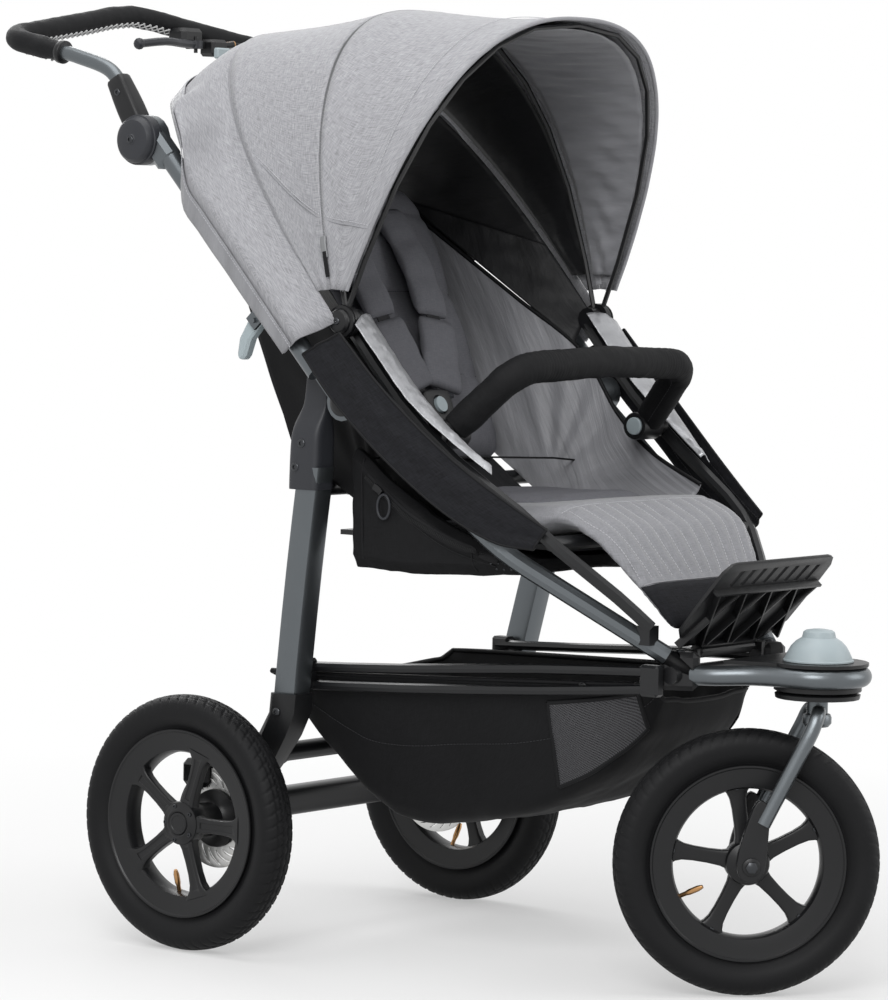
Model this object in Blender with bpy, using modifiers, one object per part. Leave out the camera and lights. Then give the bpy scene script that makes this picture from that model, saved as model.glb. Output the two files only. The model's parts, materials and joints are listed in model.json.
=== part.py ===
"""Three-wheeled sport stroller, built as named pieces at their real size.

Metres, +Z up. The child faces -Y, and +X is the child's left. Places are
written from the middle of the rear axle's track on the ground, and the empty
stroller_origin moves them so that the whole object is centred.
"""

import math

import bmesh
import bpy
from mathutils import Matrix, Vector

GAP = 0.0003
SIDES = {"left": 1, "right": -1}

# Where the rear axle stands in the object's own frame
REAR_AXLE_Y = 0.2066

# Wheels
WHEEL_RADIUS = 0.1525
TYRE_WIDTH = 0.047
TRACK = 0.532
RIM_RADIUS = 0.1117
RIM_CHANNEL_RADIUS = 0.1048
RIM_INNER_RADIUS = 0.083
RIM_WIDTH = 0.037
SPOKES = 5
WHEEL_STEPS = 24
SPOKE_WIDTH = 0.0165
SPOKE_ROOT_WIDTH = 0.027
SPOKE_THICKNESS = 0.013
HUB_RADIUS = 0.0225
HUB_FACE = 0.018
AXLE_RADIUS = 0.006
HUB_CAP_RADIUS = 0.0135
HUB_CAP_TRAVEL = 0.003
DISC_RADIUS = 0.060
DISC_INNER_RADIUS = 0.031
DISC_THICKNESS = 0.002
DISC_SLOTS = 10
DISC_INSET = 0.052

# Front swivel and fork
SWIVEL_Y = -0.712
SWIVEL_REST_DEG = 41.5
TRAIL = 0.077
FORK_LEG_X = 0.037
FORK_TUBE_RADIUS = 0.0085
STEM_RADIUS = 0.012
TYRE_TO_HOOP = 0.0615
HOOP_Z = 2 * WHEEL_RADIUS + TYRE_TO_HOOP
CROWN_DROP = 0.0425
HOOP_TUBE_RADIUS = 0.0115
HOOP_BEND_RADIUS = 0.0495
HOOP_REAR_X = 0.086
HOOP_REAR_Y = -0.599
KNOB_BASE_RADIUS = 0.040
KNOB_TOP_RADIUS = 0.019
KNOB_HEIGHT = 0.037
KNOB_TRAVEL = 0.008
TOP_PLATE_THICKNESS = 0.004
LOWER_DISC_RADIUS = 0.050
LOWER_DISC_THICKNESS = 0.014

# Frame
FRONT_TUBE_RADIUS = 0.011
FRONT_BEND = (0.215, -0.419, 0.500)
FRONT_END = (0.103, -0.575, HOOP_Z + 0.018)
HUB = (0.2355, -0.221, 0.662)
HUB_DISC_RADIUS = 0.022
LEG_EYE = (-0.174, 0.704)
LEG_WIDTH = 0.033
LEG_TOP = (0.2465, -0.164, 0.567)
LEG_TO_WHEEL = 0.0475
LEG_FOOT = (TRACK / 2 - LEG_TO_WHEEL, -0.117, 0.300)
AXLE_ARM_X = LEG_FOOT[0] - 0.0325
AXLE_BEAM_HEIGHT = 0.036
AXLE_BEAM_DEPTH = 0.030
CROSS_TUBE_RADIUS = 0.0115
CROSS_TUBE_Y = -0.054
CROSS_TUBE_Z = 0.232
BASKET_RAIL_RADIUS = 0.006
RAIL_REAR_X = LEG_FOOT[0] - 0.0275
RAIL_FRONT_X = 0.1205
SEAT_RAIL_RADIUS = 0.008
SEAT_CROSS = (-0.140, 0.556)
SEAT_BOARD_Z = 0.503
SEAT_BOARD_THICKNESS = 0.006

# Pusher and handle
PUSHER_X = 0.268
PUSHER_TUBE_RADIUS = 0.0125
PUSHER_TOP = (0.052, 0.952)
HINGE = (0.083, 0.962)
HINGE_RADIUS = 0.030
HANDLE_TUBE_RADIUS = 0.009
GRIP_RADIUS = 0.0138
HINGE_BUTTON_RADIUS = 0.011
HINGE_BUTTON_TRAVEL = 0.004
LEVER_PIVOT = (-0.1030, 0.7530)
BRAKE_PIVOT = (0.0780, 0.3080, 1.0930)
LATCH_PIVOT = (0.1130, 0.2945, 1.0860)

# Canopy, turning about the pivots at the top of the seat rails
CANOPY_PIVOT = (-0.214, 0.755)
CANOPY_WIDTH = 0.262
CANOPY_POWER = 2.6
FRONT_BOW_DEG = 112.7
MID_BOW_DEG = 77.0
REAR_BOW_DEG = 50.0
FRONT_BOW_REACH = 0.383
MID_BOW_REACH = 0.376
REAR_BOW_REACH = 0.446
BOW_RADIUS = 0.0030
CANOPY_CLOTH = 0.003
MID_BOW_X = 0.2447
FRONT_BOW_X = 0.2517
BOW_DISC_RADIUS = 0.019
BAND_X = 0.2812

# Seat, backrest and bar
SEAT_HALF_WIDTH = 0.172
CUSHION_THICKNESS = 0.034
BACK_ANGLE_DEG = 66.0
BACK_LENGTH = 0.400
BACK_HALF_WIDTH = 0.180
BACK_SHELL_THICKNESS = 0.034
BACK_PAD_THICKNESS = 0.040
SHELL_OFFSET = -0.0310
BAR_RADIUS = 0.019
BAR_END = (0.196, -0.327, 0.628)
BAR_CORNER = (0.166, -0.404, 0.706)

# Footrest
FOOT_HINGE = (-0.584, HOOP_Z + 0.0195)
FOOT_ANGLE_DEG = 50.0
FOOT_LENGTH = 0.134
FOOT_HALF_WIDTH = 0.112
FOOT_THICKNESS = 0.004
FOOT_SLOTS = 8
FOOT_RIBS = 4

bodies = {}


def clear_scene():
    for obj in list(bpy.data.objects):
        bpy.data.objects.remove(obj, do_unlink=True)


def collection(name):
    made = bpy.data.collections.new(name)
    bpy.context.scene.collection.children.link(made)
    return made


def material(name, colour, roughness, metallic=0.0):
    made = bpy.data.materials.new(name)
    made.use_nodes = True
    shader = made.node_tree.nodes["Principled BSDF"]
    shader.inputs["Base Color"].default_value = (*colour, 1)
    shader.inputs["Roughness"].default_value = roughness
    shader.inputs["Metallic"].default_value = metallic
    return made


def body(name, place=(0, 0, 0)):
    """An empty on a body's joint axis, which carries the body's pieces."""
    empty = bpy.data.objects.new("axis_" + name, None)
    empty.empty_display_size = 0.02
    parts.objects.link(empty)
    empty.location = place
    empty.parent = stroller_origin
    bodies[name] = empty
    return empty


def add(name, data, carrier=None, finish=None):
    """A new object in the parts collection, or among the helpers without a carrier."""
    obj = bpy.data.objects.new(name, data)
    (parts if carrier else helpers).objects.link(obj)
    if carrier:
        obj.parent = bodies[carrier]
        obj.matrix_parent_inverse = Matrix.Translation(-bodies[carrier].location)
        data.materials.append(finish)
    else:
        obj.parent = stroller_origin
        obj.hide_render = True
        obj.display_type = "WIRE"
    return obj


def mesh_object(name, bm, carrier=None, finish=None, sharp_deg=35):
    bmesh.ops.remove_doubles(bm, verts=bm.verts, dist=1e-6)
    bmesh.ops.recalc_face_normals(bm, faces=bm.faces)
    if bm.calc_volume(signed=True) < 0:
        bmesh.ops.reverse_faces(bm, faces=bm.faces)
    mesh = bpy.data.meshes.new(name)
    bm.to_mesh(mesh)
    bm.free()
    mesh.shade_smooth()
    mesh.set_sharp_from_angle(angle=math.radians(sharp_deg))
    return add(name, mesh, carrier, finish)


def bevel(obj, width, segments=1):
    made = obj.modifiers.new("rounded_edges", "BEVEL")
    made.width = width
    made.segments = segments
    made.limit_method = "ANGLE"
    return made


def join(obj, *others):
    for other in others:
        made = obj.modifiers.new("join_" + other.name, "BOOLEAN")
        made.operation = "UNION"
        made.object = other
    return obj


def cut(obj, *cutters):
    for cutter in cutters:
        made = obj.modifiers.new("cut_" + cutter.name, "BOOLEAN")
        made.operation = "DIFFERENCE"
        made.object = cutter
    return obj


def box(name, size, place, carrier=None, finish=None, round_edges=0.0, turn=None):
    bm = bmesh.new()
    bmesh.ops.create_cube(bm, size=1)
    bmesh.ops.scale(bm, vec=size, verts=bm.verts)
    if turn:
        bmesh.ops.rotate(bm, matrix=turn, verts=bm.verts)
    bmesh.ops.translate(bm, vec=place, verts=bm.verts)
    obj = mesh_object(name, bm, carrier, finish)
    if round_edges:
        bevel(obj, round_edges)
    return obj


def rod(name, start, end, radius, carrier=None, finish=None, sides=12, far_radius=None):
    """A cylinder or cone between two points."""
    start, end = Vector(start), Vector(end)
    along = end - start
    bm = bmesh.new()
    bmesh.ops.create_cone(
        bm,
        cap_ends=True,
        segments=sides,
        radius1=radius,
        radius2=radius if far_radius is None else far_radius,
        depth=along.length,
    )
    bmesh.ops.rotate(bm, matrix=along.to_track_quat("Z", "Y").to_matrix(), verts=bm.verts)
    bmesh.ops.translate(bm, vec=(start + end) / 2, verts=bm.verts)
    return mesh_object(name, bm, carrier, finish)


def rounded_path(points, radii, steps=4):
    """The points with each inner corner replaced by an arc of its radius."""
    points = [Vector(point) for point in points]
    made = [points[0]]
    for before, corner, after, radius in zip(points, points[1:], points[2:], radii):
        back = (before - corner).normalized()
        ahead = (after - corner).normalized()
        half = back.angle(ahead) / 2
        reach = radius / math.tan(half)
        centre = corner + (back + ahead).normalized() * radius / math.sin(half)
        first = corner + back * reach - centre
        last = corner + ahead * reach - centre
        for step in range(steps + 1):
            made.append(centre + first.slerp(last, step / steps).normalized() * radius)
    made.append(points[-1])
    return made


def smooth_path(points, steps=4):
    """Points along a smooth curve through the given ones."""
    points = [Vector(point) for point in points]
    ends = [points[0] * 2 - points[1], *points, points[-1] * 2 - points[-2]]
    made = []
    for a, b, c, d in zip(ends, ends[1:], ends[2:], ends[3:]):
        for step in range(steps):
            t = step / steps
            made.append(
                0.5 * (2 * b + (c - a) * t + (2 * a - 5 * b + 4 * c - d) * t**2 + (3 * b - a - 3 * c + d) * t**3)
            )
    return [*made, points[-1]]


def mirrored(path):
    """A half path from the +X side to the middle, and back on the other side."""
    return [*path, *[Vector((-p[0], p[1], p[2])) for p in reversed(path[:-1])]]


def tube(name, path, radius, carrier=None, finish=None, resolution=3):
    """A round tube along a path, as a welded mesh that takes further cuts."""
    data = bpy.data.curves.new(name, "CURVE")
    data.dimensions = "3D"
    data.fill_mode = "FULL"
    data.bevel_depth = radius
    data.bevel_resolution = resolution
    data.use_fill_caps = True
    spline = data.splines.new("POLY")
    spline.points.add(len(path) - 1)
    for point, place in zip(spline.points, path):
        point.co = (*place, 1)
    curve = bpy.data.objects.new(name + "_curve", data)
    helpers.objects.link(curve)
    return welded(name, curve, carrier, finish)


def plate(name, outlines, thickness, turn, place, carrier=None, finish=None):
    """A flat plate from closed outlines, the first outside and the others holes in it."""
    data = bpy.data.curves.new(name, "CURVE")
    data.dimensions = "2D"
    data.fill_mode = "BOTH"
    data.extrude = thickness / 2
    for outline in outlines:
        spline = data.splines.new("POLY")
        spline.points.add(len(outline) - 1)
        spline.use_cyclic_u = True
        for point, (x, y) in zip(spline.points, outline):
            point.co = (x, y, 0, 1)
    curve = bpy.data.objects.new(name + "_curve", data)
    curve.matrix_world = Matrix.Translation(place) @ turn.to_4x4()
    helpers.objects.link(curve)
    return welded(name, curve, carrier, finish)


def welded(name, curve, carrier, finish):
    """The curve's solid as a mesh, with the caps joined to the sides."""
    bpy.context.view_layer.update()
    graph = bpy.context.evaluated_depsgraph_get()
    mesh = bpy.data.meshes.new_from_object(curve.evaluated_get(graph))
    place = curve.matrix_world.copy()
    bpy.data.objects.remove(curve, do_unlink=True)
    bm = bmesh.new()
    bm.from_mesh(mesh)
    bpy.data.meshes.remove(mesh)
    bm.transform(place)
    return mesh_object(name, bm, carrier, finish)


def turned(name, profile, place, turn, carrier=None, finish=None, steps=40, closed=True):
    """A profile of (radius, height) points turned about its axis, which turn lays along the part's."""
    bm = bmesh.new()
    points = [bm.verts.new((radius, 0, height)) for radius, height in profile]
    for first, second in zip(points, points[1:]):
        bm.edges.new((first, second))
    if closed:
        bm.edges.new((points[-1], points[0]))
    mesh = bpy.data.meshes.new(name)
    bm.to_mesh(mesh)
    bm.free()
    obj = add(name, mesh, carrier, finish)
    obj.location = place
    obj.rotation_euler = turn.to_euler()
    screw = obj.modifiers.new("turn", "SCREW")
    screw.steps = steps
    screw.render_steps = steps
    screw.use_merge_vertices = True
    screw.merge_threshold = 0.00001
    screw.use_smooth_shade = True
    return obj


def skin(name, rings, carrier=None, finish=None, caps=True, levels=0):
    """A closed solid through rings of equal count."""
    bm = bmesh.new()
    made = [[bm.verts.new(point) for point in ring] for ring in rings]
    count = len(made[0])
    pairs = zip(made, made[1:]) if caps else zip(made, made[1:] + made[:1])
    for lower, upper in pairs:
        for i in range(count):
            j = (i + 1) % count
            bm.faces.new((lower[i], lower[j], upper[j], upper[i]))
    if caps:
        bm.faces.new(made[0])
        bm.faces.new(list(reversed(made[-1])))
    obj = mesh_object(name, bm, carrier, finish, 60)
    if levels:
        soften = obj.modifiers.new("soft", "SUBSURF")
        soften.levels = levels
        soften.render_levels = levels
    return obj


def sheet(name, rows, thickness, carrier=None, finish=None, inward=-1.0):
    """A cloth or shell from rows of points, given its thickness on one side."""
    bm = bmesh.new()
    made = [[bm.verts.new(point) for point in row] for row in rows]
    for lower, upper in zip(made, made[1:]):
        for i in range(len(lower) - 1):
            bm.faces.new((lower[i], lower[i + 1], upper[i + 1], upper[i]))
    mesh = bpy.data.meshes.new(name)
    bm.to_mesh(mesh)
    bm.free()
    mesh.shade_smooth()
    obj = add(name, mesh, carrier, finish)
    solid = obj.modifiers.new("cloth_thickness", "SOLIDIFY")
    solid.thickness = thickness
    solid.offset = inward
    solid.use_even_offset = False
    return obj


def superellipse(half_width, half_height, power, count):
    """Points round a soft rectangle."""
    made = []
    for i in range(count):
        angle = 2 * math.pi * (i + 0.5) / count
        c, s = math.cos(angle), math.sin(angle)
        made.append(
            (
                half_width * math.copysign(abs(c) ** (2 / power), c),
                half_height * math.copysign(abs(s) ** (2 / power), s),
            )
        )
    return made


def pad(name, spine, carrier, finish, count=20, power=3.4):
    """A soft pad along a spine of (y, z, half width, half thickness) in the middle plane."""
    rings = []
    for i, (y, z, half_width, half_thickness) in enumerate(spine):
        before = spine[max(i - 1, 0)]
        after = spine[min(i + 1, len(spine) - 1)]
        along = Vector((0, after[0] - before[0], after[1] - before[1])).normalized()
        normal = Vector((0, -along.z, along.y))
        rings.append(
            [
                Vector((0, y, z)) + Vector((u, 0, 0)) + normal * v
                for u, v in superellipse(half_width, half_thickness, power, count)
            ]
        )
    return skin(name, rings, carrier, finish)


def circle(radius, count, centre=(0, 0), start=0.0):
    return [
        (
            centre[0] + radius * math.cos(start + 2 * math.pi * i / count),
            centre[1] + radius * math.sin(start + 2 * math.pi * i / count),
        )
        for i in range(count)
    ]


ALONG_X = Matrix.Rotation(math.radians(90), 3, "Y")
HALF_STEP = Matrix.Rotation(math.pi / WHEEL_STEPS, 3, "Z")
LEVEL = Matrix.Identity(3)


def side_point(point, side):
    """A point given for the left side, on the chosen side."""
    return Vector((point[0] * side, point[1], point[2]))


def on_side(x, place, side):
    """A point at height (y, z) on one side."""
    return Vector((x * side, place[0], place[1]))


def outward(side):
    """The turn that lays a turned piece's own axis along X, its top outwards."""
    return Matrix.Rotation(math.radians(90 * side), 3, "Y")


# Wheels


def tyre_profile():
    half = TYRE_WIDTH / 2
    crown = WHEEL_RADIUS / math.cos(math.pi / WHEEL_STEPS)
    flank = [
        (crown, 0.28),
        (crown - 0.0045, 0.72),
        (crown - 0.0170, 1.00),
        (RIM_RADIUS + 0.0018, 0.60),
    ]
    bead = [(RIM_CHANNEL_RADIUS + GAP, 0.49)]
    upper = [(radius, half * share) for radius, share in flank + bead]
    lower = [(radius, -height) for radius, height in upper]
    return [*reversed(upper), *lower]


def rim_profile():
    half = RIM_WIDTH / 2
    return [
        (RIM_INNER_RADIUS + 0.003, half - 0.005),
        (RIM_RADIUS, half),
        (RIM_RADIUS, half - 0.0035),
        (RIM_CHANNEL_RADIUS, half - 0.0060),
        (RIM_CHANNEL_RADIUS, 0.0060 - half),
        (RIM_RADIUS, 0.0035 - half),
        (RIM_RADIUS, -half),
        (RIM_INNER_RADIUS + 0.003, 0.005 - half),
        (RIM_INNER_RADIUS, 0.0),
    ]


def spider_outline():
    """Five tapered spokes round a hub, each flaring where it meets the hub and the rim."""
    stations = (
        (HUB_RADIUS * 1.12, SPOKE_ROOT_WIDTH * 0.62),
        (HUB_RADIUS * 1.6, SPOKE_WIDTH * 0.56),
        (RIM_INNER_RADIUS * 0.78, SPOKE_WIDTH * 0.50),
        (RIM_INNER_RADIUS + 0.003, SPOKE_ROOT_WIDTH * 0.66),
    )
    made = []
    for spoke in range(SPOKES):
        angle = 2 * math.pi * spoke / SPOKES + math.pi / 2
        c, s = math.cos(angle), math.sin(angle)
        edges = [(r, -w) for r, w in stations] + [(r, w) for r, w in reversed(stations)]
        made += [(r * c - w * s, r * s + w * c) for r, w in edges]
    return made


def rim(name, carrier, place, turn, hub_profile, bore_radius, spoke_offset, cap_seat=0.0):
    """The rim with its spokes and hub in one casting, and a seat for the hub cap if it has one."""
    made = turned(name, rim_profile(), place, turn @ HALF_STEP, carrier, black_plastic, WHEEL_STEPS)
    matrix = Matrix.Translation(place) @ turn.to_4x4()
    spider = plate(name + "_spider", [spider_outline()], SPOKE_THICKNESS, turn, matrix @ Vector((0, 0, spoke_offset)))
    hub = turned(name + "_hub", hub_profile, place, turn, steps=14)
    join(made, spider, hub)
    axle_way = rod(name + "_bore", matrix @ Vector((0, 0, -0.1)), matrix @ Vector((0, 0, 0.1)), bore_radius, sides=14)
    cut(made, axle_way)
    if cap_seat:
        start = matrix @ Vector((0, 0, HUB_FACE - 0.009))
        cut(made, rod(name + "_cap_seat", start, matrix @ Vector((0, 0, HUB_FACE + 0.004)), cap_seat, sides=16))
    return made


def rear_wheel(word, side):
    carrier = "rear_wheel_" + word
    place = Vector((side * TRACK / 2, 0, WHEEL_RADIUS))
    turn = outward(side)
    turned("rear_tyre_" + word, tyre_profile(), place, turn @ HALF_STEP, carrier, rubber, WHEEL_STEPS)
    face = HUB_FACE
    shoulder = GAP - DISC_INSET + DISC_THICKNESS / 2
    hub_profile = [
        (0.004, face),
        (HUB_RADIUS, face),
        (HUB_RADIUS, -0.012),
        (HUB_RADIUS - 0.003, shoulder + 0.006),
        (DISC_INNER_RADIUS + 0.004, shoulder + 0.003),
        (DISC_INNER_RADIUS + 0.004, shoulder),
        (DISC_INNER_RADIUS - 0.0012, shoulder),
        (DISC_INNER_RADIUS - 0.0012, GAP - DISC_INSET - DISC_THICKNESS / 2),
        (0.004, GAP - DISC_INSET - DISC_THICKNESS / 2),
    ]
    rim("rear_rim_" + word, carrier, place, turn, hub_profile, AXLE_RADIUS + GAP, 0.006, HUB_CAP_RADIUS + GAP)
    brake_disc(word, side, carrier, place)
    body("hub_button_" + word, place)
    cap_depth = 0.0055
    cap = [(0.0, face + 0.001), (HUB_CAP_RADIUS - 0.003, face + 0.001), (HUB_CAP_RADIUS, face - 0.0005)]
    cap += [(HUB_CAP_RADIUS, face - cap_depth), (0.0, face - cap_depth)]
    turned("hub_button_" + word, cap, place, turn, "hub_button_" + word, black_plastic, 16, False)


def brake_disc(word, side, carrier, wheel):
    """A thin steel ring with curved slots, on the inner end of the hub."""
    place = wheel - Vector((side * DISC_INSET, 0, 0))
    outlines = [circle(DISC_RADIUS, 32), circle(DISC_INNER_RADIUS, 20)]
    inner, outer, sweep, half = 0.039, 0.055, 0.30, 0.0011
    for slot in range(DISC_SLOTS):
        start = 2 * math.pi * slot / DISC_SLOTS
        outline = []
        for share in (0.0, 0.5, 1.0):
            radius = inner + (outer - inner) * share
            angle = start + sweep * share**1.4 - half / radius
            outline.append((radius * math.cos(angle), radius * math.sin(angle)))
        for share in (1.0, 0.5, 0.0):
            radius = inner + (outer - inner) * share
            angle = start + sweep * share**1.4 + half / radius * (1.0 + share)
            outline.append((radius * math.cos(angle), radius * math.sin(angle)))
        outlines.append(outline)
    plate("brake_disc_" + word, outlines, DISC_THICKNESS, ALONG_X, place, carrier, steel)


def front_wheel(swivel):
    centre = swivel @ Vector((0, TRAIL, WHEEL_RADIUS))
    turn = swivel.to_3x3() @ ALONG_X
    turned("front_tyre", tyre_profile(), centre, turn @ HALF_STEP, "front_wheel", rubber, WHEEL_STEPS)
    end = FORK_LEG_X - 0.009
    hub_profile = [
        (0.004, end),
        (0.013, end),
        (0.014, 0.016),
        (HUB_RADIUS, 0.014),
        (HUB_RADIUS, -0.014),
        (0.014, -0.016),
        (0.013, -end),
        (0.004, -end),
    ]
    rim("front_rim", "front_wheel", centre, turn, hub_profile, AXLE_RADIUS + GAP, 0.0)


def fork(swivel):
    """Two curved legs from the crown to the dropouts, with the stem and the axle."""
    hub = Vector((0, TRAIL, WHEEL_RADIUS))
    crown_z = HOOP_Z - CROWN_DROP

    def leg(side):
        points = (
            (side * 0.012, 0.000, crown_z),
            (side * (FORK_LEG_X - 0.004), 0.006, crown_z - 0.006),
            (side * FORK_LEG_X, 0.020, crown_z - 0.036),
            (side * FORK_LEG_X, 0.046, crown_z - 0.088),
            (side * FORK_LEG_X, 0.068, crown_z - 0.132),
        )
        path = [swivel @ p for p in smooth_path(points, 2)]
        return tube("fork_leg", path, FORK_TUBE_RADIUS, resolution=2)

    def dropout(side):
        outline = [
            (0.050, crown_z - 0.100),
            (0.068, crown_z - 0.094),
            (0.088, crown_z - 0.142),
            (0.093, WHEEL_RADIUS + 0.006),
            (0.088, WHEEL_RADIUS - 0.012),
            (0.077, WHEEL_RADIUS - 0.017),
            (0.066, WHEEL_RADIUS - 0.012),
            (0.060, WHEEL_RADIUS + 0.004),
        ]
        turn = swivel.to_3x3() @ Matrix(((0, 0, 1), (1, 0, 0), (0, 1, 0)))
        return plate("dropout", [outline], 0.010, turn, swivel @ Vector((side * FORK_LEG_X, 0, 0)))

    made = rod("fork", swivel @ Vector((0, 0, crown_z - 0.012)), swivel @ Vector((0, 0, HOOP_Z + 0.008)), STEM_RADIUS, "fork", grey_metal, 18)
    crown = box(
        "fork_crown", (0.060, 0.026, 0.016), swivel @ Vector((0, 0.004, crown_z - 0.002)), None, None, 0.005, swivel.to_3x3()
    )
    axle = rod(
        "fork_axle",
        swivel @ (hub - Vector((FORK_LEG_X + 0.008, 0, 0))),
        swivel @ (hub + Vector((FORK_LEG_X + 0.008, 0, 0))),
        AXLE_RADIUS,
        sides=16,
    )
    return join(made, crown, leg(1), leg(-1), dropout(1), dropout(-1), axle)


# Front end


def front_hoop():
    """A tube that leaves the front bracket, runs round the swivel and comes back."""
    ring = []
    for step in range(7):
        angle = math.radians(-8 - 82 * step / 6)
        ring.append(
            Vector((HOOP_BEND_RADIUS * math.cos(angle), SWIVEL_Y + HOOP_BEND_RADIUS * math.sin(angle), HOOP_Z))
        )
    half = [
        Vector((HOOP_REAR_X, HOOP_REAR_Y, HOOP_Z - 0.003)),
        Vector((HOOP_REAR_X - 0.006, HOOP_REAR_Y - 0.026, HOOP_Z - 0.002)),
        Vector((0.060, -0.665, HOOP_Z)),
        *ring,
    ]
    tube("front_hoop", mirrored(half), HOOP_TUBE_RADIUS, "chassis", grey_metal, 3)


def swivel_housing():
    """The bearing block inside the hoop, its top plate and the stacked discs under it."""
    top = HOOP_Z + HOOP_TUBE_RADIUS + GAP
    bottom = HOOP_Z - HOOP_TUBE_RADIUS - GAP
    inner = HOOP_BEND_RADIUS - HOOP_TUBE_RADIUS - GAP
    bore = STEM_RADIUS + GAP
    deck = HOOP_BEND_RADIUS + 0.008
    profile = [
        (bore, top + TOP_PLATE_THICKNESS),
        (deck, top + TOP_PLATE_THICKNESS),
        (deck, top),
        (inner, top),
        (inner, bottom),
        (LOWER_DISC_RADIUS, bottom),
        (LOWER_DISC_RADIUS, bottom - 0.005),
        (LOWER_DISC_RADIUS - 0.006, bottom - 0.007),
        (LOWER_DISC_RADIUS - 0.001, bottom - 0.009),
        (LOWER_DISC_RADIUS - 0.002, bottom - LOWER_DISC_THICKNESS),
        (bore, bottom - LOWER_DISC_THICKNESS),
    ]
    made = turned("swivel_housing", profile, (0, SWIVEL_Y, 0), LEVEL, "chassis", black_plastic, 20)
    tail = [(0.050, -0.700), (-0.050, -0.700), (-0.070, -0.630), (0.070, -0.630)]
    deck_plate = plate("deck_tail", [tail], TOP_PLATE_THICKNESS, LEVEL, (0, 0, top + TOP_PLATE_THICKNESS / 2))
    join(made, deck_plate)


def swivel_knob():
    base = HOOP_Z + HOOP_TUBE_RADIUS + TOP_PLATE_THICKNESS + 2 * GAP
    profile = [
        (0.0, base + KNOB_HEIGHT),
        (KNOB_TOP_RADIUS - 0.003, base + KNOB_HEIGHT),
        (KNOB_TOP_RADIUS, base + KNOB_HEIGHT - 0.002),
        (KNOB_TOP_RADIUS + 0.007, base + KNOB_HEIGHT * 0.72),
        (KNOB_BASE_RADIUS - 0.007, base + KNOB_HEIGHT * 0.45),
        (KNOB_BASE_RADIUS - 0.001, base + KNOB_HEIGHT * 0.12),
        (KNOB_BASE_RADIUS, base),
        (0.0, base),
    ]
    turned("swivel_knob", profile, (0, SWIVEL_Y, 0), LEVEL, "swivel_knob", light_blue, 24, False)


def front_bracket():
    """The casting that holds the hoop's ends, the front tubes and the footrest."""
    made = rod("front_bracket", (-0.112, -0.585, HOOP_Z - 0.0025), (0.112, -0.585, HOOP_Z - 0.0025), 0.010, "chassis", black_metal, 16)
    for side in SIDES.values():
        block = box(
            "bracket_block", (0.028, 0.044, 0.044), (side * 0.0905, -0.584, HOOP_Z + 0.0015), None, None, 0.006, Matrix.Rotation(-0.5 * side, 3, "Z")
        )
        ear = box("footrest_ear", (0.006, 0.018, 0.030), (side * 0.066, FOOT_HINGE[0], FOOT_HINGE[1] - 0.010))
        join(made, block, ear)
    for side in SIDES.values():
        start = side_point(FRONT_BEND, side)
        end = side_point(FRONT_END, side)
        beyond = end + (end - start).normalized() * 0.05
        cut(made, rod("front_tube_way", start, beyond, FRONT_TUBE_RADIUS + 2 * GAP, sides=14))
        rear = Vector((side * HOOP_REAR_X, HOOP_REAR_Y, HOOP_Z - 0.003))
        front = Vector((side * (HOOP_REAR_X - 0.006), HOOP_REAR_Y - 0.026, HOOP_Z - 0.002))
        cut(made, rod("hoop_way", rear + (rear - front) * 0.01, front, HOOP_TUBE_RADIUS + 2 * GAP, sides=14))
    pin_way = rod("footrest_pin_way", (-0.09, *FOOT_HINGE), (0.09, *FOOT_HINGE), 0.0035, sides=16)
    cut(made, pin_way)
    return made


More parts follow.
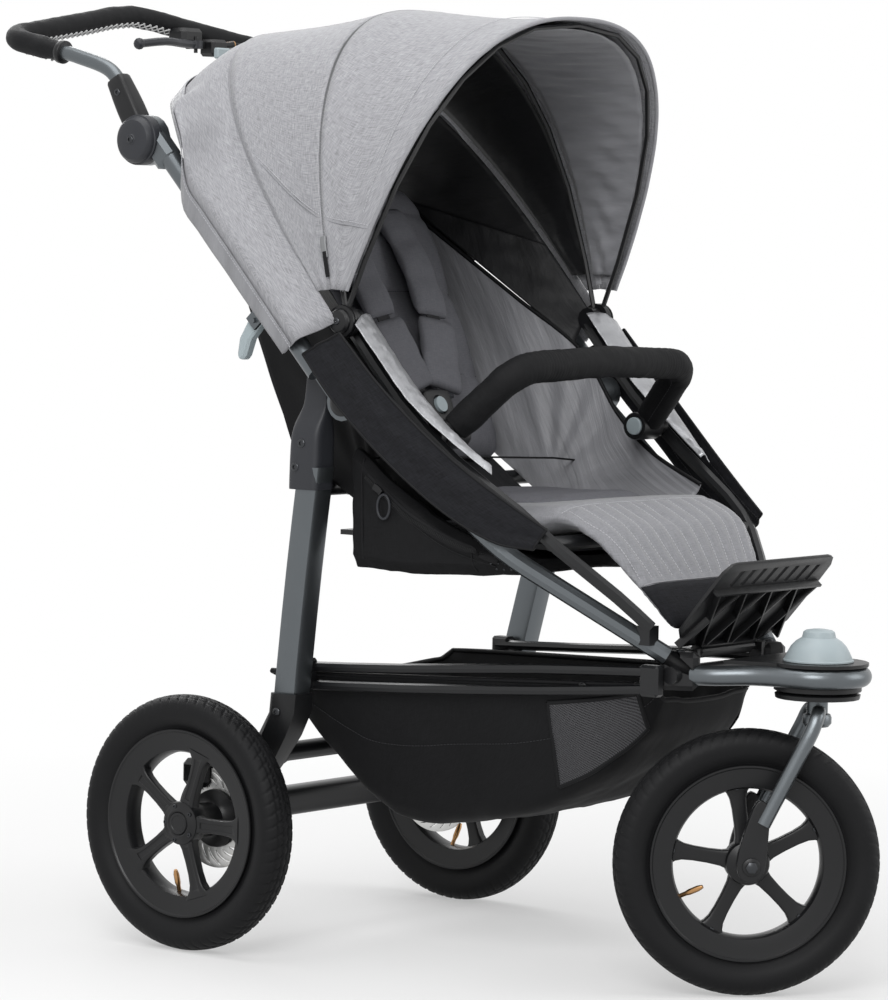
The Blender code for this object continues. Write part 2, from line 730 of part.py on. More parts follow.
def footrest():
    """A ribbed plate with a row of slots along its top edge and a lattice of ribs in front."""
    angle = math.radians(FOOT_ANGLE_DEG)
    up = Vector((0, -math.cos(angle), math.sin(angle)))
    out = Vector((0, -math.sin(angle), -math.cos(angle)))
    turn = Matrix(((1, 0, 0), (0, up.y, -out.y), (0, up.z, -out.z)))
    base = Vector((0, *FOOT_HINGE)) - out * 0.010
    half = FOOT_HALF_WIDTH
    outline = [
        (half * 0.72, 0.004),
        (half * 0.98, 0.030),
        (half * 1.00, 0.070),
        (half * 0.99, FOOT_LENGTH - 0.014),
        (half * 0.92, FOOT_LENGTH - 0.002),
        (half * 0.84, FOOT_LENGTH),
    ]
    full = outline + [(-x, y) for x, y in reversed(outline)]
    slots = []
    pitch = 2 * half * 0.80 / FOOT_SLOTS
    for i in range(FOOT_SLOTS):
        x = (i - (FOOT_SLOTS - 1) / 2) * pitch
        lean = 0.004
        drop = 0.003 * (x / half) ** 2 + 0.0001 * i
        low, high = FOOT_LENGTH - 0.034 - drop, FOOT_LENGTH - 0.010 - drop
        slots.append([(x - 0.004, low), (x + 0.004, low), (x + 0.004 + lean, high), (x - 0.004 + lean, high)])
    made = plate("footrest", [full, *slots], FOOT_THICKNESS, turn, base, "footrest", black_plastic)
    frame = Matrix.Translation(base) @ turn.to_4x4()
    depth = 0.010
    for i in range(FOOT_RIBS):
        x = (i - (FOOT_RIBS - 1) / 2) * half * 0.47
        for lean in (-0.022, 0.022):
            low = frame @ Vector((x - lean, 0.010, -depth / 2))
            high = frame @ Vector((x + lean, FOOT_LENGTH - 0.040, -depth / 2))
            middle = (low + high) / 2
            along = high - low
            side_way = along.cross(out).normalized()
            rib_turn = Matrix((side_way, along.normalized(), out)).transposed()
            rib_depth = depth - 0.0004 if lean > 0 else depth
            rib = box("rib", (0.0028, along.length, rib_depth), middle, turn=rib_turn)
            join(made, rib)
    for height, width in ((0.010, 0.110), (FOOT_LENGTH - 0.040, 0.214)):
        bar = box("cross_rib", (width, 0.0032, depth + 0.001), frame @ Vector((0, height, -depth / 2)), turn=turn)
        join(made, bar)
    pin = rod("footrest_pin", (-0.0695, *FOOT_HINGE), (0.0695, *FOOT_HINGE), 0.0032, sides=16)
    lug_size = (0.110, 0.014, 0.016)
    lug = box("hinge_lug", lug_size, Vector((0, *FOOT_HINGE)) - out * 0.004, None, None, 0.002, turn)
    join(made, lug, pin)
    return made


# Frame


def front_tube(word, side):
    """From the hub plate down beside the seat, then inwards to the front bracket."""
    path = rounded_path(
        [side_point(HUB, side), side_point(FRONT_BEND, side), side_point(FRONT_END, side)], [0.16], 4
    )
    made = tube("front_tube_" + word, path, FRONT_TUBE_RADIUS, "chassis", grey_metal, 3)
    eye = Vector((HUB[0] * side, *LEG_EYE))
    hub = side_point(HUB, side)
    middle = (eye + hub) / 2
    along = (eye - hub).normalized()
    turn = Matrix((Vector((1, 0, 0)), along, Vector((1, 0, 0)).cross(along))).transposed()
    web = box("hub_web", (0.006, (eye - hub).length, 0.026), middle + Vector((side * 0.0035, 0, 0)), turn=turn)
    inner = HUB[0] - 0.005
    outer = HUB[0] + 0.0140
    boss = rod("hub_boss", on_side(inner, HUB[1:], side), on_side(outer, HUB[1:], side), HUB_DISC_RADIUS, sides=16)
    eye_boss = rod(
        "eye_boss", on_side(HUB[0] + 0.0002, LEG_EYE, side), on_side(HUB[0] + 0.0068, LEG_EYE, side), 0.015, sides=16
    )
    pin = rod("hub_pin", on_side(outer - 0.002, HUB[1:], side), on_side(outer + 0.0118, HUB[1:], side), 0.006)
    join(made, web, boss, eye_boss, pin)


def leg_bracket(word, side):
    """The plastic head of a rear leg, whose narrow arm reaches up to the hub plate's eye."""
    top = Vector((side * LEG_TOP[0], LEG_TOP[1], LEG_TOP[2]))
    outline = [
        (-0.199, 0.560),
        (-0.197, 0.628),
        (-0.190, 0.648),
        (-0.188, 0.690),
        (-0.186, 0.712),
        (-0.174, 0.718),
        (-0.162, 0.712),
        (-0.158, 0.690),
        (-0.156, 0.660),
        (-0.136, 0.634),
        (-0.131, 0.558),
    ]
    turn = Matrix(((0, 0, 1), (1, 0, 0), (0, 1, 0)))
    arm = plate("leg_bracket_" + word, [outline], 0.0065, turn, (side * (HUB[0] + 0.0103 + GAP), 0, 0), "chassis", dark_plastic)
    bevel(arm, 0.0015)
    shell = box("bracket_shell", (0.039, 0.068, 0.078), (top.x, -0.1640, 0.5985), None, None, 0.006)
    join(arm, shell)
    leg_way = leg_profile("leg_way", side, LEG_WIDTH / 2 + GAP, 0.0, 0.585)
    cut(arm, leg_way)


def leg_profile(name, side, half, foot_z, top_z, carrier=None, finish=None):
    """The leg's rounded square section, leaning in and forwards between two heights."""
    top, foot = Vector(LEG_TOP), Vector(LEG_FOOT)
    rings = []
    stations = 5
    for i in range(stations + 1):
        z = foot_z + (top_z - foot_z) * i / stations
        share = (z - foot.z) / (top.z - foot.z)
        centre = foot.lerp(top, share) if 0 <= share <= 1 else foot + (top - foot) * share
        bow = 0.006 * max(0.0, share) ** 2
        section = superellipse(half, half, 7.0, 12)
        rings.append([Vector((centre.x * side + u, centre.y + v - bow, z)) for u, v in section])
    return skin(name, rings, carrier, finish)


def rear_leg(word, side):
    leg_profile("rear_leg_" + word, side, LEG_WIDTH / 2, 0.290, 0.5845, "chassis", grey_metal)


def axle_bracket(word, side):
    """The black foot of a leg, sweeping back to the axle, with the stub axle and the brake's caliper."""
    foot = Vector(LEG_FOOT)
    rings = []
    stations = (
        (-0.1195, 0.314, 0.042, 0.042, foot.x + 0.0015),
        (-0.1150, 0.290, 0.042, 0.042, foot.x - 0.0010),
        (-0.0980, 0.262, 0.046, 0.040, foot.x - 0.0035),
        (-0.0560, 0.222, 0.056, 0.030, AXLE_ARM_X + 0.0140),
        (-0.0260, WHEEL_RADIUS + 0.0335, 0.046, 0.024, AXLE_ARM_X + 0.0040),
        (0.0000, WHEEL_RADIUS + 0.0055, 0.034, 0.024, AXLE_ARM_X),
        (0.0100, WHEEL_RADIUS - 0.0125, 0.026, 0.022, AXLE_ARM_X),
    )
    for y, z, depth, width, x in stations:
        section = superellipse(width / 2, depth / 2, 4.0, 10)
        rings.append([Vector((x * side + u, y + v, z)) for u, v in section])
    made = skin("axle_bracket_" + word, rings, "chassis", black_metal)
    axle = (0, WHEEL_RADIUS)
    root = on_side(AXLE_ARM_X - 0.002, axle, side)
    caliper_x = TRACK / 2 - DISC_INSET
    stub = rod("stub_axle", root, on_side(TRACK / 2 + 0.008, axle, side), AXLE_RADIUS)
    carrier_boss = rod("axle_boss", root, on_side(caliper_x - 0.0055, axle, side), 0.016)
    caliper = box("caliper", (0.024, 0.040, 0.034), (side * caliper_x, 0.030, WHEEL_RADIUS + 0.052), None, None, 0.007)
    arm_size = (0.012, 0.060, 0.018)
    caliper_arm = box("caliper_arm", arm_size, (side * (caliper_x - 0.012), 0.012, WHEEL_RADIUS + 0.034), None, None, 0.004)
    join(made, stub, carrier_boss, caliper, caliper_arm)
    slot_size = (DISC_THICKNESS + 0.002, 0.12, 0.12)
    slot = box("disc_slot", slot_size, (side * caliper_x, 0.0, WHEEL_RADIUS))
    keep_start, keep_end = on_side(caliper_x - 0.014, axle, side), on_side(caliper_x + 0.016, axle, side)
    keep = rod("boss_keep", keep_start, keep_end, DISC_INNER_RADIUS, sides=16)
    cut(slot, keep)
    cut(made, leg_profile("leg_socket", side, LEG_WIDTH / 2 + GAP, 0.290 - GAP, 0.33), slot)


def axle_beam():
    rings = []
    half = AXLE_ARM_X - 0.012 - GAP
    for x in (-half, half):
        section = superellipse(AXLE_BEAM_DEPTH / 2, AXLE_BEAM_HEIGHT / 2, 3.5, 20)
        rings.append([Vector((x, u + 0.001, WHEEL_RADIUS + 0.0085 + v)) for u, v in section])
    skin("axle_beam", rings, "chassis", black_metal)


def axle_crossbar():
    """The upper tube between the axle brackets, ending face to face with them."""
    end = AXLE_ARM_X - 0.0018
    made = rod("axle_crossbar", (-end, CROSS_TUBE_Y, CROSS_TUBE_Z), (end, CROSS_TUBE_Y, CROSS_TUBE_Z), CROSS_TUBE_RADIUS, "chassis", black_metal, 20)
    for side in SIDES.values():
        plug = rod("crossbar_end", on_side(end - 0.0242, (CROSS_TUBE_Y, CROSS_TUBE_Z), side), on_side(end, (CROSS_TUBE_Y, CROSS_TUBE_Z), side), 0.014, sides=16)
        join(made, plug)


def rail_x(share):
    """How far out the basket's rails are, from 0 at the front bracket to 1 at the legs."""
    return RAIL_FRONT_X + (RAIL_REAR_X - RAIL_FRONT_X) * share


def basket_rail(word, side):
    """Twin tubes from the leg to the front bracket, held together by an end block at each end."""
    rear_x, front_x = RAIL_REAR_X, RAIL_FRONT_X
    top, low = HOOP_Z + 0.0005, HOOP_Z - 0.0195
    upper = [(rear_x, -0.112, 0.343), (rail_x(0.843972), -0.25, 0.350), (rail_x(0.418440), -0.43, 0.362), (front_x, -0.566, top)]
    lower = [(rear_x, -0.112, 0.321), (rail_x(0.843972), -0.25, 0.327), (rail_x(0.418440), -0.43, 0.337), (front_x, -0.566, low)]
    made = tube("basket_rail_" + word, smooth_path([side_point(p, side) for p in upper], 2), BASKET_RAIL_RADIUS, "chassis", black_metal, 2)
    second = tube("lower_rail", smooth_path([side_point(p, side) for p in lower], 2), BASKET_RAIL_RADIUS, resolution=2)
    rear = box("rear_block", (0.0178, 0.026, 0.038), (side * (rear_x + 0.0035), -0.118, 0.335), None, None, 0.003)
    front = box("front_block", (0.016, 0.026, 0.036), (side * front_x, -0.566, HOOP_Z - 0.0095), None, None, 0.003)
    join(made, second, rear, front)


def seat_frame():
    """Side rails from the canopy pivots to the front bracket, the seat board and its cross tubes."""
    half = [
        (0.2325, -0.210, 0.748),
        (0.2320, -0.285, 0.664),
        (0.2260, -0.360, 0.600),
        (0.2120, -0.440, 0.546),
        (0.1960, -0.486, 0.506),
        (0.1500, -0.537, HOOP_Z + 0.0855),
        (0.1240, -0.566, HOOP_Z + 0.0510),
    ]
    rails = {}
    for word, side in SIDES.items():
        path = smooth_path([side_point(p, side) for p in half], 2)
        rails[word] = path
    made = tube("seat_frame", rails["left"], SEAT_RAIL_RADIUS, "chassis", black_metal, 2)
    join(made, tube("rail_right", rails["right"], SEAT_RAIL_RADIUS, resolution=2))
    cross = rod("front_cross", (-0.198, -0.477, 0.5108), (0.198, -0.477, 0.5108), 0.0085, sides=12)
    rear_end = LEG_TOP[0] - 0.0195 - GAP
    rear = rod("rear_cross", (-rear_end, *SEAT_CROSS), (rear_end, *SEAT_CROSS), 0.009, sides=16)
    board_y = (-0.477 + SEAT_CROSS[0]) / 2
    board = box("seat_board", (2 * SEAT_HALF_WIDTH - 0.024, 0.337, SEAT_BOARD_THICKNESS), (0, board_y, SEAT_BOARD_Z))
    stand = box("board_stand", (0.200, 0.010, SEAT_CROSS[1] - SEAT_BOARD_Z), (0, SEAT_CROSS[0], (SEAT_CROSS[1] + SEAT_BOARD_Z) / 2))
    join(made, cross, rear, board, stand)
    for side in SIDES.values():
        stem = rod("pivot_stem", on_side(0.2325, CANOPY_PIVOT, side), on_side(0.2543, CANOPY_PIVOT, side), 0.005, sides=12)
        head = rod("pivot_cap", on_side(0.2531, CANOPY_PIVOT, side), on_side(0.2546, CANOPY_PIVOT, side), 0.010, sides=12)
        lug = rod("pivot_lug", on_side(0.2265, CANOPY_PIVOT, side), on_side(0.2412, CANOPY_PIVOT, side), 0.014, sides=12)
        socket_out = on_side(0.226, (BAR_END[1], BAR_END[2]), side)
        socket_in = on_side(0.2153, (BAR_END[1], BAR_END[2]), side)
        socket = rod("bar_socket", socket_out, socket_in, 0.014, sides=12)
        saddle = box("rail_saddle", (0.018, 0.018, 0.022), (side * 0.1215, -0.5600, HOOP_Z + 0.0420))
        start, end = side_point(FRONT_BEND, side), side_point(FRONT_END, side)
        cut(saddle, rod("front_tube_seat", start, end, FRONT_TUBE_RADIUS + 2 * GAP))
        join(made, lug, stem, head, socket, saddle)


# Pusher and handle


def pusher_tube(word, side):
    """From the hub up behind the seat, ending in the fixed half of the handle's hinge."""
    hub = on_side(PUSHER_X, HUB[1:], side)
    top = on_side(PUSHER_X, PUSHER_TOP, side)
    along = (top - hub).normalized()
    made = rod("pusher_tube_" + word, hub + along * 0.045, top, PUSHER_TUBE_RADIUS, "pusher", grey_metal, 16)
    inner, outer = HUB[0] + 0.0143, HUB[0] + 0.0260
    disc = rod("hub_disc", on_side(inner, HUB[1:], side), on_side(outer, HUB[1:], side), HUB_DISC_RADIUS, sides=16)
    arm_end = on_side((inner + outer) / 2, HUB[1:], side) + along * 0.062
    arm_start = on_side((inner + outer) / 2, HUB[1:], side)
    turn = Matrix((Vector((1, 0, 0)), along, Vector((1, 0, 0)).cross(along))).transposed()
    arm = box("hub_arm", (outer - inner - 0.0006, (arm_end - arm_start).length, 0.024), (arm_start + arm_end) / 2, turn=turn)
    inner_hinge = PUSHER_X - 0.0125
    middle = PUSHER_X + 0.0005
    fixed_half = rod("hinge_half", on_side(inner_hinge, HINGE, side), on_side(middle - GAP, HINGE, side), HINGE_RADIUS, sides=18)
    housing = box("hinge_housing", (0.026, 0.052, 0.031), on_side(PUSHER_X - 0.0001, (0.0575, 0.953), side), None, None, 0.006, turn)
    join(made, disc, arm, housing)
    cut(made, rod("moving_half_way", on_side(middle - 2 * GAP, HINGE, side), on_side(0.32, HINGE, side), HINGE_RADIUS + 0.0012, sides=18))
    join(made, fixed_half)
    bore = rod("hub_pin_way", on_side(0.2, HUB[1:], side), on_side(0.3, HUB[1:], side), 0.006 + GAP)
    button_way = rod(
        "button_way", on_side(inner_hinge - 0.01, HINGE, side), on_side(inner_hinge + 0.008, HINGE, side), HINGE_BUTTON_RADIUS + GAP, sides=16
    )
    lever_x = PUSHER_X
    lever_pin = rod(
        "lever_pin", on_side(lever_x - 0.016, LEVER_PIVOT, side), on_side(lever_x + 0.016, LEVER_PIVOT, side), 0.003, sides=14
    )
    cheek = [
        box("lever_cheek", (0.004, 0.018, 0.034), on_side(lever_x + shift, (LEVER_PIVOT[0] - 0.006, LEVER_PIVOT[1] + 0.007), side), turn=turn)
        for shift in (-0.0105, 0.0105)
    ]
    join(made, lever_pin, *cheek)
    cut(made, bore, button_way)


def fold_lever(word, side):
    """The release lever behind a pusher tube, with a rounded tip."""
    outline = [(0.004, 0.010), (-0.006, 0.006), (-0.006, -0.004), (0.010, -0.022), (0.018, -0.044), (0.026, -0.048), (0.031, -0.042), (0.028, -0.022), (0.016, -0.002)]
    turn = Matrix(((0, 0, 1), (1, 0, 0), (0, 1, 0)))
    made = plate("fold_lever_" + word, [outline], 0.0155, turn, on_side(PUSHER_X, LEVER_PIVOT, side), "fold_lever_" + word, light_blue)
    bevel(made, 0.003)
    cut(made, rod("lever_pin_way", on_side(0.24, LEVER_PIVOT, side), on_side(0.30, LEVER_PIVOT, side), 0.003 + GAP, sides=14))


def hinge_button(word, side):
    inner = PUSHER_X - 0.0125
    rod(
        "hinge_button_" + word,
        on_side(inner - 0.0020, HINGE, side),
        on_side(inner + 0.0035, HINGE, side),
        HINGE_BUTTON_RADIUS,
        "hinge_button_" + word,
        light_blue,
        20,
    )


def handle_path():
    """One half of the bar, from a hinge sleeve round the corner to the middle of the arch."""
    straight = [
        (PUSHER_X, 0.1120, 1.0130),
        (PUSHER_X, 0.1290, 1.0360),
        (PUSHER_X, 0.1500, 1.0500),
        (PUSHER_X, 0.1990, 1.0640),
    ]
    corner = rounded_path(
        [(PUSHER_X, 0.205, 1.0650), (0.262, 0.318, 1.0870), (0.0, 0.3500, 1.1260)], [0.045], 4
    )
    middle = [Vector((0.100, 0.3400, 1.1120)), Vector((0.045, 0.3465, 1.1215))]
    return smooth_path(straight, 2), [*corner[1:-1], *middle, corner[-1]]


def handle():
    arm, bend = handle_path()
    full = mirrored([*arm, *bend])
    made = tube("handle_bar", full, HANDLE_TUBE_RADIUS, "handle", grey_metal, 2)
    for side in SIDES.values():
        low = on_side(PUSHER_X, HINGE, side)
        high = on_side(PUSHER_X, (0.1270, 1.0350), side)
        along = (high - low).normalized()
        turn = Matrix((Vector((1, 0, 0)), along, Vector((1, 0, 0)).cross(along))).transposed()
        sleeve = box("sleeve", (0.027, 0.060, 0.030), low + along * 0.054, None, None, 0.007, turn)
        moving = rod("moving_hinge", on_side(PUSHER_X + 0.0005 + GAP, HINGE, side), on_side(PUSHER_X + 0.0262, HINGE, side), HINGE_RADIUS, sides=18)
        join(made, sleeve)
        clear = rod("fixed_half_way", on_side(0.2, HINGE, side), on_side(PUSHER_X + 0.0005 + 2 * GAP, HINGE, side), HINGE_RADIUS + 0.0012, sides=18)
        cut(made, clear)
        join(made, moving)
    grip = tube("handle_grip", grip_path(), GRIP_RADIUS, "handle", foam, 3)
    cut(grip, tube("grip_bore", full, HANDLE_TUBE_RADIUS + GAP, resolution=2))


def grip_path():
    arm, bend = handle_path()
    return mirrored([arm[-1] + (bend[0] - arm[-1]) * 0.2, *bend])


def brake_group():
    """The hand brake under the far half of the bar: mount, lever, parking latch and cable."""
    clamp = Vector((0.075, 0.3432, 1.1172))
    mount = box("brake_mount", (0.040, 0.030, 0.026), clamp + Vector((0, -0.020, -0.016)), "handle", black_plastic, 0.005)
    bracket = box("latch_bracket", (0.030, 0.026, 0.022), (0.1130, 0.3080, 1.0900), None, None, 0.004)
    link = box("latch_link", (0.050, 0.014, 0.009), (0.0920, 0.3150, 1.0935))
    adjuster = rod("adjuster", (0.1210, 0.3062, 1.0923), (0.1420, 0.3000, 1.0960), 0.0045, sides=12)
    join(mount, link, bracket, adjuster)
    cut(mount, tube("grip_way", grip_path(), GRIP_RADIUS + GAP, resolution=3))
    pivot = Vector(BRAKE_PIVOT)
    cut(mount, box("lever_way", (0.060, 0.060, 0.0115), pivot + Vector((-0.020, 0.0, 0.0))))
    pin = rod("brake_pin", pivot + Vector((0, 0, -0.0105)), pivot + Vector((0, 0, 0.0105)), 0.0025, sides=14)
    join(mount, pin)
    lever_points = [
        pivot,
        pivot + Vector((-0.030, -0.004, 0.0)),
        pivot + Vector((-0.070, -0.010, 0.001)),
        pivot + Vector((-0.115, -0.006, -0.004)),
    ]
    lever = tube("brake_lever", smooth_path(lever_points, 3), 0.0052, "brake_lever", dark_plastic, 2)
    ball = turned("lever_ball", ball_profile(0.0075), lever_points[-1], LEVEL, steps=10, closed=False)
    boss = rod("lever_boss", pivot + Vector((0, 0, -0.0052)), pivot + Vector((0, 0, 0.0052)), 0.009, sides=18)
    join(lever, ball, boss)
    cut(lever, rod("lever_pin_hole", pivot + Vector((0, 0, -0.02)), pivot + Vector((0, 0, 0.02)), 0.0025 + GAP, sides=14))
    latch_pivot = Vector(LATCH_PIVOT)
    latch_middle = latch_pivot + Vector((-0.004, -0.0045, -0.003))
    box("parking_latch", (0.026, 0.0085, 0.014), latch_middle, "parking_latch", light_blue, 0.002)
    cable_points = [(0.1425, 0.2998, 1.0961), (0.160, 0.2960, 1.0950), (0.200, 0.2880, 1.0840), (0.2300, 0.2660, 1.0640), (0.2500, 0.2300, 1.0520), (0.2520, 0.1950, 1.0480), (0.2530, 0.1660, 1.0430)]
    tube("brake_cable", smooth_path(cable_points, 2), 0.0022, "handle", rubber, 1)


def ball_profile(radius):
    count = 6
    return [
        (radius * math.sin(math.pi * i / count), radius * math.cos(math.pi * i / count)) for i in range(count + 1)
    ]


# Canopy


def arch(angle_deg, reach, half_width, count, start_deg=0.0, power=CANOPY_POWER):
    """Points over the seat from the left side to the right, in a plane through the pivots."""
    angle = math.radians(angle_deg)
    first = math.radians(start_deg)
    made = []
    for i in range(count + 1):
        t = first + (math.pi - 2 * first) * i / count
        c, s = math.cos(t), math.sin(t)
        x = half_width * math.copysign(abs(c) ** (2 / power), c)
        r = reach * abs(s) ** (2 / power)
        made.append(
            Vector((x, CANOPY_PIVOT[0] + r * math.cos(angle), CANOPY_PIVOT[1] + r * math.sin(angle)))
        )
    return made


def bow(name, carrier, angle_deg, reach, x, disc_inner, disc_outer, lift=0.0):
    path = arch(angle_deg, reach, x, 26)[1:-1:2]
    for end, side in ((0, 1), (len(path) + 1, -1)):
        angle = math.radians(angle_deg)
        start = (CANOPY_PIVOT[0] + 0.014 * math.cos(angle), CANOPY_PIVOT[1] + 0.014 * math.sin(angle))
        path.insert(end, on_side(x, start, side))
    made = tube(name, path, BOW_RADIUS, carrier, black_plastic, 1)
    for side in SIDES.values():
        disc = rod("bow_disc", on_side(disc_inner, CANOPY_PIVOT, side), on_side(disc_outer, CANOPY_PIVOT, side), BOW_DISC_RADIUS, sides=16)
        join(made, disc)
    way = rod("bow_pin_way", (-0.3, *CANOPY_PIVOT), (0.3, *CANOPY_PIVOT), 0.005 + GAP, sides=16)
    cut(made, way)


def canopy_cloth(name, carrier, from_deg, to_deg, from_reach, to_reach, rows=3):
    """Cloth stretched between two bows, sagging a little between them."""
    made = []
    for i in range(rows + 1):
        share = i / rows
        low, high = math.radians(from_deg), math.radians(to_deg)
        angle = from_deg + (to_deg - from_deg) * share
        start_y, start_z = from_reach * math.cos(low), from_reach * math.sin(low)
        end_y, end_z = to_reach * math.cos(high), to_reach * math.sin(high)
        y, z = start_y + (end_y - start_y) * share, start_z + (end_z - start_z) * share
        angle = math.degrees(math.atan2(z, y))
        made.append(arch(angle, math.hypot(y, z), CANOPY_WIDTH, 26, 2.5))
    return sheet(name, made, CANOPY_CLOTH, carrier, light_cloth)


def canopy():
    gap_deg = 0.25
    bow("canopy_mid_bow", "canopy_mid", MID_BOW_DEG, MID_BOW_REACH - 0.0036, MID_BOW_X, 0.2443, 0.2484)
    bow("canopy_front_bow", "canopy_front", FRONT_BOW_DEG - 0.6, FRONT_BOW_REACH - 0.0052, FRONT_BOW_X, 0.2487, 0.2528)
    canopy_cloth("canopy_visor", "canopy_front", FRONT_BOW_DEG, MID_BOW_DEG + gap_deg, FRONT_BOW_REACH, MID_BOW_REACH)
    canopy_cloth("canopy_panel", "canopy_mid", MID_BOW_DEG - gap_deg, REAR_BOW_DEG + gap_deg, MID_BOW_REACH, REAR_BOW_REACH)
    rear_cloth()


def rear_cloth():
    """The fixed rear of the canopy: over the pusher tubes at the sides and down to the backrest."""
    count = 26
    bow_angle = math.radians(REAR_BOW_DEG)
    clear = Vector((0, math.sin(bow_angle), -math.cos(bow_angle))) * 0.0016
    first = [p + clear for p in arch(REAR_BOW_DEG, REAR_BOW_REACH, CANOPY_WIDTH, count)]
    band = [
        (BAND_X, -0.1500, 0.7160),
        (BAND_X, -0.0900, 0.7790),
        (BAND_X, -0.0300, 0.8430),
        (BAND_X, 0.0100, 0.8860),
        (BAND_X, 0.0080, 0.9400),
        (0.2660, 0.0330, 0.9760),
        (0.2450, 0.0600, 0.9960),
        (0.2000, 0.0980, 1.0120),
        (0.1200, 0.1180, 1.0280),
        (0.0000, 0.1300, 1.0400),
    ]
    edge = resampled(mirrored([Vector(p) for p in band]), count)
    rows = []
    steps = 4
    for i in range(steps + 1):
        share = i / steps
        row = []
        for near, far in zip(first, edge):
            point = near.lerp(far, share)
            if share > 0 and max(abs(near.x), abs(far.x)) > 0.255 and abs(far.x) > 0.255:
                point.x = near.x + (far.x - near.x) * min(1.0, 0.15 + max(0.0, i - 1) * 0.85)
            bulge = 0.020 * math.sin(math.pi * share)
            side_share = min(1.0, abs(point.x) / CANOPY_WIDTH)
            flare = 0.010 * math.sin(math.pi * share) * side_share
            row.append(point + Vector((math.copysign(flare, point.x) if abs(point.x) > 1e-6 else 0.0, 0, bulge * (1 - side_share))))
        rows.append(row)
    sheet("canopy_rear", rows, CANOPY_CLOTH, "chassis", light_cloth)


def resampled(path, count):
    """The path's shape as count + 1 points at even distances."""
    lengths = [0.0]
    for a, b in zip(path, path[1:]):
        lengths.append(lengths[-1] + (b - a).length)
    made = []
    for i in range(count + 1):
        target = lengths[-1] * i / count
        k = 0
        while k < len(path) - 2 and lengths[k + 1] < target:
            k += 1
        share = (target - lengths[k]) / (lengths[k + 1] - lengths[k])
        made.append(path[k].lerp(path[k + 1], share))
    return made


# Seat and soft goods


def seat_cushion():
    """The cushion flows over the seat's front edge and down as the apron."""
    half = CUSHION_THICKNESS / 2
    line = [
        (-0.205, 0.5260, 0.120, 0.30),
        (-0.212, 0.5260, 0.158, 0.80),
        (-0.250, 0.5265, SEAT_HALF_WIDTH, 1.05),
        (-0.300, 0.5275, SEAT_HALF_WIDTH - 0.004, 0.92),
        (-0.350, 0.5295, SEAT_HALF_WIDTH, 1.08),
        (-0.395, 0.5325, SEAT_HALF_WIDTH - 0.002, 0.98),
        (-0.430, 0.5360, SEAT_HALF_WIDTH, 0.95),
        (-0.466, 0.5385, SEAT_HALF_WIDTH - 0.004, 0.78),
        (-0.500, 0.5270, SEAT_HALF_WIDTH - 0.010, 0.50),
        (-0.527, HOOP_Z + 0.1285, SEAT_HALF_WIDTH - 0.024, 0.36),
        (-0.552, HOOP_Z + 0.0905, SEAT_HALF_WIDTH - 0.046, 0.34),
        (-0.574, HOOP_Z + 0.0565, SEAT_HALF_WIDTH - 0.065, 0.32),
        (-0.581, HOOP_Z + 0.0465, SEAT_HALF_WIDTH - 0.074, 0.18),
    ]
    spine = [(y, z - 0.0022, width, half * share) for y, z, width, share in line]
    pad("seat_cushion", spine, "chassis", light_cloth, 22)


def back_frame():
    angle = math.radians(BACK_ANGLE_DEG)
    along = Vector((0, math.cos(angle), math.sin(angle)))
    normal = Vector((0, -math.sin(angle), math.cos(angle)))
    return Vector((0, *SEAT_CROSS)), along, normal


def back_pad_line(stations, offset, half_thickness):
    pivot, along, normal = back_frame()
    spine = []
    for s, bend, width, share in stations:
        point = pivot + along * s + normal * (offset + bend)
        spine.append((point.y, point.z, width, half_thickness * share))
    return spine


def backrest():
    """A stiff rear shell with a padded front, both turning about the seat's rear cross tube."""
    w = BACK_HALF_WIDTH
    shell = (
        (0.022, 0.000, w * 0.86, 0.30),
        (0.030, 0.000, w * 0.93, 0.70),
        (0.075, 0.000, w * 0.98, 1.0),
        (0.150, 0.000, w, 1.0),
        (0.250, 0.000, w, 1.0),
        (0.340, 0.000, w * 0.97, 1.0),
        (BACK_LENGTH - 0.022, 0.002, w * 0.90, 0.85),
        (BACK_LENGTH, 0.004, w * 0.78, 0.35),
    )
    made = pad("backrest_shell", back_pad_line(shell, SHELL_OFFSET, BACK_SHELL_THICKNESS / 2), "backrest", black_cloth, 20)
    pivot, along, normal = back_frame()
    turn = Matrix((Vector((1, 0, 0)), along, normal)).transposed()
    for side in SIDES.values():
        place = pivot + Vector((side * 0.135, 0, 0))
        eye = box("hinge_eye", (0.030, 0.025, 0.042), place - normal * 0.009, turn=turn)
        tab = box("hinge_tab", (0.0296, 0.045, 0.0146), place + along * 0.015 - normal * 0.0225, turn=turn)
        join(made, tab, eye)
    cut(made, rod("back_hinge_way", (-0.2, *SEAT_CROSS), (0.2, *SEAT_CROSS), 0.009 + GAP, sides=16))
    cushion = (
        (0.020, 0.000, w * 0.80, 0.35),
        (0.034, 0.000, w * 0.88, 0.80),
        (0.080, 0.002, w * 0.92, 1.05),
        (0.130, 0.000, w * 0.90, 0.90),
        (0.185, 0.002, w * 0.93, 1.08),
        (0.240, 0.000, w * 0.90, 0.90),
        (0.295, 0.002, w * 0.92, 1.05),
        (0.345, 0.000, w * 0.88, 0.90),
        (BACK_LENGTH - 0.020, 0.000, w * 0.80, 0.70),
        (BACK_LENGTH - 0.008, 0.000, w * 0.70, 0.30),
    )
    pad("backrest_pad", back_pad_line(cushion, 0.0060, BACK_PAD_THICKNESS / 2), "backrest", mid_cloth, 20)


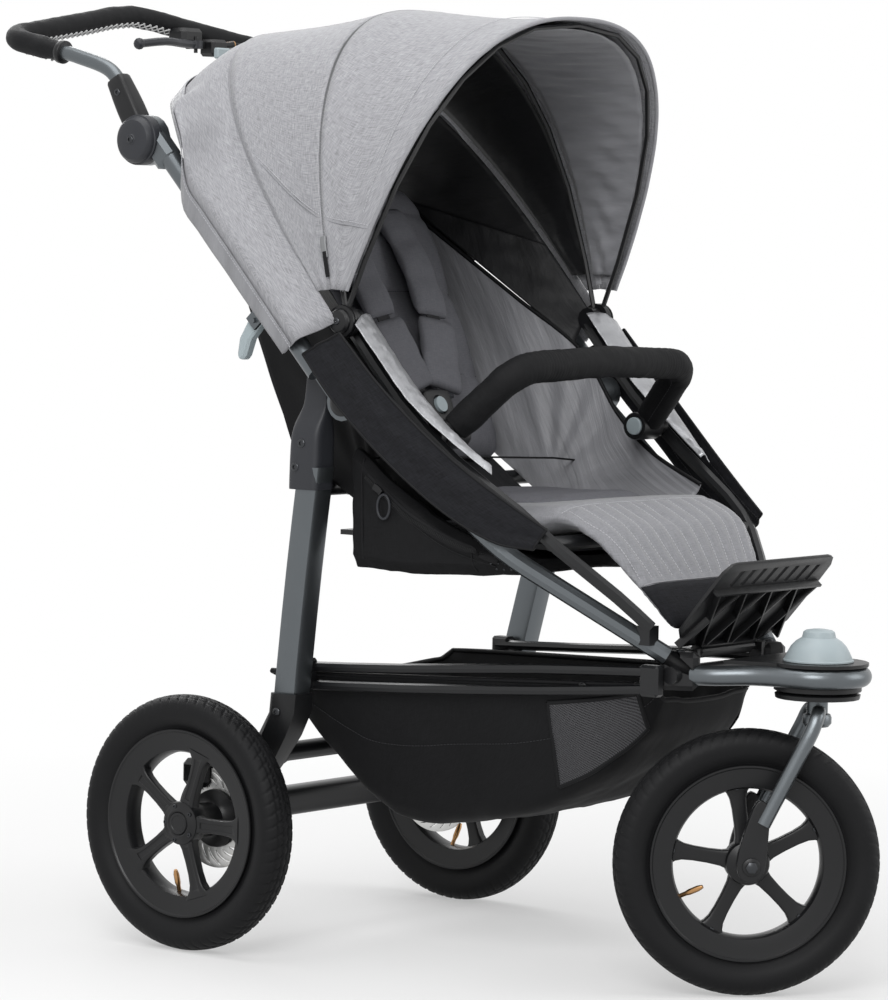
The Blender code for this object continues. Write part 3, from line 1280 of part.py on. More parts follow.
def harness():
    """Two shoulder straps with their pads and the crotch strap, meeting in the buckle's place."""
    pivot, along, normal = back_frame()
    front = 0.0060 + BACK_PAD_THICKNESS / 2 * 1.08 + 0.010

    def point(x, s, lift):
        return pivot + along * s + normal * (front + lift) + Vector((x, 0, 0))

    strands = []
    for side in SIDES.values():
        path = smooth_path(
            [
                point(side * 0.052, 0.345, -0.0047),
                point(side * 0.056, 0.270, 0.010),
                point(side * 0.048, 0.190, 0.016),
                point(side * 0.030, 0.122, 0.016),
                point(side * 0.020, 0.086, 0.014),
            ],
            2,
        )
        rings = []
        for i, place in enumerate(path):
            share = i / (len(path) - 1)
            width = 0.024 if share < 0.7 else 0.0145
            section = superellipse(width, 0.0085, 3.0, 8)
            rings.append([place + Vector((u, 0, 0)) + normal * v for u, v in section])
        strands.append(skin("strap", rings, *(("backrest", mid_cloth) if side == 1 else (None, None))))
    strands[0].name = "harness"
    buckle_place = point(0, 0.078, 0.013)
    buckle = box("buckle_shell", (0.050, 0.040, 0.018), buckle_place, None, None, 0.005, Matrix((Vector((1, 0, 0)), along, normal)).transposed())
    join(strands[0], buckle, strands[1])
    way = rod("buckle_way", buckle_place + normal * 0.002, buckle_place + normal * 0.02, 0.010 + GAP, sides=16)
    cut(strands[0], way)
    body("buckle_button", buckle_place)
    rod("buckle_button", buckle_place + normal * 0.0065, buckle_place + normal * 0.0110, 0.010, "buckle_button", light_blue, 20)


def side_wall(word, side):
    """The cloth side of the seat, from the backrest to the seat rail."""
    pivot, along, normal = back_frame()
    rail = [
        Vector((0.2180, -0.212, 0.716)),
        Vector((0.2160, -0.272, 0.640)),
        Vector((0.2040, -0.335, 0.594)),
        Vector((0.1960, -0.412, 0.560)),
    ]
    back = [pivot + along * s + normal * 0.012 + Vector((0.1905, 0, 0)) for s in (0.345, 0.240, 0.140, 0.050)]
    low = [Vector((SEAT_HALF_WIDTH + 0.001, y, z)) for y, z in ((-0.210, 0.5245), (-0.260, 0.5245), (-0.340, 0.5275), (-0.400, 0.5310))]
    rows = []
    top = [back[0], back[0].lerp(rail[0], 0.33), back[0].lerp(rail[0], 0.67), rail[0], *rail[1:]]
    bottom = [back[3], back[3].lerp(low[0], 0.5), low[0], low[0].lerp(low[1], 0.5), low[1], low[2], low[3]]
    steps = 4
    for i in range(steps + 1):
        share = i / steps
        row = []
        for a, b in zip(top, bottom):
            place = a.lerp(b, share)
            belly = 0.006 * math.sin(math.pi * share)
            row.append(Vector(((place.x + belly) * side, place.y, place.z)))
        rows.append(smooth_path(row, 2))
    sheet("side_wall_" + word, rows, 0.003, "chassis", satin_cloth, 0.0)


def rail_cover(word, side):
    """The cloth that hangs outside the seat rail, folded over it."""
    upper = [
        (0.2812, -0.232, 0.742),
        (0.2785, -0.285, 0.688),
        (0.2680, -0.345, 0.633),
        (0.2520, -0.400, 0.588),
        (0.2330, -0.450, 0.552),
        (0.2180, -0.486, 0.528),
    ]
    lower = [
        (0.2812, -0.178, 0.716),
        (0.2812, -0.225, 0.664),
        (0.2740, -0.295, 0.601),
        (0.2560, -0.365, 0.545),
        (0.2370, -0.425, 0.512),
        (0.2210, -0.470, 0.505),
    ]
    rows = []
    steps = 3
    for i in range(steps + 1):
        share = i / steps
        row = []
        for a, b in zip(upper, lower):
            place = Vector(a).lerp(Vector(b), share)
            belly = 0.0025 * math.sin(math.pi * share)
            row.append(Vector(((place.x + belly) * side, place.y, place.z)))
        rows.append(smooth_path(row, 2))
    sheet("rail_cover_" + word, rows, 0.003, "chassis", charcoal_cloth, 0.0)


def under_seat_pocket():
    """A tray of cloth under the seat whose sides rise to the rails as zipped pockets."""
    stations = (
        (-0.204, 0.216, 0.600, 0.478),
        (-0.212, 0.226, 0.606, 0.470),
        (-0.260, 0.227, 0.574, 0.466),
        (-0.320, 0.222, 0.536, 0.466),
        (-0.380, 0.206, 0.505, 0.468),
        (-0.425, 0.194, 0.490, 0.472),
        (-0.436, 0.186, 0.487, 0.476),
    )
    wall = 0.020
    rings = []
    for y, width, top, floor in stations:
        inner_floor = min(SEAT_BOARD_Z - SEAT_BOARD_THICKNESS / 2 - GAP, top - 0.002)
        half = [
            (width - wall, inner_floor),
            (width - wall, (inner_floor + top) / 2),
            (width - wall * 0.75, top - 0.001),
            (width - wall * 0.35, top),
            (width, top - 0.010),
            (width, floor + 0.014),
            (width - 0.012, floor),
        ]
        ring = [Vector((x, y, z)) for x, z in half]
        ring += [Vector((-x, y, z)) for x, z in reversed(half)]
        rings.append(ring)
    skin("under_seat_pocket", rings, "chassis", black_cloth)


def basket():
    """An open sling between the rails: a true shell, deepest behind the middle."""
    stations = (
        (-0.052, 1.00, 0.01390, 0.332, 0.322, RAIL_REAR_X - 0.041),
        (-0.100, 1.00, 0.00990, 0.334, 0.262, RAIL_REAR_X - 0.045),
        (-0.160, 0.96, 0.00908, 0.336, 0.200, RAIL_REAR_X - 0.053),
        (-0.215, 0.90, 0.01085, 0.338, 0.166, RAIL_REAR_X - 0.061),
        (-0.320, 0.70, 0.01075, 0.342, 0.176, RAIL_REAR_X - 0.071),
        (-0.420, 0.44, 0.00842, 0.346, 0.200, RAIL_REAR_X - 0.083),
        (-0.490, 0.24, 0.01032, 0.348, 0.242, RAIL_FRONT_X - 0.0245),
        (-0.540, 0.08, 0.01304, HOOP_Z - 0.0165, 0.292, RAIL_FRONT_X - 0.0365),
        (-0.556, 0.03, 0.015515, HOOP_Z - 0.0165, 0.330, RAIL_FRONT_X - 0.0425),
    )
    rows = []
    for y, share, inside, top, floor, floor_x in stations:
        top_x = rail_x(share) - inside
        depth = top - floor
        half = [
            (top_x, top),
            (top_x - (top_x - floor_x) * 0.35, top - depth * 0.40),
            (top_x - (top_x - floor_x) * 0.75, top - depth * 0.80),
            (floor_x, floor + depth * 0.06),
            (floor_x - 0.020, floor),
            (floor_x * 0.45, floor - 0.003),
        ]
        full = [*half, (0.0, floor - 0.004), *[(-x, z) for x, z in reversed(half)]]
        rows.append([Vector((x, y, z)) for x, z in full])
    sheet("basket", rows, 0.004, "chassis", black_cloth, -1.0)


def bumper_bar():
    """The padded bar over the child's lap, with a button housing at each end."""
    end, corner = Vector(BAR_END), Vector(BAR_CORNER)
    front = Vector((0.0, corner.y - 0.006, corner.z + 0.006))
    start = end + (corner - end).normalized() * 0.010
    half = rounded_path([start, corner, front], [0.042], 5)
    made = tube("bumper_bar", mirrored(half), BAR_RADIUS, "bumper_bar", black_cloth, 3)
    for side in SIDES.values():
        housing = rod("bar_housing", on_side(BAR_END[0] + 0.0190, BAR_END[1:], side), on_side(BAR_END[0] - 0.0230, BAR_END[1:], side), 0.0170, sides=18)
        join(made, housing)
    for side in SIDES.values():
        way = rod("button_seat", on_side(BAR_END[0] - 0.0150, BAR_END[1:], side), on_side(BAR_END[0] - 0.04, BAR_END[1:], side), 0.0110 + GAP, sides=16)
        cut(made, way)


def bumper_button(word, side):
    rod(
        "bumper_button_" + word,
        on_side(BAR_END[0] - 0.0250, BAR_END[1:], side),
        on_side(BAR_END[0] - 0.0190, BAR_END[1:], side),
        0.0110,
        "bumper_button_" + word,
        light_blue,
        20,
    )


clear_scene()
parts = collection("sport_stroller")
helpers = collection("cutters")
stroller_origin = bpy.data.objects.new("stroller_origin", None)
parts.objects.link(stroller_origin)
stroller_origin.location = (0, REAR_AXLE_Y, 0)

rubber = material("rubber", (0.030, 0.031, 0.034), 0.75)
black_plastic = material("black_plastic", (0.025, 0.026, 0.028), 0.45)
dark_plastic = material("dark_plastic", (0.075, 0.078, 0.086), 0.5)
black_metal = material("black_metal", (0.022, 0.023, 0.025), 0.35, 0.6)
grey_metal = material("grey_metal", (0.13, 0.15, 0.17), 0.32, 0.85)
steel = material("steel", (0.62, 0.62, 0.60), 0.3, 1.0)
light_blue = material("light_blue", (0.36, 0.43, 0.47), 0.45)
foam = material("foam", (0.035, 0.035, 0.038), 0.8)
light_cloth = material("light_cloth", (0.36, 0.36, 0.38), 0.9)
satin_cloth = material("satin_cloth", (0.32, 0.32, 0.33), 0.6)
mid_cloth = material("mid_cloth", (0.20, 0.20, 0.22), 0.9)
charcoal_cloth = material("charcoal_cloth", (0.055, 0.056, 0.065), 0.9)
black_cloth = material("black_cloth", (0.018, 0.018, 0.020), 0.9)

swivel_frame = Matrix.Translation((0, SWIVEL_Y, 0)) @ Matrix.Rotation(math.radians(SWIVEL_REST_DEG), 4, "Z")
body("chassis")
body("swivel_knob", (0, SWIVEL_Y, HOOP_Z))
body("fork", (0, SWIVEL_Y, HOOP_Z))
body("front_wheel", swivel_frame @ Vector((0, TRAIL, WHEEL_RADIUS)))
body("footrest", (0, *FOOT_HINGE))
body("pusher", (0, *HUB[1:]))
body("handle", (0, *HINGE))
body("brake_lever", BRAKE_PIVOT)
body("parking_latch", LATCH_PIVOT)
body("canopy_mid", (0, *CANOPY_PIVOT))
body("canopy_front", (0, *CANOPY_PIVOT))
body("backrest", (0, *SEAT_CROSS))
body("bumper_bar", (0, *BAR_END[1:]))

front_hoop()
swivel_housing()
swivel_knob()
front_bracket()
footrest()
fork(swivel_frame)
front_wheel(swivel_frame)
axle_beam()
axle_crossbar()
seat_frame()
seat_cushion()
under_seat_pocket()
basket()
backrest()
harness()
handle()
brake_group()
canopy()
bumper_bar()
for side_word, side_sign in SIDES.items():
    body("rear_wheel_" + side_word, (side_sign * TRACK / 2, 0, WHEEL_RADIUS))
    body("fold_lever_" + side_word, on_side(PUSHER_X, LEVER_PIVOT, side_sign))
    body("hinge_button_" + side_word, on_side(PUSHER_X, HINGE, side_sign))
    body("bumper_button_" + side_word, side_point(BAR_END, side_sign))
    rear_wheel(side_word, side_sign)
    front_tube(side_word, side_sign)
    leg_bracket(side_word, side_sign)
    rear_leg(side_word, side_sign)
    axle_bracket(side_word, side_sign)
    basket_rail(side_word, side_sign)
    pusher_tube(side_word, side_sign)
    fold_lever(side_word, side_sign)
    hinge_button(side_word, side_sign)
    side_wall(side_word, side_sign)
    rail_cover(side_word, side_sign)
    bumper_button(side_word, side_sign)
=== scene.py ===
"""Looks of a three-wheeled sport stroller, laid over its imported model.

Points are written from the middle of the rear axle's track on the ground,
with the child facing -Y and +X on the child's left. The function spot turns
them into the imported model's own frame.
"""

import json
import math

import bmesh
import bpy
from mathutils import Matrix, Vector, noise
from mathutils.bvhtree import BVHTree
from mathutils.kdtree import KDTree

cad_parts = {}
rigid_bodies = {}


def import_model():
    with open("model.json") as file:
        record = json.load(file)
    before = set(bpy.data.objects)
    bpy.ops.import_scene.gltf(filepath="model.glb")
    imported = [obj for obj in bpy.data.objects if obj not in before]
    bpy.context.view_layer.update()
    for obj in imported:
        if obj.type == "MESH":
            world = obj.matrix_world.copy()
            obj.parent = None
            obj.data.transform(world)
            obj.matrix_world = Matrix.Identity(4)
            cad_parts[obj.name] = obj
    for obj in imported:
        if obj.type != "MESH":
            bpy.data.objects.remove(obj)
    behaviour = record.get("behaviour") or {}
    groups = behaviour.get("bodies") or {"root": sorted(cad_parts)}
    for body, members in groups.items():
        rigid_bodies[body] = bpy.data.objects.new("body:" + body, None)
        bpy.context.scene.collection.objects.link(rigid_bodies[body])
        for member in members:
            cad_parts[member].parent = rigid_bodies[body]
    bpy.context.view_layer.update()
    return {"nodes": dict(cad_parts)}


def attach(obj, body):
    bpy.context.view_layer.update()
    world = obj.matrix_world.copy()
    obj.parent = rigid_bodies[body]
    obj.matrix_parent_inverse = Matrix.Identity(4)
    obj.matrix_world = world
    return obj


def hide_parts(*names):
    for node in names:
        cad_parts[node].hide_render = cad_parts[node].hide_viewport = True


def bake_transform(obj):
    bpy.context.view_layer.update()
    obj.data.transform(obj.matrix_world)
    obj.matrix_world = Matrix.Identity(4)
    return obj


for item in list(bpy.data.objects):
    bpy.data.objects.remove(item, do_unlink=True)
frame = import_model()

bl_info = {
    "name": "Sport stroller",
    "version": (1, 0, 0),
    "blender": (4, 5, 0),
    "location": "View3D > Sidebar > Stroller",
    "description": "Builds the cloth, wheels, frame and fittings of a three-wheeled stroller",
    "category": "Add Mesh",
}

AXLE_Y = 0.2066
SIDES = {"left": 1, "right": -1}


def spot(x, y, z):
    return Vector((x, y + AXLE_Y, z))


# Shader maths


class Flow:
    """A shader socket that takes arithmetic: each operator adds its Math node."""

    def __init__(self, finish, socket):
        self.finish = finish
        self.socket = socket

    def _math(self, operation, first, second):
        return self.finish.node("ShaderNodeMath", {0: first, 1: second}, operation=operation)

    def __add__(self, other):
        return self._math("ADD", self, other)

    def __radd__(self, other):
        return self._math("ADD", other, self)

    def __sub__(self, other):
        return self._math("SUBTRACT", self, other)

    def __mul__(self, other):
        return self._math("MULTIPLY", self, other)

    def __gt__(self, other):
        return self._math("GREATER_THAN", self, other)

    def size(self):
        return self._math("ABSOLUTE", self, 0.0)

    def fraction(self):
        return self._math("FRACT", self, 0.0)


class Finish:
    """A material round one Principled shader, built from a few calls."""

    def __init__(self, name, colour, roughness, metallic=0.0, **plain):
        self.material = bpy.data.materials.new(name)
        self.material.use_nodes = True
        self.material.diffuse_color = (*colour, 1)
        self.tree = self.material.node_tree
        self.shader = self.tree.nodes["Principled BSDF"]
        self.colour = colour
        self.set("Base Color", (*colour, 1))
        self.set("Roughness", roughness)
        self.set("Metallic", metallic)
        for socket, value in plain.items():
            self.set(socket.replace("_", " ").title().replace("Ior", "IOR"), value)

    def feed(self, socket, value):
        if isinstance(value, Flow):
            self.tree.links.new(value.socket, socket)
        else:
            socket.default_value = value

    def node(self, kind, inputs=None, out=0, **settings):
        made = self.tree.nodes.new(kind)
        for key, value in settings.items():
            if key == "stops":
                ramp = made.color_ramp
                while len(ramp.elements) < len(value):
                    ramp.elements.new(0.5)
                for element, (place, shade) in zip(ramp.elements, value):
                    element.position = place
                    element.color = shade if len(shade) == 4 else (*shade, 1)
            else:
                setattr(made, key, value)
        for key, value in (inputs or {}).items():
            self.feed(made.inputs[key], value)
        return Flow(self, made.outputs[out])

    def set(self, name, value):
        self.feed(self.shader.inputs[name], value)

    def place(self, kind="Object", scale=(1, 1, 1), turn=(0, 0, 0)):
        found = self.node("ShaderNodeTexCoord", out=kind)
        return self.node("ShaderNodeMapping", {"Vector": found, "Scale": scale, "Rotation": turn})

    def noise(self, place, scale, detail=3.0, rough=0.5):
        inputs = {"Vector": place, "Scale": scale, "Detail": detail, "Roughness": rough}
        return self.node("ShaderNodeTexNoise", inputs)

    def ramp(self, value, *stops):
        grey = [(place, (shade,) * 3 if isinstance(shade, float) else shade) for place, shade in stops]
        return self.node("ShaderNodeValToRGB", {"Fac": value}, stops=grey)

    def mix(self, first, second, share):
        first = first if isinstance(first, Flow) else (*first, 1)
        second = second if isinstance(second, Flow) else (*second, 1)
        return self.node("ShaderNodeMix", {0: share, 6: first, 7: second}, out=2, data_type="RGBA")

    def bump(self, height, strength, distance):
        inputs = {"Height": height, "Strength": strength, "Distance": distance}
        self.set("Normal", self.node("ShaderNodeBump", inputs))


def shade(colour, factor):
    return tuple(min(1.0, c * factor) for c in colour)


def woven(name, colour, contrast, roughness, slub=1.0, bump=0.35, gloss=0.18, **plain):
    """Cloth with slubs along both threads, read from the piece's own UV map in metres."""
    made = Finish(name, colour, roughness, specular_ior_level=gloss, **plain)
    warp = made.noise(made.place("UV", (75 * slub, 900 * slub, 1)), 1.0, 2.0, 0.6)
    weft = made.noise(made.place("UV", (900 * slub, 75 * slub, 1)), 1.0, 2.0, 0.6)
    cloud = made.noise(made.place("Object"), 9.0, 2.0)
    threads = warp * 0.5 + weft * 0.5
    share = made.ramp(threads, (0.36, 0.0), (0.64, 1.0))
    base = made.mix(shade(colour, 1 - contrast), shade(colour, 1 + contrast), share)
    made.set("Base Color", made.mix(shade(colour, 0.86), base, 0.72 + cloud * 0.4))
    made.set("Roughness", roughness - 0.06 + threads * 0.12)
    made.bump(threads + cloud * 0.4, bump, 0.0008)
    return made.material


def satin(name, colour, roughness, **plain):
    """Smooth cloth with painted sheen and shade: its colour is painted lighter and darker along its creases."""
    made = Finish(name, colour, roughness, specular_ior_level=0.35, **plain)
    place = made.place("UV")
    crease = made.noise(made.place("UV", (9, 34, 1)), 1.0, 4.0, 0.55)
    weave = made.noise(made.place("UV", (1300, 1300, 1)), 1.0, 1.0)
    fold = made.noise(place, 14.0, 3.0, 0.6)
    # Painted sheen and shade: the base colour goes lighter and darker with the crease noise that also gives the bump.
    made.set(
        "Base Color", made.mix(shade(colour, 0.82), shade(colour, 1.16), made.ramp(crease, (0.3, 0.0), (0.7, 1.0)))
    )
    made.set("Roughness", roughness - 0.08 + fold * 0.16)
    made.bump(crease * 1.4 + fold * 0.8 + weave * 0.08, 0.5, 0.004)
    return made.material


def moulded(name, colour, roughness, grain=900.0, wear=0.25, **plain):
    """Plastic with a fine spark grain and slightly paler, smoother rubbed places."""
    made = Finish(name, colour, roughness, specular_ior_level=0.32, **plain)
    place = made.place("Object")
    spark = made.noise(place, grain, 2.0)
    cloud = made.noise(place, 22.0, 4.0)
    rub = made.ramp(cloud, (0.52, 0.0), (0.72, 1.0))
    made.set("Base Color", made.mix(colour, shade(colour, 1.0 + 1.6 * wear), rub * 0.6))
    made.set("Roughness", roughness + spark * 0.08 - rub * 0.05)
    made.bump(spark, 0.12, 0.0003)
    return made.material


def metal(name, colour, roughness, metallic=0.9, grain=(12, 1600, 1), **plain):
    """Metal with fine lines along its length, read from the piece's UV map."""
    made = Finish(name, colour, roughness, metallic, **plain)
    lines = made.noise(made.place("UV", grain), 1.0, 3.0, 0.6)
    cloud = made.noise(made.place("Object"), 18.0, 3.0)
    made.set("Base Color", made.mix(shade(colour, 0.88), shade(colour, 1.12), lines * 0.5 + cloud * 0.5))
    made.set("Roughness", roughness - 0.07 + lines * 0.09 + cloud * 0.06)
    made.bump(lines, 0.08, 0.0002)
    return made.material


def rubbery(name, colour, roughness):
    made = Finish(name, colour, roughness, specular_ior_level=0.16)
    place = made.place("Object")
    grit = made.noise(place, 700.0, 3.0)
    dust = made.ramp(made.noise(place, 16.0, 5.0), (0.48, 0.0), (0.75, 1.0))
    made.set("Base Color", made.mix(colour, shade(colour, 2.1), dust * 0.35 + grit * 0.1))
    made.set("Roughness", roughness - 0.1 + grit * 0.12 + dust * 0.1)
    made.bump(grit, 0.2, 0.0004)
    return made.material


def netting(name, colour):
    """Open mesh cloth: threads on a fine diamond grid, with air between them."""
    made = Finish(name, colour, 0.7)
    uv = made.node("ShaderNodeTexCoord", out="UV")
    split = tree_node(made.tree, "ShaderNodeSeparateXYZ", {0: uv.socket})
    meshes_per_metre, half_thread = 330.0, 0.30
    u, v = (Flow(made, split.outputs[axis]) * meshes_per_metre for axis in (0, 1))
    first = ((u + v).fraction() - 0.5).size() > half_thread
    second = ((u - v).fraction() - 0.5).size() > half_thread
    thread = made.node("ShaderNodeMath", {0: first, 1: second}, operation="MAXIMUM")
    made.set("Alpha", 0.35 + thread * 0.65)
    made.set("Base Color", made.mix(shade(colour, 0.6), shade(colour, 1.5), thread))
    return made.material


# Mesh making

WELD_DISTANCE = 0.00002
EASED_DEG = 40


def smooth_line(points, steps=4):
    """Points along a smooth curve through the given ones."""
    points = [Vector(point) for point in points]
    ends = [points[0] * 2 - points[1], *points, points[-1] * 2 - points[-2]]
    made = []
    for a, b, c, d in zip(ends, ends[1:], ends[2:], ends[3:]):
        for step in range(steps):
            t = step / steps
            square, cube = (2 * a - 5 * b + 4 * c - d) * t**2, (3 * b - a - 3 * c + d) * t**3
            made.append(0.5 * (2 * b + (c - a) * t + square + cube))
    return [*made, points[-1]]


def length_of(line):
    return sum((b - a).length for a, b in zip(line, line[1:]))


def rounded_line(points, radii, steps=10):
    """The points with each inner corner replaced by an arc of its radius."""
    points = [Vector(point) for point in points]
    made = [points[0]]
    for before, corner, after, radius in zip(points, points[1:], points[2:], radii):
        back = (before - corner).normalized()
        ahead = (after - corner).normalized()
        half = back.angle(ahead) / 2
        reach = radius / math.tan(half)
        centre = corner + (back + ahead).normalized() * radius / math.sin(half)
        first = corner + back * reach - centre
        last = corner + ahead * reach - centre
        for step in range(steps + 1):
            made.append(centre + first.slerp(last, step / steps).normalized() * radius)
    made.append(points[-1])
    return made


def both_ways(half):
    """A half line from the +X side to the middle, and back on the other side."""
    return [*half, *[Vector((-p.x, p.y, p.z)) for p in reversed(half[:-1])]]


def even_line(path, count):
    """The same line as count + 1 points at even distances."""
    lengths = [0.0]
    for a, b in zip(path, path[1:]):
        lengths.append(lengths[-1] + (b - a).length)
    made, k = [], 0
    for i in range(count + 1):
        target = lengths[-1] * i / count
        while k < len(path) - 2 and lengths[k + 1] < target:
            k += 1
        span = lengths[k + 1] - lengths[k]
        made.append(path[k].lerp(path[k + 1], (target - lengths[k]) / span if span else 0.0))
    return made


def soft_box(half_width, half_height, power, count):
    """Points round a soft rectangle."""
    made = []
    for i in range(count):
        angle = 2 * math.pi * (i + 0.5) / count
        c, s = math.cos(angle), math.sin(angle)
        x = half_width * math.copysign(abs(c) ** (2 / power), c)
        made.append((x, half_height * math.copysign(abs(s) ** (2 / power), s)))
    return made


def ring_of(radius, count):
    angles = [2 * math.pi * i / count for i in range(count)]
    return [(radius * math.cos(angle), radius * math.sin(angle)) for angle in angles]


def grown(name, bm, finish, sharp=40):
    """The bmesh as a finished object, with its edges sharp past an angle."""
    mesh = bpy.data.meshes.new(name)
    bm.to_mesh(mesh)
    bm.free()
    mesh.shade_smooth()
    mesh.set_sharp_from_angle(angle=math.radians(sharp))
    obj = bpy.data.objects.new(name, mesh)
    bpy.context.scene.collection.objects.link(obj)
    if finish:
        mesh.materials.append(finish)
    return obj


def grid(name, rows, finish, ring=False, ends=False, loop=False, sharp=40):
    """A surface through rows of points, with a UV map in metres. ring closes each row, loop closes the rows."""
    bm = bmesh.new()
    uv = bm.loops.layers.uv.new("UVMap")
    made = [[bm.verts.new(point) for point in row] for row in rows]
    count = len(rows[0])
    along = [[0] * (count + 1)]
    for lower, upper in zip(rows, [*rows[1:], rows[0]]):
        pairs = zip(along[-1], [*lower, lower[0]], [*upper, upper[0]])
        along.append([before + (Vector(q) - Vector(p)).length for before, p, q in pairs])
    across = []
    for row in rows:
        places = [0]
        for p, q in zip(row, [*row[1:], row[0]]):
            places.append(places[-1] + (Vector(q) - Vector(p)).length)
        across.append(places)
    across.append(across[0])
    span = len(rows) if loop else len(rows) - 1
    for i in range(span):
        lower, upper = made[i], made[(i + 1) % len(rows)]
        for j in range(count if ring else count - 1):
            k = (j + 1) % count
            face = bm.faces.new((lower[j], lower[k], upper[k], upper[j]))
            corners = ((i, j), (i, j + 1), (i + 1, j + 1), (i + 1, j))
            for loop_, (a, b) in zip(face.loops, corners):
                loop_[uv].uv = (along[a][b], across[a][b])
    if ends:
        for row, flip in ((made[0], False), (made[-1], True)):
            bm.faces.new(list(reversed(row)) if flip else row)
    if ring or loop or ends:
        turned_out(bm)
    return grown(name, bm, finish, sharp)


def carried(path, up=None):
    """The path's points, each with two directions across it that don't twist."""
    made = []
    across = None
    for i, point in enumerate(path):
        ahead = (path[min(i + 1, len(path) - 1)] - path[max(i - 1, 0)]).normalized()
        if across is None:
            start = Vector(up) if up else ahead.orthogonal()
            across = (start - ahead * start.dot(ahead)).normalized()
        else:
            across = (across - ahead * across.dot(ahead)).normalized()
        made.append((point, across, ahead.cross(across)))
    return made


def sweep(name, path, section, finish, grow=None, up=None, ends=True, sharp=40):
    """A section of (across, beside) points carried along a path; grow gives its size at each share."""
    rows = []
    last = len(path) - 1
    for i, (point, first, second) in enumerate(carried(path, up)):
        size = grow(i / last) if grow else 1.0
        a, b = size if isinstance(size, tuple) else (size, size)
        rows.append([point + first * (u * a) + second * (v * b) for u, v in section])
    return grid(name, rows, finish, ring=True, ends=ends, sharp=sharp)


def rod(name, start, end, radius, finish, sides=24, rim=0.0008):
    """A short round piece with eased edges."""
    start, end = Vector(start), Vector(end)
    length = (end - start).length
    stops = [(0.0, radius - rim), (rim, radius), (length - rim, radius), (length, radius - rim)]
    turn = (end - start).normalized().to_track_quat("Z", "Y").to_matrix()
    rows = [[start + turn @ Vector((x * r, y * r, s)) for x, y in ring_of(1.0, sides)] for s, r in stops]
    return grid(name, rows, finish, ring=True, ends=True, sharp=50)


def lathe(name, profile, matrix, finish, steps=96, closed=False, sharp=40):
    """A profile of (radius, height) points turned about the matrix's own Z axis."""
    rows = [[matrix @ Vector((r * x, r * y, h)) for x, y in ring_of(1.0, steps)] for r, h in profile]
    return grid(name, rows, finish, ring=True, ends=not closed, loop=closed, sharp=sharp)


def plate(name, outlines, thickness, matrix, finish, ease=0.0):
    """A flat plate from closed outlines, the first outside and the rest holes in it."""
    data = bpy.data.curves.new(name, "CURVE")
    data.dimensions = "2D"
    data.fill_mode = "BOTH"
    data.extrude = thickness / 2 - ease
    data.bevel_depth = ease
    data.offset = -ease
    for outline in outlines:
        spline = data.splines.new("POLY")
        spline.points.add(len(outline) - 1)
        spline.use_cyclic_u = True
        for point, (x, y) in zip(spline.points, outline):
            point.co = (x, y, 0, 1)
    curve = bpy.data.objects.new(name + "_outline", data)
    bpy.context.scene.collection.objects.link(curve)
    mesh = plain_mesh(curve)
    bm = bmesh.new()
    bm.from_mesh(mesh)
    bmesh.ops.remove_doubles(bm, verts=bm.verts, dist=1e-6)
    bmesh.ops.recalc_face_normals(bm, faces=bm.faces)
    uv = bm.loops.layers.uv.verify()
    for face in bm.faces:
        for corner in face.loops:
            corner[uv].uv = corner.vert.co.xy
    bm.transform(matrix)
    bpy.data.objects.remove(curve, do_unlink=True)
    return grown(name, bm, finish, 35)


def plain_mesh(obj):
    """What the object's modifiers make, as a mesh."""
    bpy.context.view_layer.update()
    graph = bpy.context.evaluated_depsgraph_get()
    return bpy.data.meshes.new_from_object(obj.evaluated_get(graph), depsgraph=graph)


def settled(obj):
    """The object with its modifiers applied."""
    mesh = plain_mesh(obj)
    obj.modifiers.clear()
    obj.data = mesh
    return obj


def joined(name, pieces):
    """Several objects as one piece."""
    first = pieces[0]
    if len(pieces) > 1:
        chosen = {"active_object": first, "object": first}
        chosen |= {"selected_editable_objects": pieces, "selected_objects": pieces}
        with bpy.context.temp_override(**chosen):
            bpy.ops.object.join()
    first.name = name
    first.data.name = name
    return first


def eased(obj, width):
    """Rounds the edges that are sharper than EASED_DEG."""
    made = obj.modifiers.new("eased_edges", "BEVEL")
    made.width = width
    made.segments = 2
    made.limit_method = "ANGLE"
    made.angle_limit = math.radians(EASED_DEG)
    made.harden_normals = True


def thick(obj, thickness, offset=-1.0):
    made = obj.modifiers.new("cloth_thickness", "SOLIDIFY")
    made.thickness = thickness
    made.offset = offset


def turned_out(bm):
    """The closed mesh's faces turned outwards."""
    bmesh.ops.recalc_face_normals(bm, faces=bm.faces)
    if bm.calc_volume(signed=True) < 0:
        bmesh.ops.reverse_faces(bm, faces=bm.faces)


def faced_out(obj):
    """The same object with its faces outwards."""
    bm = bmesh.new()
    bm.from_mesh(obj.data)
    turned_out(bm)
    bm.to_mesh(obj.data)
    bm.free()
    obj.data.shade_smooth()
    return obj


def cut_by(obj, *cutters):
    for cutter in cutters:
        made = obj.modifiers.new("opening", "BOOLEAN")
        made.operation = "DIFFERENCE"
        made.object = cutter
    settled(obj)
    for cutter in cutters:
        bpy.data.objects.remove(cutter, do_unlink=True)
    return obj


def copy_of_node(name, node, finish):
    """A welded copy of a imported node's mesh, to be dressed further."""
    bm = bmesh.new()
    bm.from_mesh(frame["nodes"][node].data)
    bmesh.ops.remove_doubles(bm, verts=bm.verts, dist=WELD_DISTANCE)
    return grown(name, bm, finish, 35)


# Repeats, made by Geometry Nodes


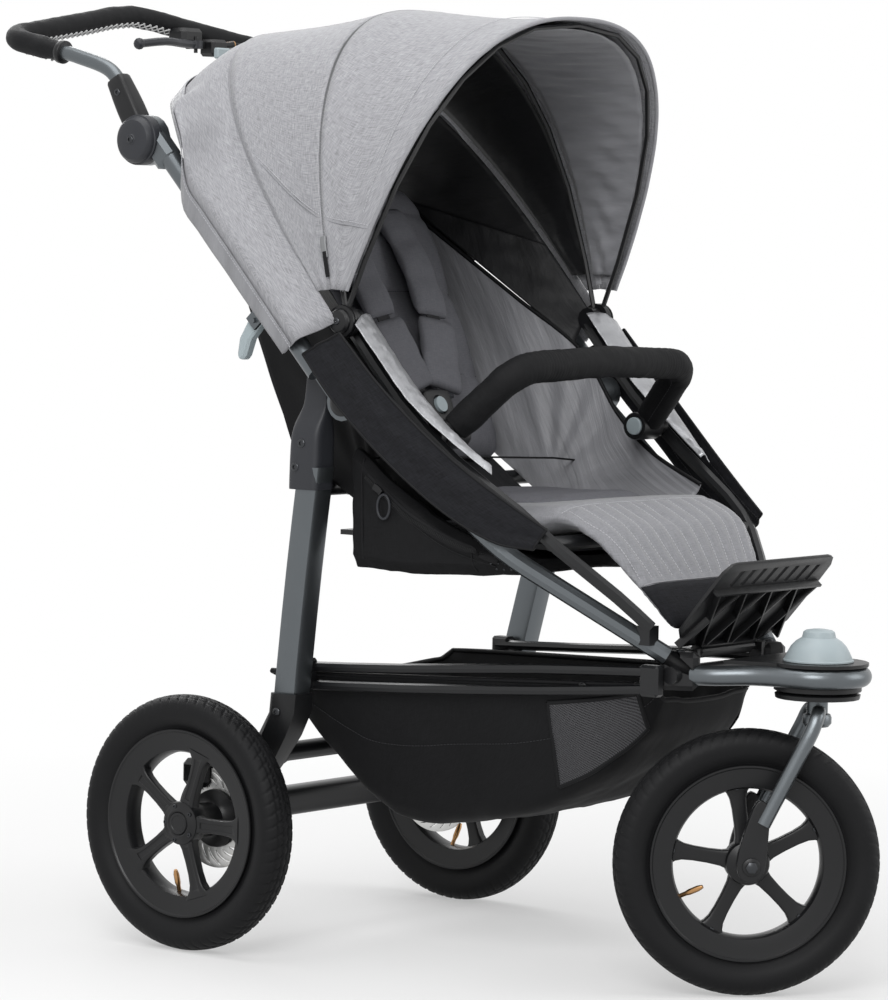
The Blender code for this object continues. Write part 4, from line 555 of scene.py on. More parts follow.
def new_tree(name, wanted):
    """An empty tree with a geometry input and output and the named inputs asked for."""
    tree = bpy.data.node_groups.new(name, "GeometryNodeTree")
    tree.interface.new_socket("Geometry", in_out="INPUT", socket_type="NodeSocketGeometry")
    for label, kind, value in wanted:
        made = tree.interface.new_socket(label, in_out="INPUT", socket_type=kind)
        if value is not None:
            made.default_value = value
    tree.interface.new_socket("Geometry", in_out="OUTPUT", socket_type="NodeSocketGeometry")
    return tree, tree.nodes.new("NodeGroupInput"), tree.nodes.new("NodeGroupOutput")


def tree_node(tree, kind, inputs=(), **settings):
    """A new node with its settings, and its inputs linked to sockets or set to values."""
    made = tree.nodes.new(kind)
    for key, value in settings.items():
        setattr(made, key, value)
    for key, value in dict(inputs).items():
        if isinstance(value, bpy.types.NodeSocket):
            tree.links.new(value, made.inputs[key])
        else:
            made.inputs[key].default_value = value
    return made


def real_copies(tree, points, item, turn):
    """The item set on every point and made real."""
    copies = tree_node(
        tree, "GeometryNodeInstanceOnPoints", {"Points": points, "Instance": item, "Rotation": turn}
    )
    return tree_node(tree, "GeometryNodeRealizeInstances", {"Geometry": copies.outputs[0]}).outputs[0]


def painted(tree, geometry, start, end):
    """The tree's last step: the geometry with the material that was asked for."""
    inputs = {"Geometry": geometry, "Material": start.outputs["Material"]}
    tree.links.new(tree_node(tree, "GeometryNodeSetMaterial", inputs).outputs[0], end.inputs[0])


def round_axis_tree():
    """Copies the geometry round its own Z axis, welded where the copies meet."""
    wanted = (
        ("Count", "NodeSocketInt", 5),
        ("Weld", "NodeSocketFloat", 0.0),
        ("Material", "NodeSocketMaterial", None),
    )
    tree, start, end = new_tree("repeat_round_axis", wanted)
    points = tree_node(tree, "GeometryNodePoints", {"Count": start.outputs["Count"]})
    index = tree_node(tree, "GeometryNodeInputIndex")
    step = tree_node(tree, "ShaderNodeMath", {0: 2 * math.pi, 1: start.outputs["Count"]}, operation="DIVIDE")
    turn = tree_node(tree, "ShaderNodeMath", {0: index.outputs[0], 1: step.outputs[0]}, operation="MULTIPLY")
    angles = tree_node(tree, "ShaderNodeCombineXYZ", {"Z": turn.outputs[0]})
    real = real_copies(tree, points.outputs[0], start.outputs["Geometry"], angles.outputs[0])
    weld = tree_node(
        tree, "GeometryNodeMergeByDistance", {"Geometry": real, "Distance": start.outputs["Weld"]}
    )
    painted(tree, weld.outputs[0], start, end)
    return tree


def along_line_tree():
    """Sets a small rod on every point, lying the way the point's own directions say."""
    wanted = (
        ("Length", "NodeSocketFloat", 0.0025),
        ("Radius", "NodeSocketFloat", 0.0004),
        ("Lean", "NodeSocketFloat", 0.0),
        ("Sides", "NodeSocketInt", 6),
        ("Material", "NodeSocketMaterial", None),
    )
    tree, start, end = new_tree("rods_along_line", wanted)
    along, out = (
        tree_node(tree, "GeometryNodeInputNamedAttribute", {"Name": name}, data_type="FLOAT_VECTOR").outputs[0]
        for name in ("along", "out")
    )
    size = {
        "Vertices": start.outputs["Sides"], "Radius": start.outputs["Radius"], "Depth": start.outputs["Length"]
    }
    item = tree_node(tree, "GeometryNodeMeshCylinder", size, fill_type="NGON")
    lie = tree_node(tree, "FunctionNodeAlignRotationToVector", {"Vector": along}, axis="Z")
    inputs = {"Rotation": lie.outputs[0], "Vector": out}
    face = tree_node(tree, "FunctionNodeAlignRotationToVector", inputs, axis="X", pivot_axis="Z")
    lean = tree_node(tree, "ShaderNodeCombineXYZ", {"X": start.outputs["Lean"]})
    inputs = {"Rotation": face.outputs[0], "Rotate By": lean.outputs[0]}
    turned = tree_node(tree, "FunctionNodeRotateRotation", inputs, rotation_space="LOCAL")
    real = real_copies(tree, start.outputs["Geometry"], item.outputs[0], turned.outputs[0])
    painted(tree, real, start, end)
    return tree


def soft_edge_tree():
    """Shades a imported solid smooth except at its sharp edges."""
    tree, start, end = new_tree("soft_shading", (("Angle", "NodeSocketFloat", 0.6),))
    smooth = tree_node(tree, "GeometryNodeSetShadeSmooth", {0: start.outputs[0]})
    angle = tree_node(tree, "GeometryNodeInputMeshEdgeAngle")
    inputs = {0: angle.outputs[0], 1: start.outputs["Angle"]}
    sharp = tree_node(tree, "ShaderNodeMath", inputs, operation="GREATER_THAN")
    inputs = {0: smooth.outputs[0], "Selection": sharp.outputs[0], "Shade Smooth": False}
    edges = tree_node(tree, "GeometryNodeSetShadeSmooth", inputs, domain="EDGE")
    tree.links.new(edges.outputs[0], end.inputs[0])
    return tree


def grow_by(obj, tree, values):
    """The tree run on the object with these inputs, and its result kept as a plain mesh."""
    modifier = obj.modifiers.new(tree.name, "NODES")
    modifier.node_group = tree
    names = {item.name: item.identifier for item in tree.interface.items_tree if item.in_out == "INPUT"}
    for label, value in values.items():
        modifier[names[label]] = value
    if obj.type == "MESH":
        return settled(obj)
    mesh = plain_mesh(obj)
    name = obj.name
    bpy.data.objects.remove(obj, do_unlink=True)
    made = bpy.data.objects.new(name, mesh)
    bpy.context.scene.collection.objects.link(made)
    return made


def repeated(item, count, matrix, finish, weld=0.0):
    """The item, made round the Z axis at the origin, repeated and moved into place."""
    made = grow_by(item, TREES["round_axis"], {"Count": count, "Weld": weld, "Material": finish})
    made.data.transform(matrix)
    return made


def even_pairs(line, gap):
    """A line of (point, out) pairs, as points at even distances with their own directions."""
    points = [Vector(p) for p, _ in line]
    total = length_of(points)
    count = max(2, round(total / gap))
    made, walked, k = [], 0.0, 0
    for i in range(count + 1):
        target = total * i / count
        while k < len(points) - 2 and walked + (points[k + 1] - points[k]).length < target:
            walked += (points[k + 1] - points[k]).length
            k += 1
        span = (points[k + 1] - points[k]).length or 1.0
        share = min(1.0, (target - walked) / span)
        out = Vector(line[k][1]).lerp(Vector(line[k + 1][1]), share)
        made.append((points[k].lerp(points[k + 1], share), out))
    return made


def stitches(name, line, finish, gap=0.0042, length=0.0028, radius=0.00042, lean=0.0, sides=6):
    """A row of stitches, teeth or laces along a line of (point, out) pairs."""
    pairs = even_pairs(line, gap)
    mesh = bpy.data.meshes.new(name)
    mesh.from_pydata([p for p, _ in pairs], [], [])
    along = mesh.attributes.new("along", "FLOAT_VECTOR", "POINT")
    out = mesh.attributes.new("out", "FLOAT_VECTOR", "POINT")
    last = len(pairs) - 1
    for i, (_, outward) in enumerate(pairs):
        along.data[i].vector = (pairs[min(i + 1, last)][0] - pairs[max(i - 1, 0)][0]).normalized()
        out.data[i].vector = outward.normalized()
    obj = bpy.data.objects.new(name, mesh)
    bpy.context.scene.collection.objects.link(obj)
    values = {"Length": length, "Radius": radius, "Lean": lean, "Sides": sides, "Material": finish}
    made = grow_by(obj, TREES["along_line"], values)
    made.data.shade_smooth()
    made.data.set_sharp_from_angle(angle=1.0)
    return made


def screw_head(name, place, out, radius, finish, height=0.0016):
    """A low domed screw with a hexagon socket."""
    matrix = Matrix.Translation(place) @ Vector(out).to_track_quat("Z", "Y").to_matrix().to_4x4()
    profile = [
        (radius, -0.0008), (radius, height * 0.45), (radius * 0.86, height * 0.85), (radius * 0.62, height)
    ]
    profile += [(radius * 0.46, height), (radius * 0.44, height * 0.25), (0.0002, height * 0.2)]
    return lathe(name, profile, matrix, finish, 18, sharp=35)


def worn_by(piece, body, slot, *nodes):
    """The piece rides on its body and stands for the nodes, which it hides; its slot is not used."""
    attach(piece, body)
    if nodes:
        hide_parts(*nodes)
    return piece


TREES = {"round_axis": round_axis_tree(), "along_line": along_line_tree(), "soft_shading": soft_edge_tree()}


# Sizes and colours that a user would change


def length_prop(name, description, default):
    settings = {"name": name, "description": description, "default": default}
    return bpy.props.FloatProperty(**settings, unit="LENGTH", precision=4)


def colour_prop(name, description, default):
    settings = {"name": name, "description": description, "default": default}
    return bpy.props.FloatVectorProperty(**settings, subtype="COLOR", size=3, min=0.0, max=1.0)


class StrollerSizes(bpy.types.PropertyGroup):
    tread_depth: length_prop("Tread depth", "How deep the grooves are cut", 0.0019)
    tread_pitches: bpy.props.IntProperty(
        name="Tread pitches", description="Tread blocks round a tyre", default=66
    )
    cloth: length_prop("Cloth thickness", "Thickness of the canopy's cloth with its lining", 0.0018)
    stitch_gap: length_prop("Stitch gap", "From one stitch to the next", 0.0042)
    lacing_gap: length_prop("Lacing gap", "From one crossing of the grip's lacing to the next", 0.011)
    disc_slots: bpy.props.IntProperty(name="Disc slots", description="Slots round a brake disc", default=22)


class StrollerColours(bpy.types.PropertyGroup):
    canopy: colour_prop("Canopy", "Light melange cloth", (0.312, 0.313, 0.330))
    satin: colour_prop("Seat sides", "Shining lining cloth", (0.250, 0.252, 0.268))
    pads: colour_prop("Pads", "Mid grey cloth of the seat's pads", (0.135, 0.136, 0.150))
    covers: colour_prop("Rail covers", "Charcoal cloth", (0.0105, 0.0108, 0.0130))
    black: colour_prop("Black cloth", "Basket, pocket and seat back", (0.0050, 0.0051, 0.0058))
    frame: colour_prop("Frame", "Anodised tubes", (0.125, 0.137, 0.146))
    knob: colour_prop("Knob", "Light moulded parts", (0.340, 0.395, 0.415))
    plastic: colour_prop("Plastic", "Black mouldings", (0.0075, 0.0077, 0.0085))


FINISHES = {}


def make_finishes(colours):
    """Every material that the pieces take, by a short name."""
    FINISHES.update(
        canopy=woven("canopy_melange", tuple(colours.canopy), 0.34, 0.72, sheen_weight=0.15),
        band=woven("canopy_band", shade(colours.canopy, 1.22), 0.20, 0.62, 1.4, sheen_weight=0.2),
        satin=satin("seat_satin", tuple(colours.satin), 0.46, sheen_weight=0.2),
        pads=woven("pad_cloth", tuple(colours.pads), 0.16, 0.85, 1.2),
        cushion=woven("cushion_cloth", shade(colours.satin, 0.92), 0.20, 0.60, 1.2, sheen_weight=0.2),
        covers=woven("rail_cover_cloth", tuple(colours.covers), 0.55, 0.80, 0.9),
        black=woven("black_cloth", tuple(colours.black), 0.40, 0.72, 0.8),
        lining=satin("black_lining", shade(colours.black, 1.4), 0.50),
        netting=netting("basket_netting", (0.034, 0.034, 0.037)),
        binding=woven("binding_tape", shade(colours.black, 1.2), 0.3, 0.6, 2.0),
        piping=woven("grey_piping", shade(colours.canopy, 0.9), 0.15, 0.6, 2.0),
        webbing=woven("webbing", (0.018, 0.018, 0.020), 0.45, 0.6, 1.6),
        zip=moulded("zip_teeth", (0.20, 0.205, 0.21), 0.4, metallic=0.3),
        plastic=moulded("black_moulding", tuple(colours.plastic), 0.36),
        rim=moulded("black_rim", shade(colours.plastic, 0.9), 0.33, 500.0, 0.15),
        dark=moulded("dark_moulding", (0.024, 0.0255, 0.030), 0.42),
        light=moulded("light_moulding", tuple(colours.knob), 0.38, 700.0, 0.05),
        frame=metal("anodised_frame", tuple(colours.frame), 0.33, 0.85),
        black_metal=metal("black_frame", (0.010, 0.0104, 0.0115), 0.34, 0.3, (30, 900, 1)),
        steel=metal("disc_steel", (0.58, 0.58, 0.57), 0.30, 1.0, (1400, 12, 1)),
        screw=metal("screw_steel", (0.050, 0.052, 0.056), 0.32, 0.9, (200, 200, 1)),
        brass=metal("valve_brass", (0.48, 0.27, 0.12), 0.30, 1.0, (300, 300, 1)),
        rubber=rubbery("tyre_rubber", (0.0065, 0.0066, 0.0072), 0.60),
        cable=rubbery("cable_housing", (0.010, 0.010, 0.011), 0.45),
        foam=woven("grip_cover", (0.0065, 0.0067, 0.0075), 0.45, 0.66, 1.3),
        lace=woven("grip_lace", (0.50, 0.50, 0.50), 0.10, 0.7, 2.0),
        thread=woven("light_thread", shade(colours.canopy, 1.5), 0.10, 0.7, 2.0),
        dark_thread=woven("dark_thread", (0.035, 0.035, 0.038), 0.10, 0.7, 2.0),
        edge=satin("silver_cloth", (0.36, 0.365, 0.38), 0.30, metallic=0.35),
    )


# Wheels

WHEEL_RADIUS = 0.1525
TRACK = 0.532
DISC_INSET = 0.052
SWIVEL_Y = -0.712
SWIVEL_DEG = 41.5
TRAIL = 0.077
SWIVEL = Matrix.Translation(spot(0, SWIVEL_Y, 0)) @ Matrix.Rotation(math.radians(SWIVEL_DEG), 4, "Z")
FRONT_HUB = SWIVEL @ Vector((0, TRAIL, WHEEL_RADIUS))
FRONT_TURN = (
    Matrix.Translation(FRONT_HUB) @ (SWIVEL.to_3x3() @ Matrix.Rotation(math.radians(90), 3, "Y")).to_4x4()
)


def turned_out_at(place, side):
    """Puts a round piece at the place, with its own Z axis along X, outwards."""
    return Matrix.Translation(place) @ Matrix.Rotation(math.radians(90 * side), 4, "Y")


def rear_turn(side):
    return turned_out_at(spot(side * TRACK / 2, 0, WHEEL_RADIUS), side)


def groove(distance, half):
    """1 in the middle of a groove, 0 outside it, with sloped walls."""
    return max(0.0, min(1.0, (half - abs(distance)) / (half * 0.45)))


def tyre(name, matrix, sizes):
    """One pitch of tread with its sidewalls, repeated round the axle and welded."""
    half = [
        (0.1046, 0.0112), (0.1128, 0.0138), (0.1160, 0.0152), (0.1250, 0.0214), (0.1345, 0.0236),
        (0.1430, 0.0216), (0.1490, 0.0158), (0.1520, 0.0080), (0.1527, 0.0),
    ]
    outline = smooth_line([(r, h, 0) for r, h in half], 5)
    outline = outline + [Vector((p.x, -p.y, 0)) for p in reversed(outline[:-1])]
    step = 2 * math.pi / sizes.tread_pitches
    columns = 8
    rows = []
    for p in outline:
        row = []
        for i in range(columns + 1):
            share = i / columns
            depth = 0.0
            if p.x > 0.1395:
                lateral = p.y * 1000
                zigzag = 1.1 * math.sin(2 * math.pi * share)
                depth = max(depth, groove(abs(lateral) - 3.4 - zigzag, 0.85))
                slant = (abs(lateral) / 13.0 * 0.55 + share + (0.5 if lateral > 0 else 0.0)) % 1.0
                if abs(lateral) > 4.6:
                    depth = max(depth, groove((slant - 0.5) * 14, 1.5))
                depth = max(depth, groove(abs(lateral) - 11.2, 0.6) * 0.6)
            if 0.1215 < p.x < 0.1225 or 0.1335 < p.x < 0.1345:
                depth = -0.3
            angle = step * share
            r = p.x - depth * sizes.tread_depth * (0.5 if p.x < 0.148 else 1.0)
            row.append(Vector((r * math.cos(angle), r * math.sin(angle), p.y)))
        rows.append(row)
    item = grid(name, rows, FINISHES["rubber"], loop=True, sharp=80)
    made = repeated(item, sizes.tread_pitches, matrix, FINISHES["rubber"], 0.00005)
    return faced_out(made)


def rim_shell(name, matrix):
    half = [
        (0.1060, 0.0100), (0.1046, 0.0118), (0.1092, 0.0150), (0.1118, 0.0158), (0.1127, 0.0172),
        (0.1120, 0.0186), (0.1100, 0.0186), (0.1085, 0.0172), (0.1010, 0.0158), (0.0940, 0.0150),
        (0.0872, 0.0135), (0.0850, 0.0095), (0.0843, 0.0),
    ]
    profile = half + [(r, -h) for r, h in reversed(half[:-1])]
    return lathe(name, profile, matrix, FINISHES["rim"], 120, closed=True, sharp=32)


def spoke(name, offset, depth):
    """A flat-faced spoke that widens into the hub and into the rim."""
    stations = (
        (0.0160, 0.0125, depth * 1.15), (0.0225, 0.0112, depth * 1.10),
        (0.0300, 0.0092, depth * 1.00), (0.0450, 0.0083, depth * 0.92),
        (0.0620, 0.0084, depth * 0.88), (0.0740, 0.0095, depth * 0.95),
        (0.0810, 0.0120, depth * 1.05), (0.0870, 0.0170, depth * 1.20),
        (0.0905, 0.0225, depth * 1.25),
    )
    rows, channel = [], []
    for r, half_width, half_depth in stations:
        rows.append([Vector((r, u, offset + v)) for u, v in soft_box(half_width, half_depth, 5.5, 28)])
    made = grid(name, rows, FINISHES["rim"], ring=True, ends=True, sharp=60)
    for r, half_width, half_depth in stations[2:7]:
        section = soft_box(half_width * 0.42, 0.0016, 4.0, 16)
        channel.append([Vector((r, u, offset + half_depth + 0.0006 + v)) for u, v in section])
    return cut_by(made, grid("spoke_channel", channel, None, ring=True, ends=True))


def rim_piece(name, matrix, hub, spokes, offset, depth, first_deg):
    """The rim, five spokes repeated round the axle, and the hub."""
    spin = matrix @ Matrix.Rotation(math.radians(first_deg), 4, "Z")
    ring = rim_shell(name + "_shell", matrix)
    legs = repeated(spoke(name + "_spoke", offset, depth), spokes, spin, FINISHES["rim"])
    core = lathe(name + "_core", hub, matrix, FINISHES["rim"], 64, sharp=32)
    return joined(name, [ring, legs, core])


def hub_bolts(name, matrix, radius, height, size, count=5):
    item = screw_head(name, Vector((radius, 0, height)), Vector((0, 0, 1)), size, FINISHES["screw"])
    return repeated(item, count, matrix, FINISHES["screw"])


def valve(name, matrix, angle_deg, side=1):
    """A brass valve that stands in the rim and leans out to the side."""
    a = math.radians(angle_deg)
    out = Vector((math.cos(a), math.sin(a), 0))
    lean = (-out * 0.92 + Vector((0, 0, 0.40 * side))).normalized()
    foot = out * 0.0850
    places = (foot + out * 0.004, foot, foot + lean * 0.008, foot + lean * 0.030)
    path = smooth_line([matrix @ place for place in places], 4)
    sizes = lambda s: 1.35 if s < 0.25 else (0.85 if s < 0.72 else (1.15 if s < 0.93 else 0.7))
    return sweep(name, path, ring_of(0.0030, 16), FINISHES["brass"], grow=sizes, sharp=30)


def brake_disc(name, side, slots):
    """A thin steel ring with sickle-shaped slots and a row of holes."""
    matrix = rear_turn(side) @ Matrix.Translation((0, 0, -DISC_INSET))
    outlines = [ring_of(0.060, 120), ring_of(0.031, 72)]
    for i in range(slots):
        start = 2 * math.pi * i / slots
        first, second = [], []
        for k in range(9):
            share = k / 8
            radius = 0.0385 + 0.0175 * share
            angle = start + 0.42 * share**1.3
            half = (0.0007 + 0.0008 * math.sin(math.pi * share)) / radius
            first.append((radius * math.cos(angle - half), radius * math.sin(angle - half)))
            second.append((radius * math.cos(angle + half), radius * math.sin(angle + half)))
        outlines.append(first + second[::-1])
    return plate(name, outlines, 0.0020, matrix, FINISHES["steel"], 0.00015)


class STROLLER_OT_wheels(bpy.types.Operator):
    """Tyres with their tread, spoked rims, hubs, valves and brake discs"""

    bl_idname = "stroller.wheels"
    bl_label = "Wheels"

    def execute(self, context):
        sizes = context.scene.stroller_sizes
        front_hub = [
            (0.0063, 0.0275), (0.0125, 0.0275), (0.0140, 0.0262), (0.0145, 0.0190),
            (0.0205, 0.0165), (0.0240, 0.0150), (0.0252, 0.0128),
        ]
        front_hub = front_hub + [(r, -h) for r, h in reversed(front_hub)]
        made = rim_piece("front_rim_spokes", FRONT_TURN, front_hub, 5, 0.0, 0.0072, 99)
        worn_by(made, "front_wheel", "black_plastic", "front_rim")
        worn_by(tyre("front_tyre_tread", FRONT_TURN, sizes), "front_wheel", "tyre", "front_tyre")
        ends = []
        for way in (1, -1):
            flip = FRONT_TURN @ Matrix.Rotation(math.radians(99), 4, "Z")
            flip = flip if way == 1 else flip @ Matrix.Rotation(math.pi, 4, "X")
            ends.append(hub_bolts("front_spoke_screws", flip, 0.0865, 0.0086, 0.0032))
        worn_by(joined("front_spoke_screws", ends), "front_wheel", "black_metal")
        worn_by(valve("front_valve", FRONT_TURN, 62, -1), "front_wheel", "steel")
        for word, side in SIDES.items():
            turn = rear_turn(side)
            carrier = "rear_wheel_" + word
            hub = [
                (0.0063, 0.0080), (0.0139, 0.0088), (0.0139, 0.0180), (0.0158, 0.0190),
                (0.0176, 0.0184), (0.0196, 0.0172), (0.0255, 0.0148), (0.0265, 0.0120),
                (0.0250, -0.0060), (0.0215, -0.0150), (0.0200, -0.0400), (0.0240, -0.0440),
                (0.0345, -0.0465), (0.0350, -0.0503), (0.0300, -0.0505), (0.0300, -0.0525),
                (0.0063, -0.0527),
            ]
            made = rim_piece("rear_rim_spokes_" + word, turn, hub, 5, 0.0062, 0.0072, -162)
            worn_by(made, carrier, "black_plastic", "rear_rim_" + word)
            worn_by(tyre("rear_tyre_tread_" + word, turn, sizes), carrier, "tyre", "rear_tyre_" + word)
            spin = turn @ Matrix.Rotation(math.radians(-126), 4, "Z")
            worn_by(hub_bolts("rear_hub_bolts_" + word, spin, 0.0208, 0.0168, 0.0028), carrier, "black_metal")
            disc = brake_disc("slotted_disc_" + word, side, sizes.disc_slots)
            worn_by(disc, carrier, "steel", "brake_disc_" + word)
            cap = [(0.0134, 0.0125), (0.0135, 0.0178), (0.0128, 0.0190)]
            cap += [(0.0100, 0.0193), (0.0092, 0.0186), (0.0003, 0.0187)]
            made = lathe("hub_cap_" + word, cap, turn, FINISHES["plastic"], 48, sharp=30)
            worn_by(made, "hub_button_" + word, "black_plastic", "hub_button_" + word)
            worn_by(valve("rear_valve_" + word, turn, 172 if side == -1 else 8, 1), carrier, "steel")
        return {"FINISHED"}


# Frame

HUB = (0.2355, -0.221, 0.662)
HINGE = (0.083, 0.962)
PUSHER_X = 0.268
LACING_DEG = 38


def on_side(x, place, side):
    return spot(x * side, place[0], place[1])


DRESSED = {
    "frame": (
        "front_tube_left",
        "front_tube_right",
        "rear_leg_left",
        "rear_leg_right",
        "pusher_tube_left",
        "pusher_tube_right",
    ),
    "black_metal": ("seat_frame", "axle_beam", "axle_crossbar", "basket_rail_left", "basket_rail_right"),
    "plastic": (
        "front_bracket",
        "swivel_housing",
        "axle_bracket_left",
        "axle_bracket_right",
        "footrest",
        "brake_mount",
        "canopy_mid_bow",
        "canopy_front_bow",
    ),
    "light": (
        "fold_lever_left",
        "fold_lever_right",
        "hinge_button_left",
        "hinge_button_right",
        "parking_latch",
        "buckle_button",
        "bumper_button_left",
        "bumper_button_right",
    ),
    "dark": ("brake_lever",),
}
EASED = {"footrest": 0.0004}


def dress(node, finish):
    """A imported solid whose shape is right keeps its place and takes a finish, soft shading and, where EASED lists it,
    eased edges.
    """
    obj = frame["nodes"][node]
    obj.data.materials.clear()
    obj.data.materials.append(FINISHES[finish])
    weld = obj.modifiers.new("weld", "WELD")
    weld.merge_threshold = WELD_DISTANCE
    if node in EASED:
        eased(obj, EASED[node])
    shading = obj.modifiers.new("soft_shading", "NODES")
    shading.node_group = TREES["soft_shading"]


def smooth_outline(corners):
    """A closed outline through the corners."""
    return [tuple(p.xy) for p in smooth_line([(x, y, 0) for x, y in corners + corners[:1]], 4)][:-1]


def fork():
    """Two curved legs from the crown, dropouts with the axle's nuts, and a small lever."""
    crown_z, leg_x = 0.324, 0.0372
    up = SWIVEL.to_3x3() @ Vector((1, 0, 0))
    made = []
    section = soft_box(0.0082, 0.0094, 2.6, 24)
    for side in (1, -1):
        points = (
            (side * 0.010, 0.000, crown_z), (side * 0.030, 0.004, crown_z - 0.001),
            (side * 0.0365, 0.012, crown_z - 0.020), (side * leg_x, 0.030, crown_z - 0.056),
            (side * leg_x, 0.050, crown_z - 0.096), (side * leg_x, 0.064, crown_z - 0.124),
        )
        path = smooth_line([SWIVEL @ Vector(p) for p in points], 6)
        made.append(sweep("fork_leg", path, section, FINISHES["frame"], up=up, sharp=50))
    stem = [(0.0003, 0.372), (0.0120, 0.372), (0.0120, 0.3235), (0.0150, 0.3225)]
    stem += [(0.0165, 0.3190), (0.0165, 0.3120), (0.0130, 0.3080), (0.0003, 0.3080)]
    made.append(lathe("fork_stem", stem, SWIVEL, FINISHES["frame"], 40))
    worn_by(joined("fork_legs", made), "fork", "grey_metal", "fork")
    made = []
    for side in (1, -1):
        outline = [(0.056, crown_z - 0.102), (0.072, crown_z - 0.098), (0.0875, crown_z - 0.140)]
        outline += [(0.0925, WHEEL_RADIUS + 0.008)]
        outline += [
            (0.0915, WHEEL_RADIUS - 0.008), (0.0850, WHEEL_RADIUS - 0.0165), (0.0740, WHEEL_RADIUS - 0.0172)
        ]
        outline += [(0.0645, WHEEL_RADIUS - 0.0100), (0.0600, WHEEL_RADIUS + 0.006)]
        turn = SWIVEL.to_3x3() @ Matrix(((0, 0, 1), (1, 0, 0), (0, 1, 0)))
        place = Matrix.Translation(SWIVEL @ Vector((side * leg_x, 0, 0))) @ turn.to_4x4()
        made.append(plate("dropout", [smooth_outline(outline)], 0.0112, place, FINISHES["plastic"], 0.0016))
        face = SWIVEL @ Vector((side * 0.0430, TRAIL, WHEEL_RADIUS))
        out = SWIVEL.to_3x3() @ Vector((side, 0, 0))
        made.append(
            rod("axle_washer", face - out * 0.0006, face + out * 0.0018, 0.0105, FINISHES["plastic"], 32)
        )
        made.append(
            rod("axle_nut", face + out * 0.0016, face + out * 0.0060, 0.0072, FINISHES["screw"], 6, 0.0006)
        )
        inner = SWIVEL @ Vector((side * 0.0276, TRAIL, WHEEL_RADIUS))
        made.append(rod("axle_spacer", inner, inner + out * 0.0045, 0.0098, FINISHES["plastic"], 28))
    axle = [SWIVEL @ Vector((x, TRAIL, WHEEL_RADIUS)) for x in (-0.043, 0.043)]
    made.append(rod("front_axle", axle[0], axle[1], 0.0058, FINISHES["screw"], 20))
    worn_by(joined("fork_dropouts", made), "fork", "black_plastic")


def hoop():
    """The tube round the swivel, with its deck, the stacked discs and the lifting knob."""
    z = 0.3665
    ring = []
    for step in range(19):
        angle = math.radians(-8 - 82 * step / 18)
        ring.append(spot(0.0495 * math.cos(angle), SWIVEL_Y + 0.0495 * math.sin(angle), z))
    start = [spot(0.086, -0.599, z - 0.003), spot(0.080, -0.625, z - 0.002), spot(0.060, -0.665, z)]
    half = smooth_line([*start, ring[0]], 5)[:-1] + ring
    made = sweep("hoop_tube", both_ways(half), ring_of(0.0114, 28), FINISHES["frame"], up=(0, 0, 1))
    worn_by(made, "chassis", "grey_metal", "front_hoop")
    place = Matrix.Translation(spot(0, SWIVEL_Y, 0))
    top = z + 0.0118
    knob = [
        (0.0003, top + 0.0410), (0.0080, top + 0.0408), (0.0150, top + 0.0396),
        (0.0178, top + 0.0378), (0.0186, top + 0.0345), (0.0192, top + 0.0315),
        (0.0215, top + 0.0300), (0.0262, top + 0.0270), (0.0315, top + 0.0215),
        (0.0352, top + 0.0150), (0.0378, top + 0.0092), (0.0388, top + 0.0070),
        (0.0400, top + 0.0062), (0.0402, top + 0.0046), (0.0003, top + 0.0046),
    ]
    made = lathe("swivel_dome", knob, place, FINISHES["light"], 96, sharp=28)
    worn_by(made, "swivel_knob", "light_plastic", "swivel_knob")


def leg_heads():
    """The plastic heads of the legs: a shell close round the leg that narrows to the arm at the hub."""
    stations = (
        (-0.1640, 0.5595, 0.0185, 0.0205), (-0.1645, 0.5615, 0.0193, 0.0216),
        (-0.1655, 0.6000, 0.0192, 0.0218), (-0.1665, 0.6200, 0.0186, 0.0214),
        (-0.1680, 0.6340, 0.0150, 0.0206), (-0.1700, 0.6460, 0.0092, 0.0192),
        (-0.1720, 0.6600, 0.0048, 0.0170), (-0.1730, 0.6880, 0.0038, 0.0152),
        (-0.1740, 0.7060, 0.0037, 0.0142), (-0.1740, 0.7150, 0.0037, 0.0098),
        (-0.1740, 0.7180, 0.0030, 0.0050),
    )
    for word, side in SIDES.items():
        places = smooth_line([(0, y, z) for y, z, _, _ in stations], 5)
        sizes = smooth_line([(a, b, 0) for _, _, a, b in stations], 5)
        rows = []
        for place, size in zip(places, sizes):
            rows.append(
                [spot(side * 0.2463 + u, place.y + v, place.z) for u, v in soft_box(size.x, size.y, 5.0, 40)]
            )
        made = grid("leg_head_" + word, rows, FINISHES["dark"], ring=True, ends=True, sharp=50)
        worn_by(made, "chassis", "dark_plastic", "leg_bracket_" + word)


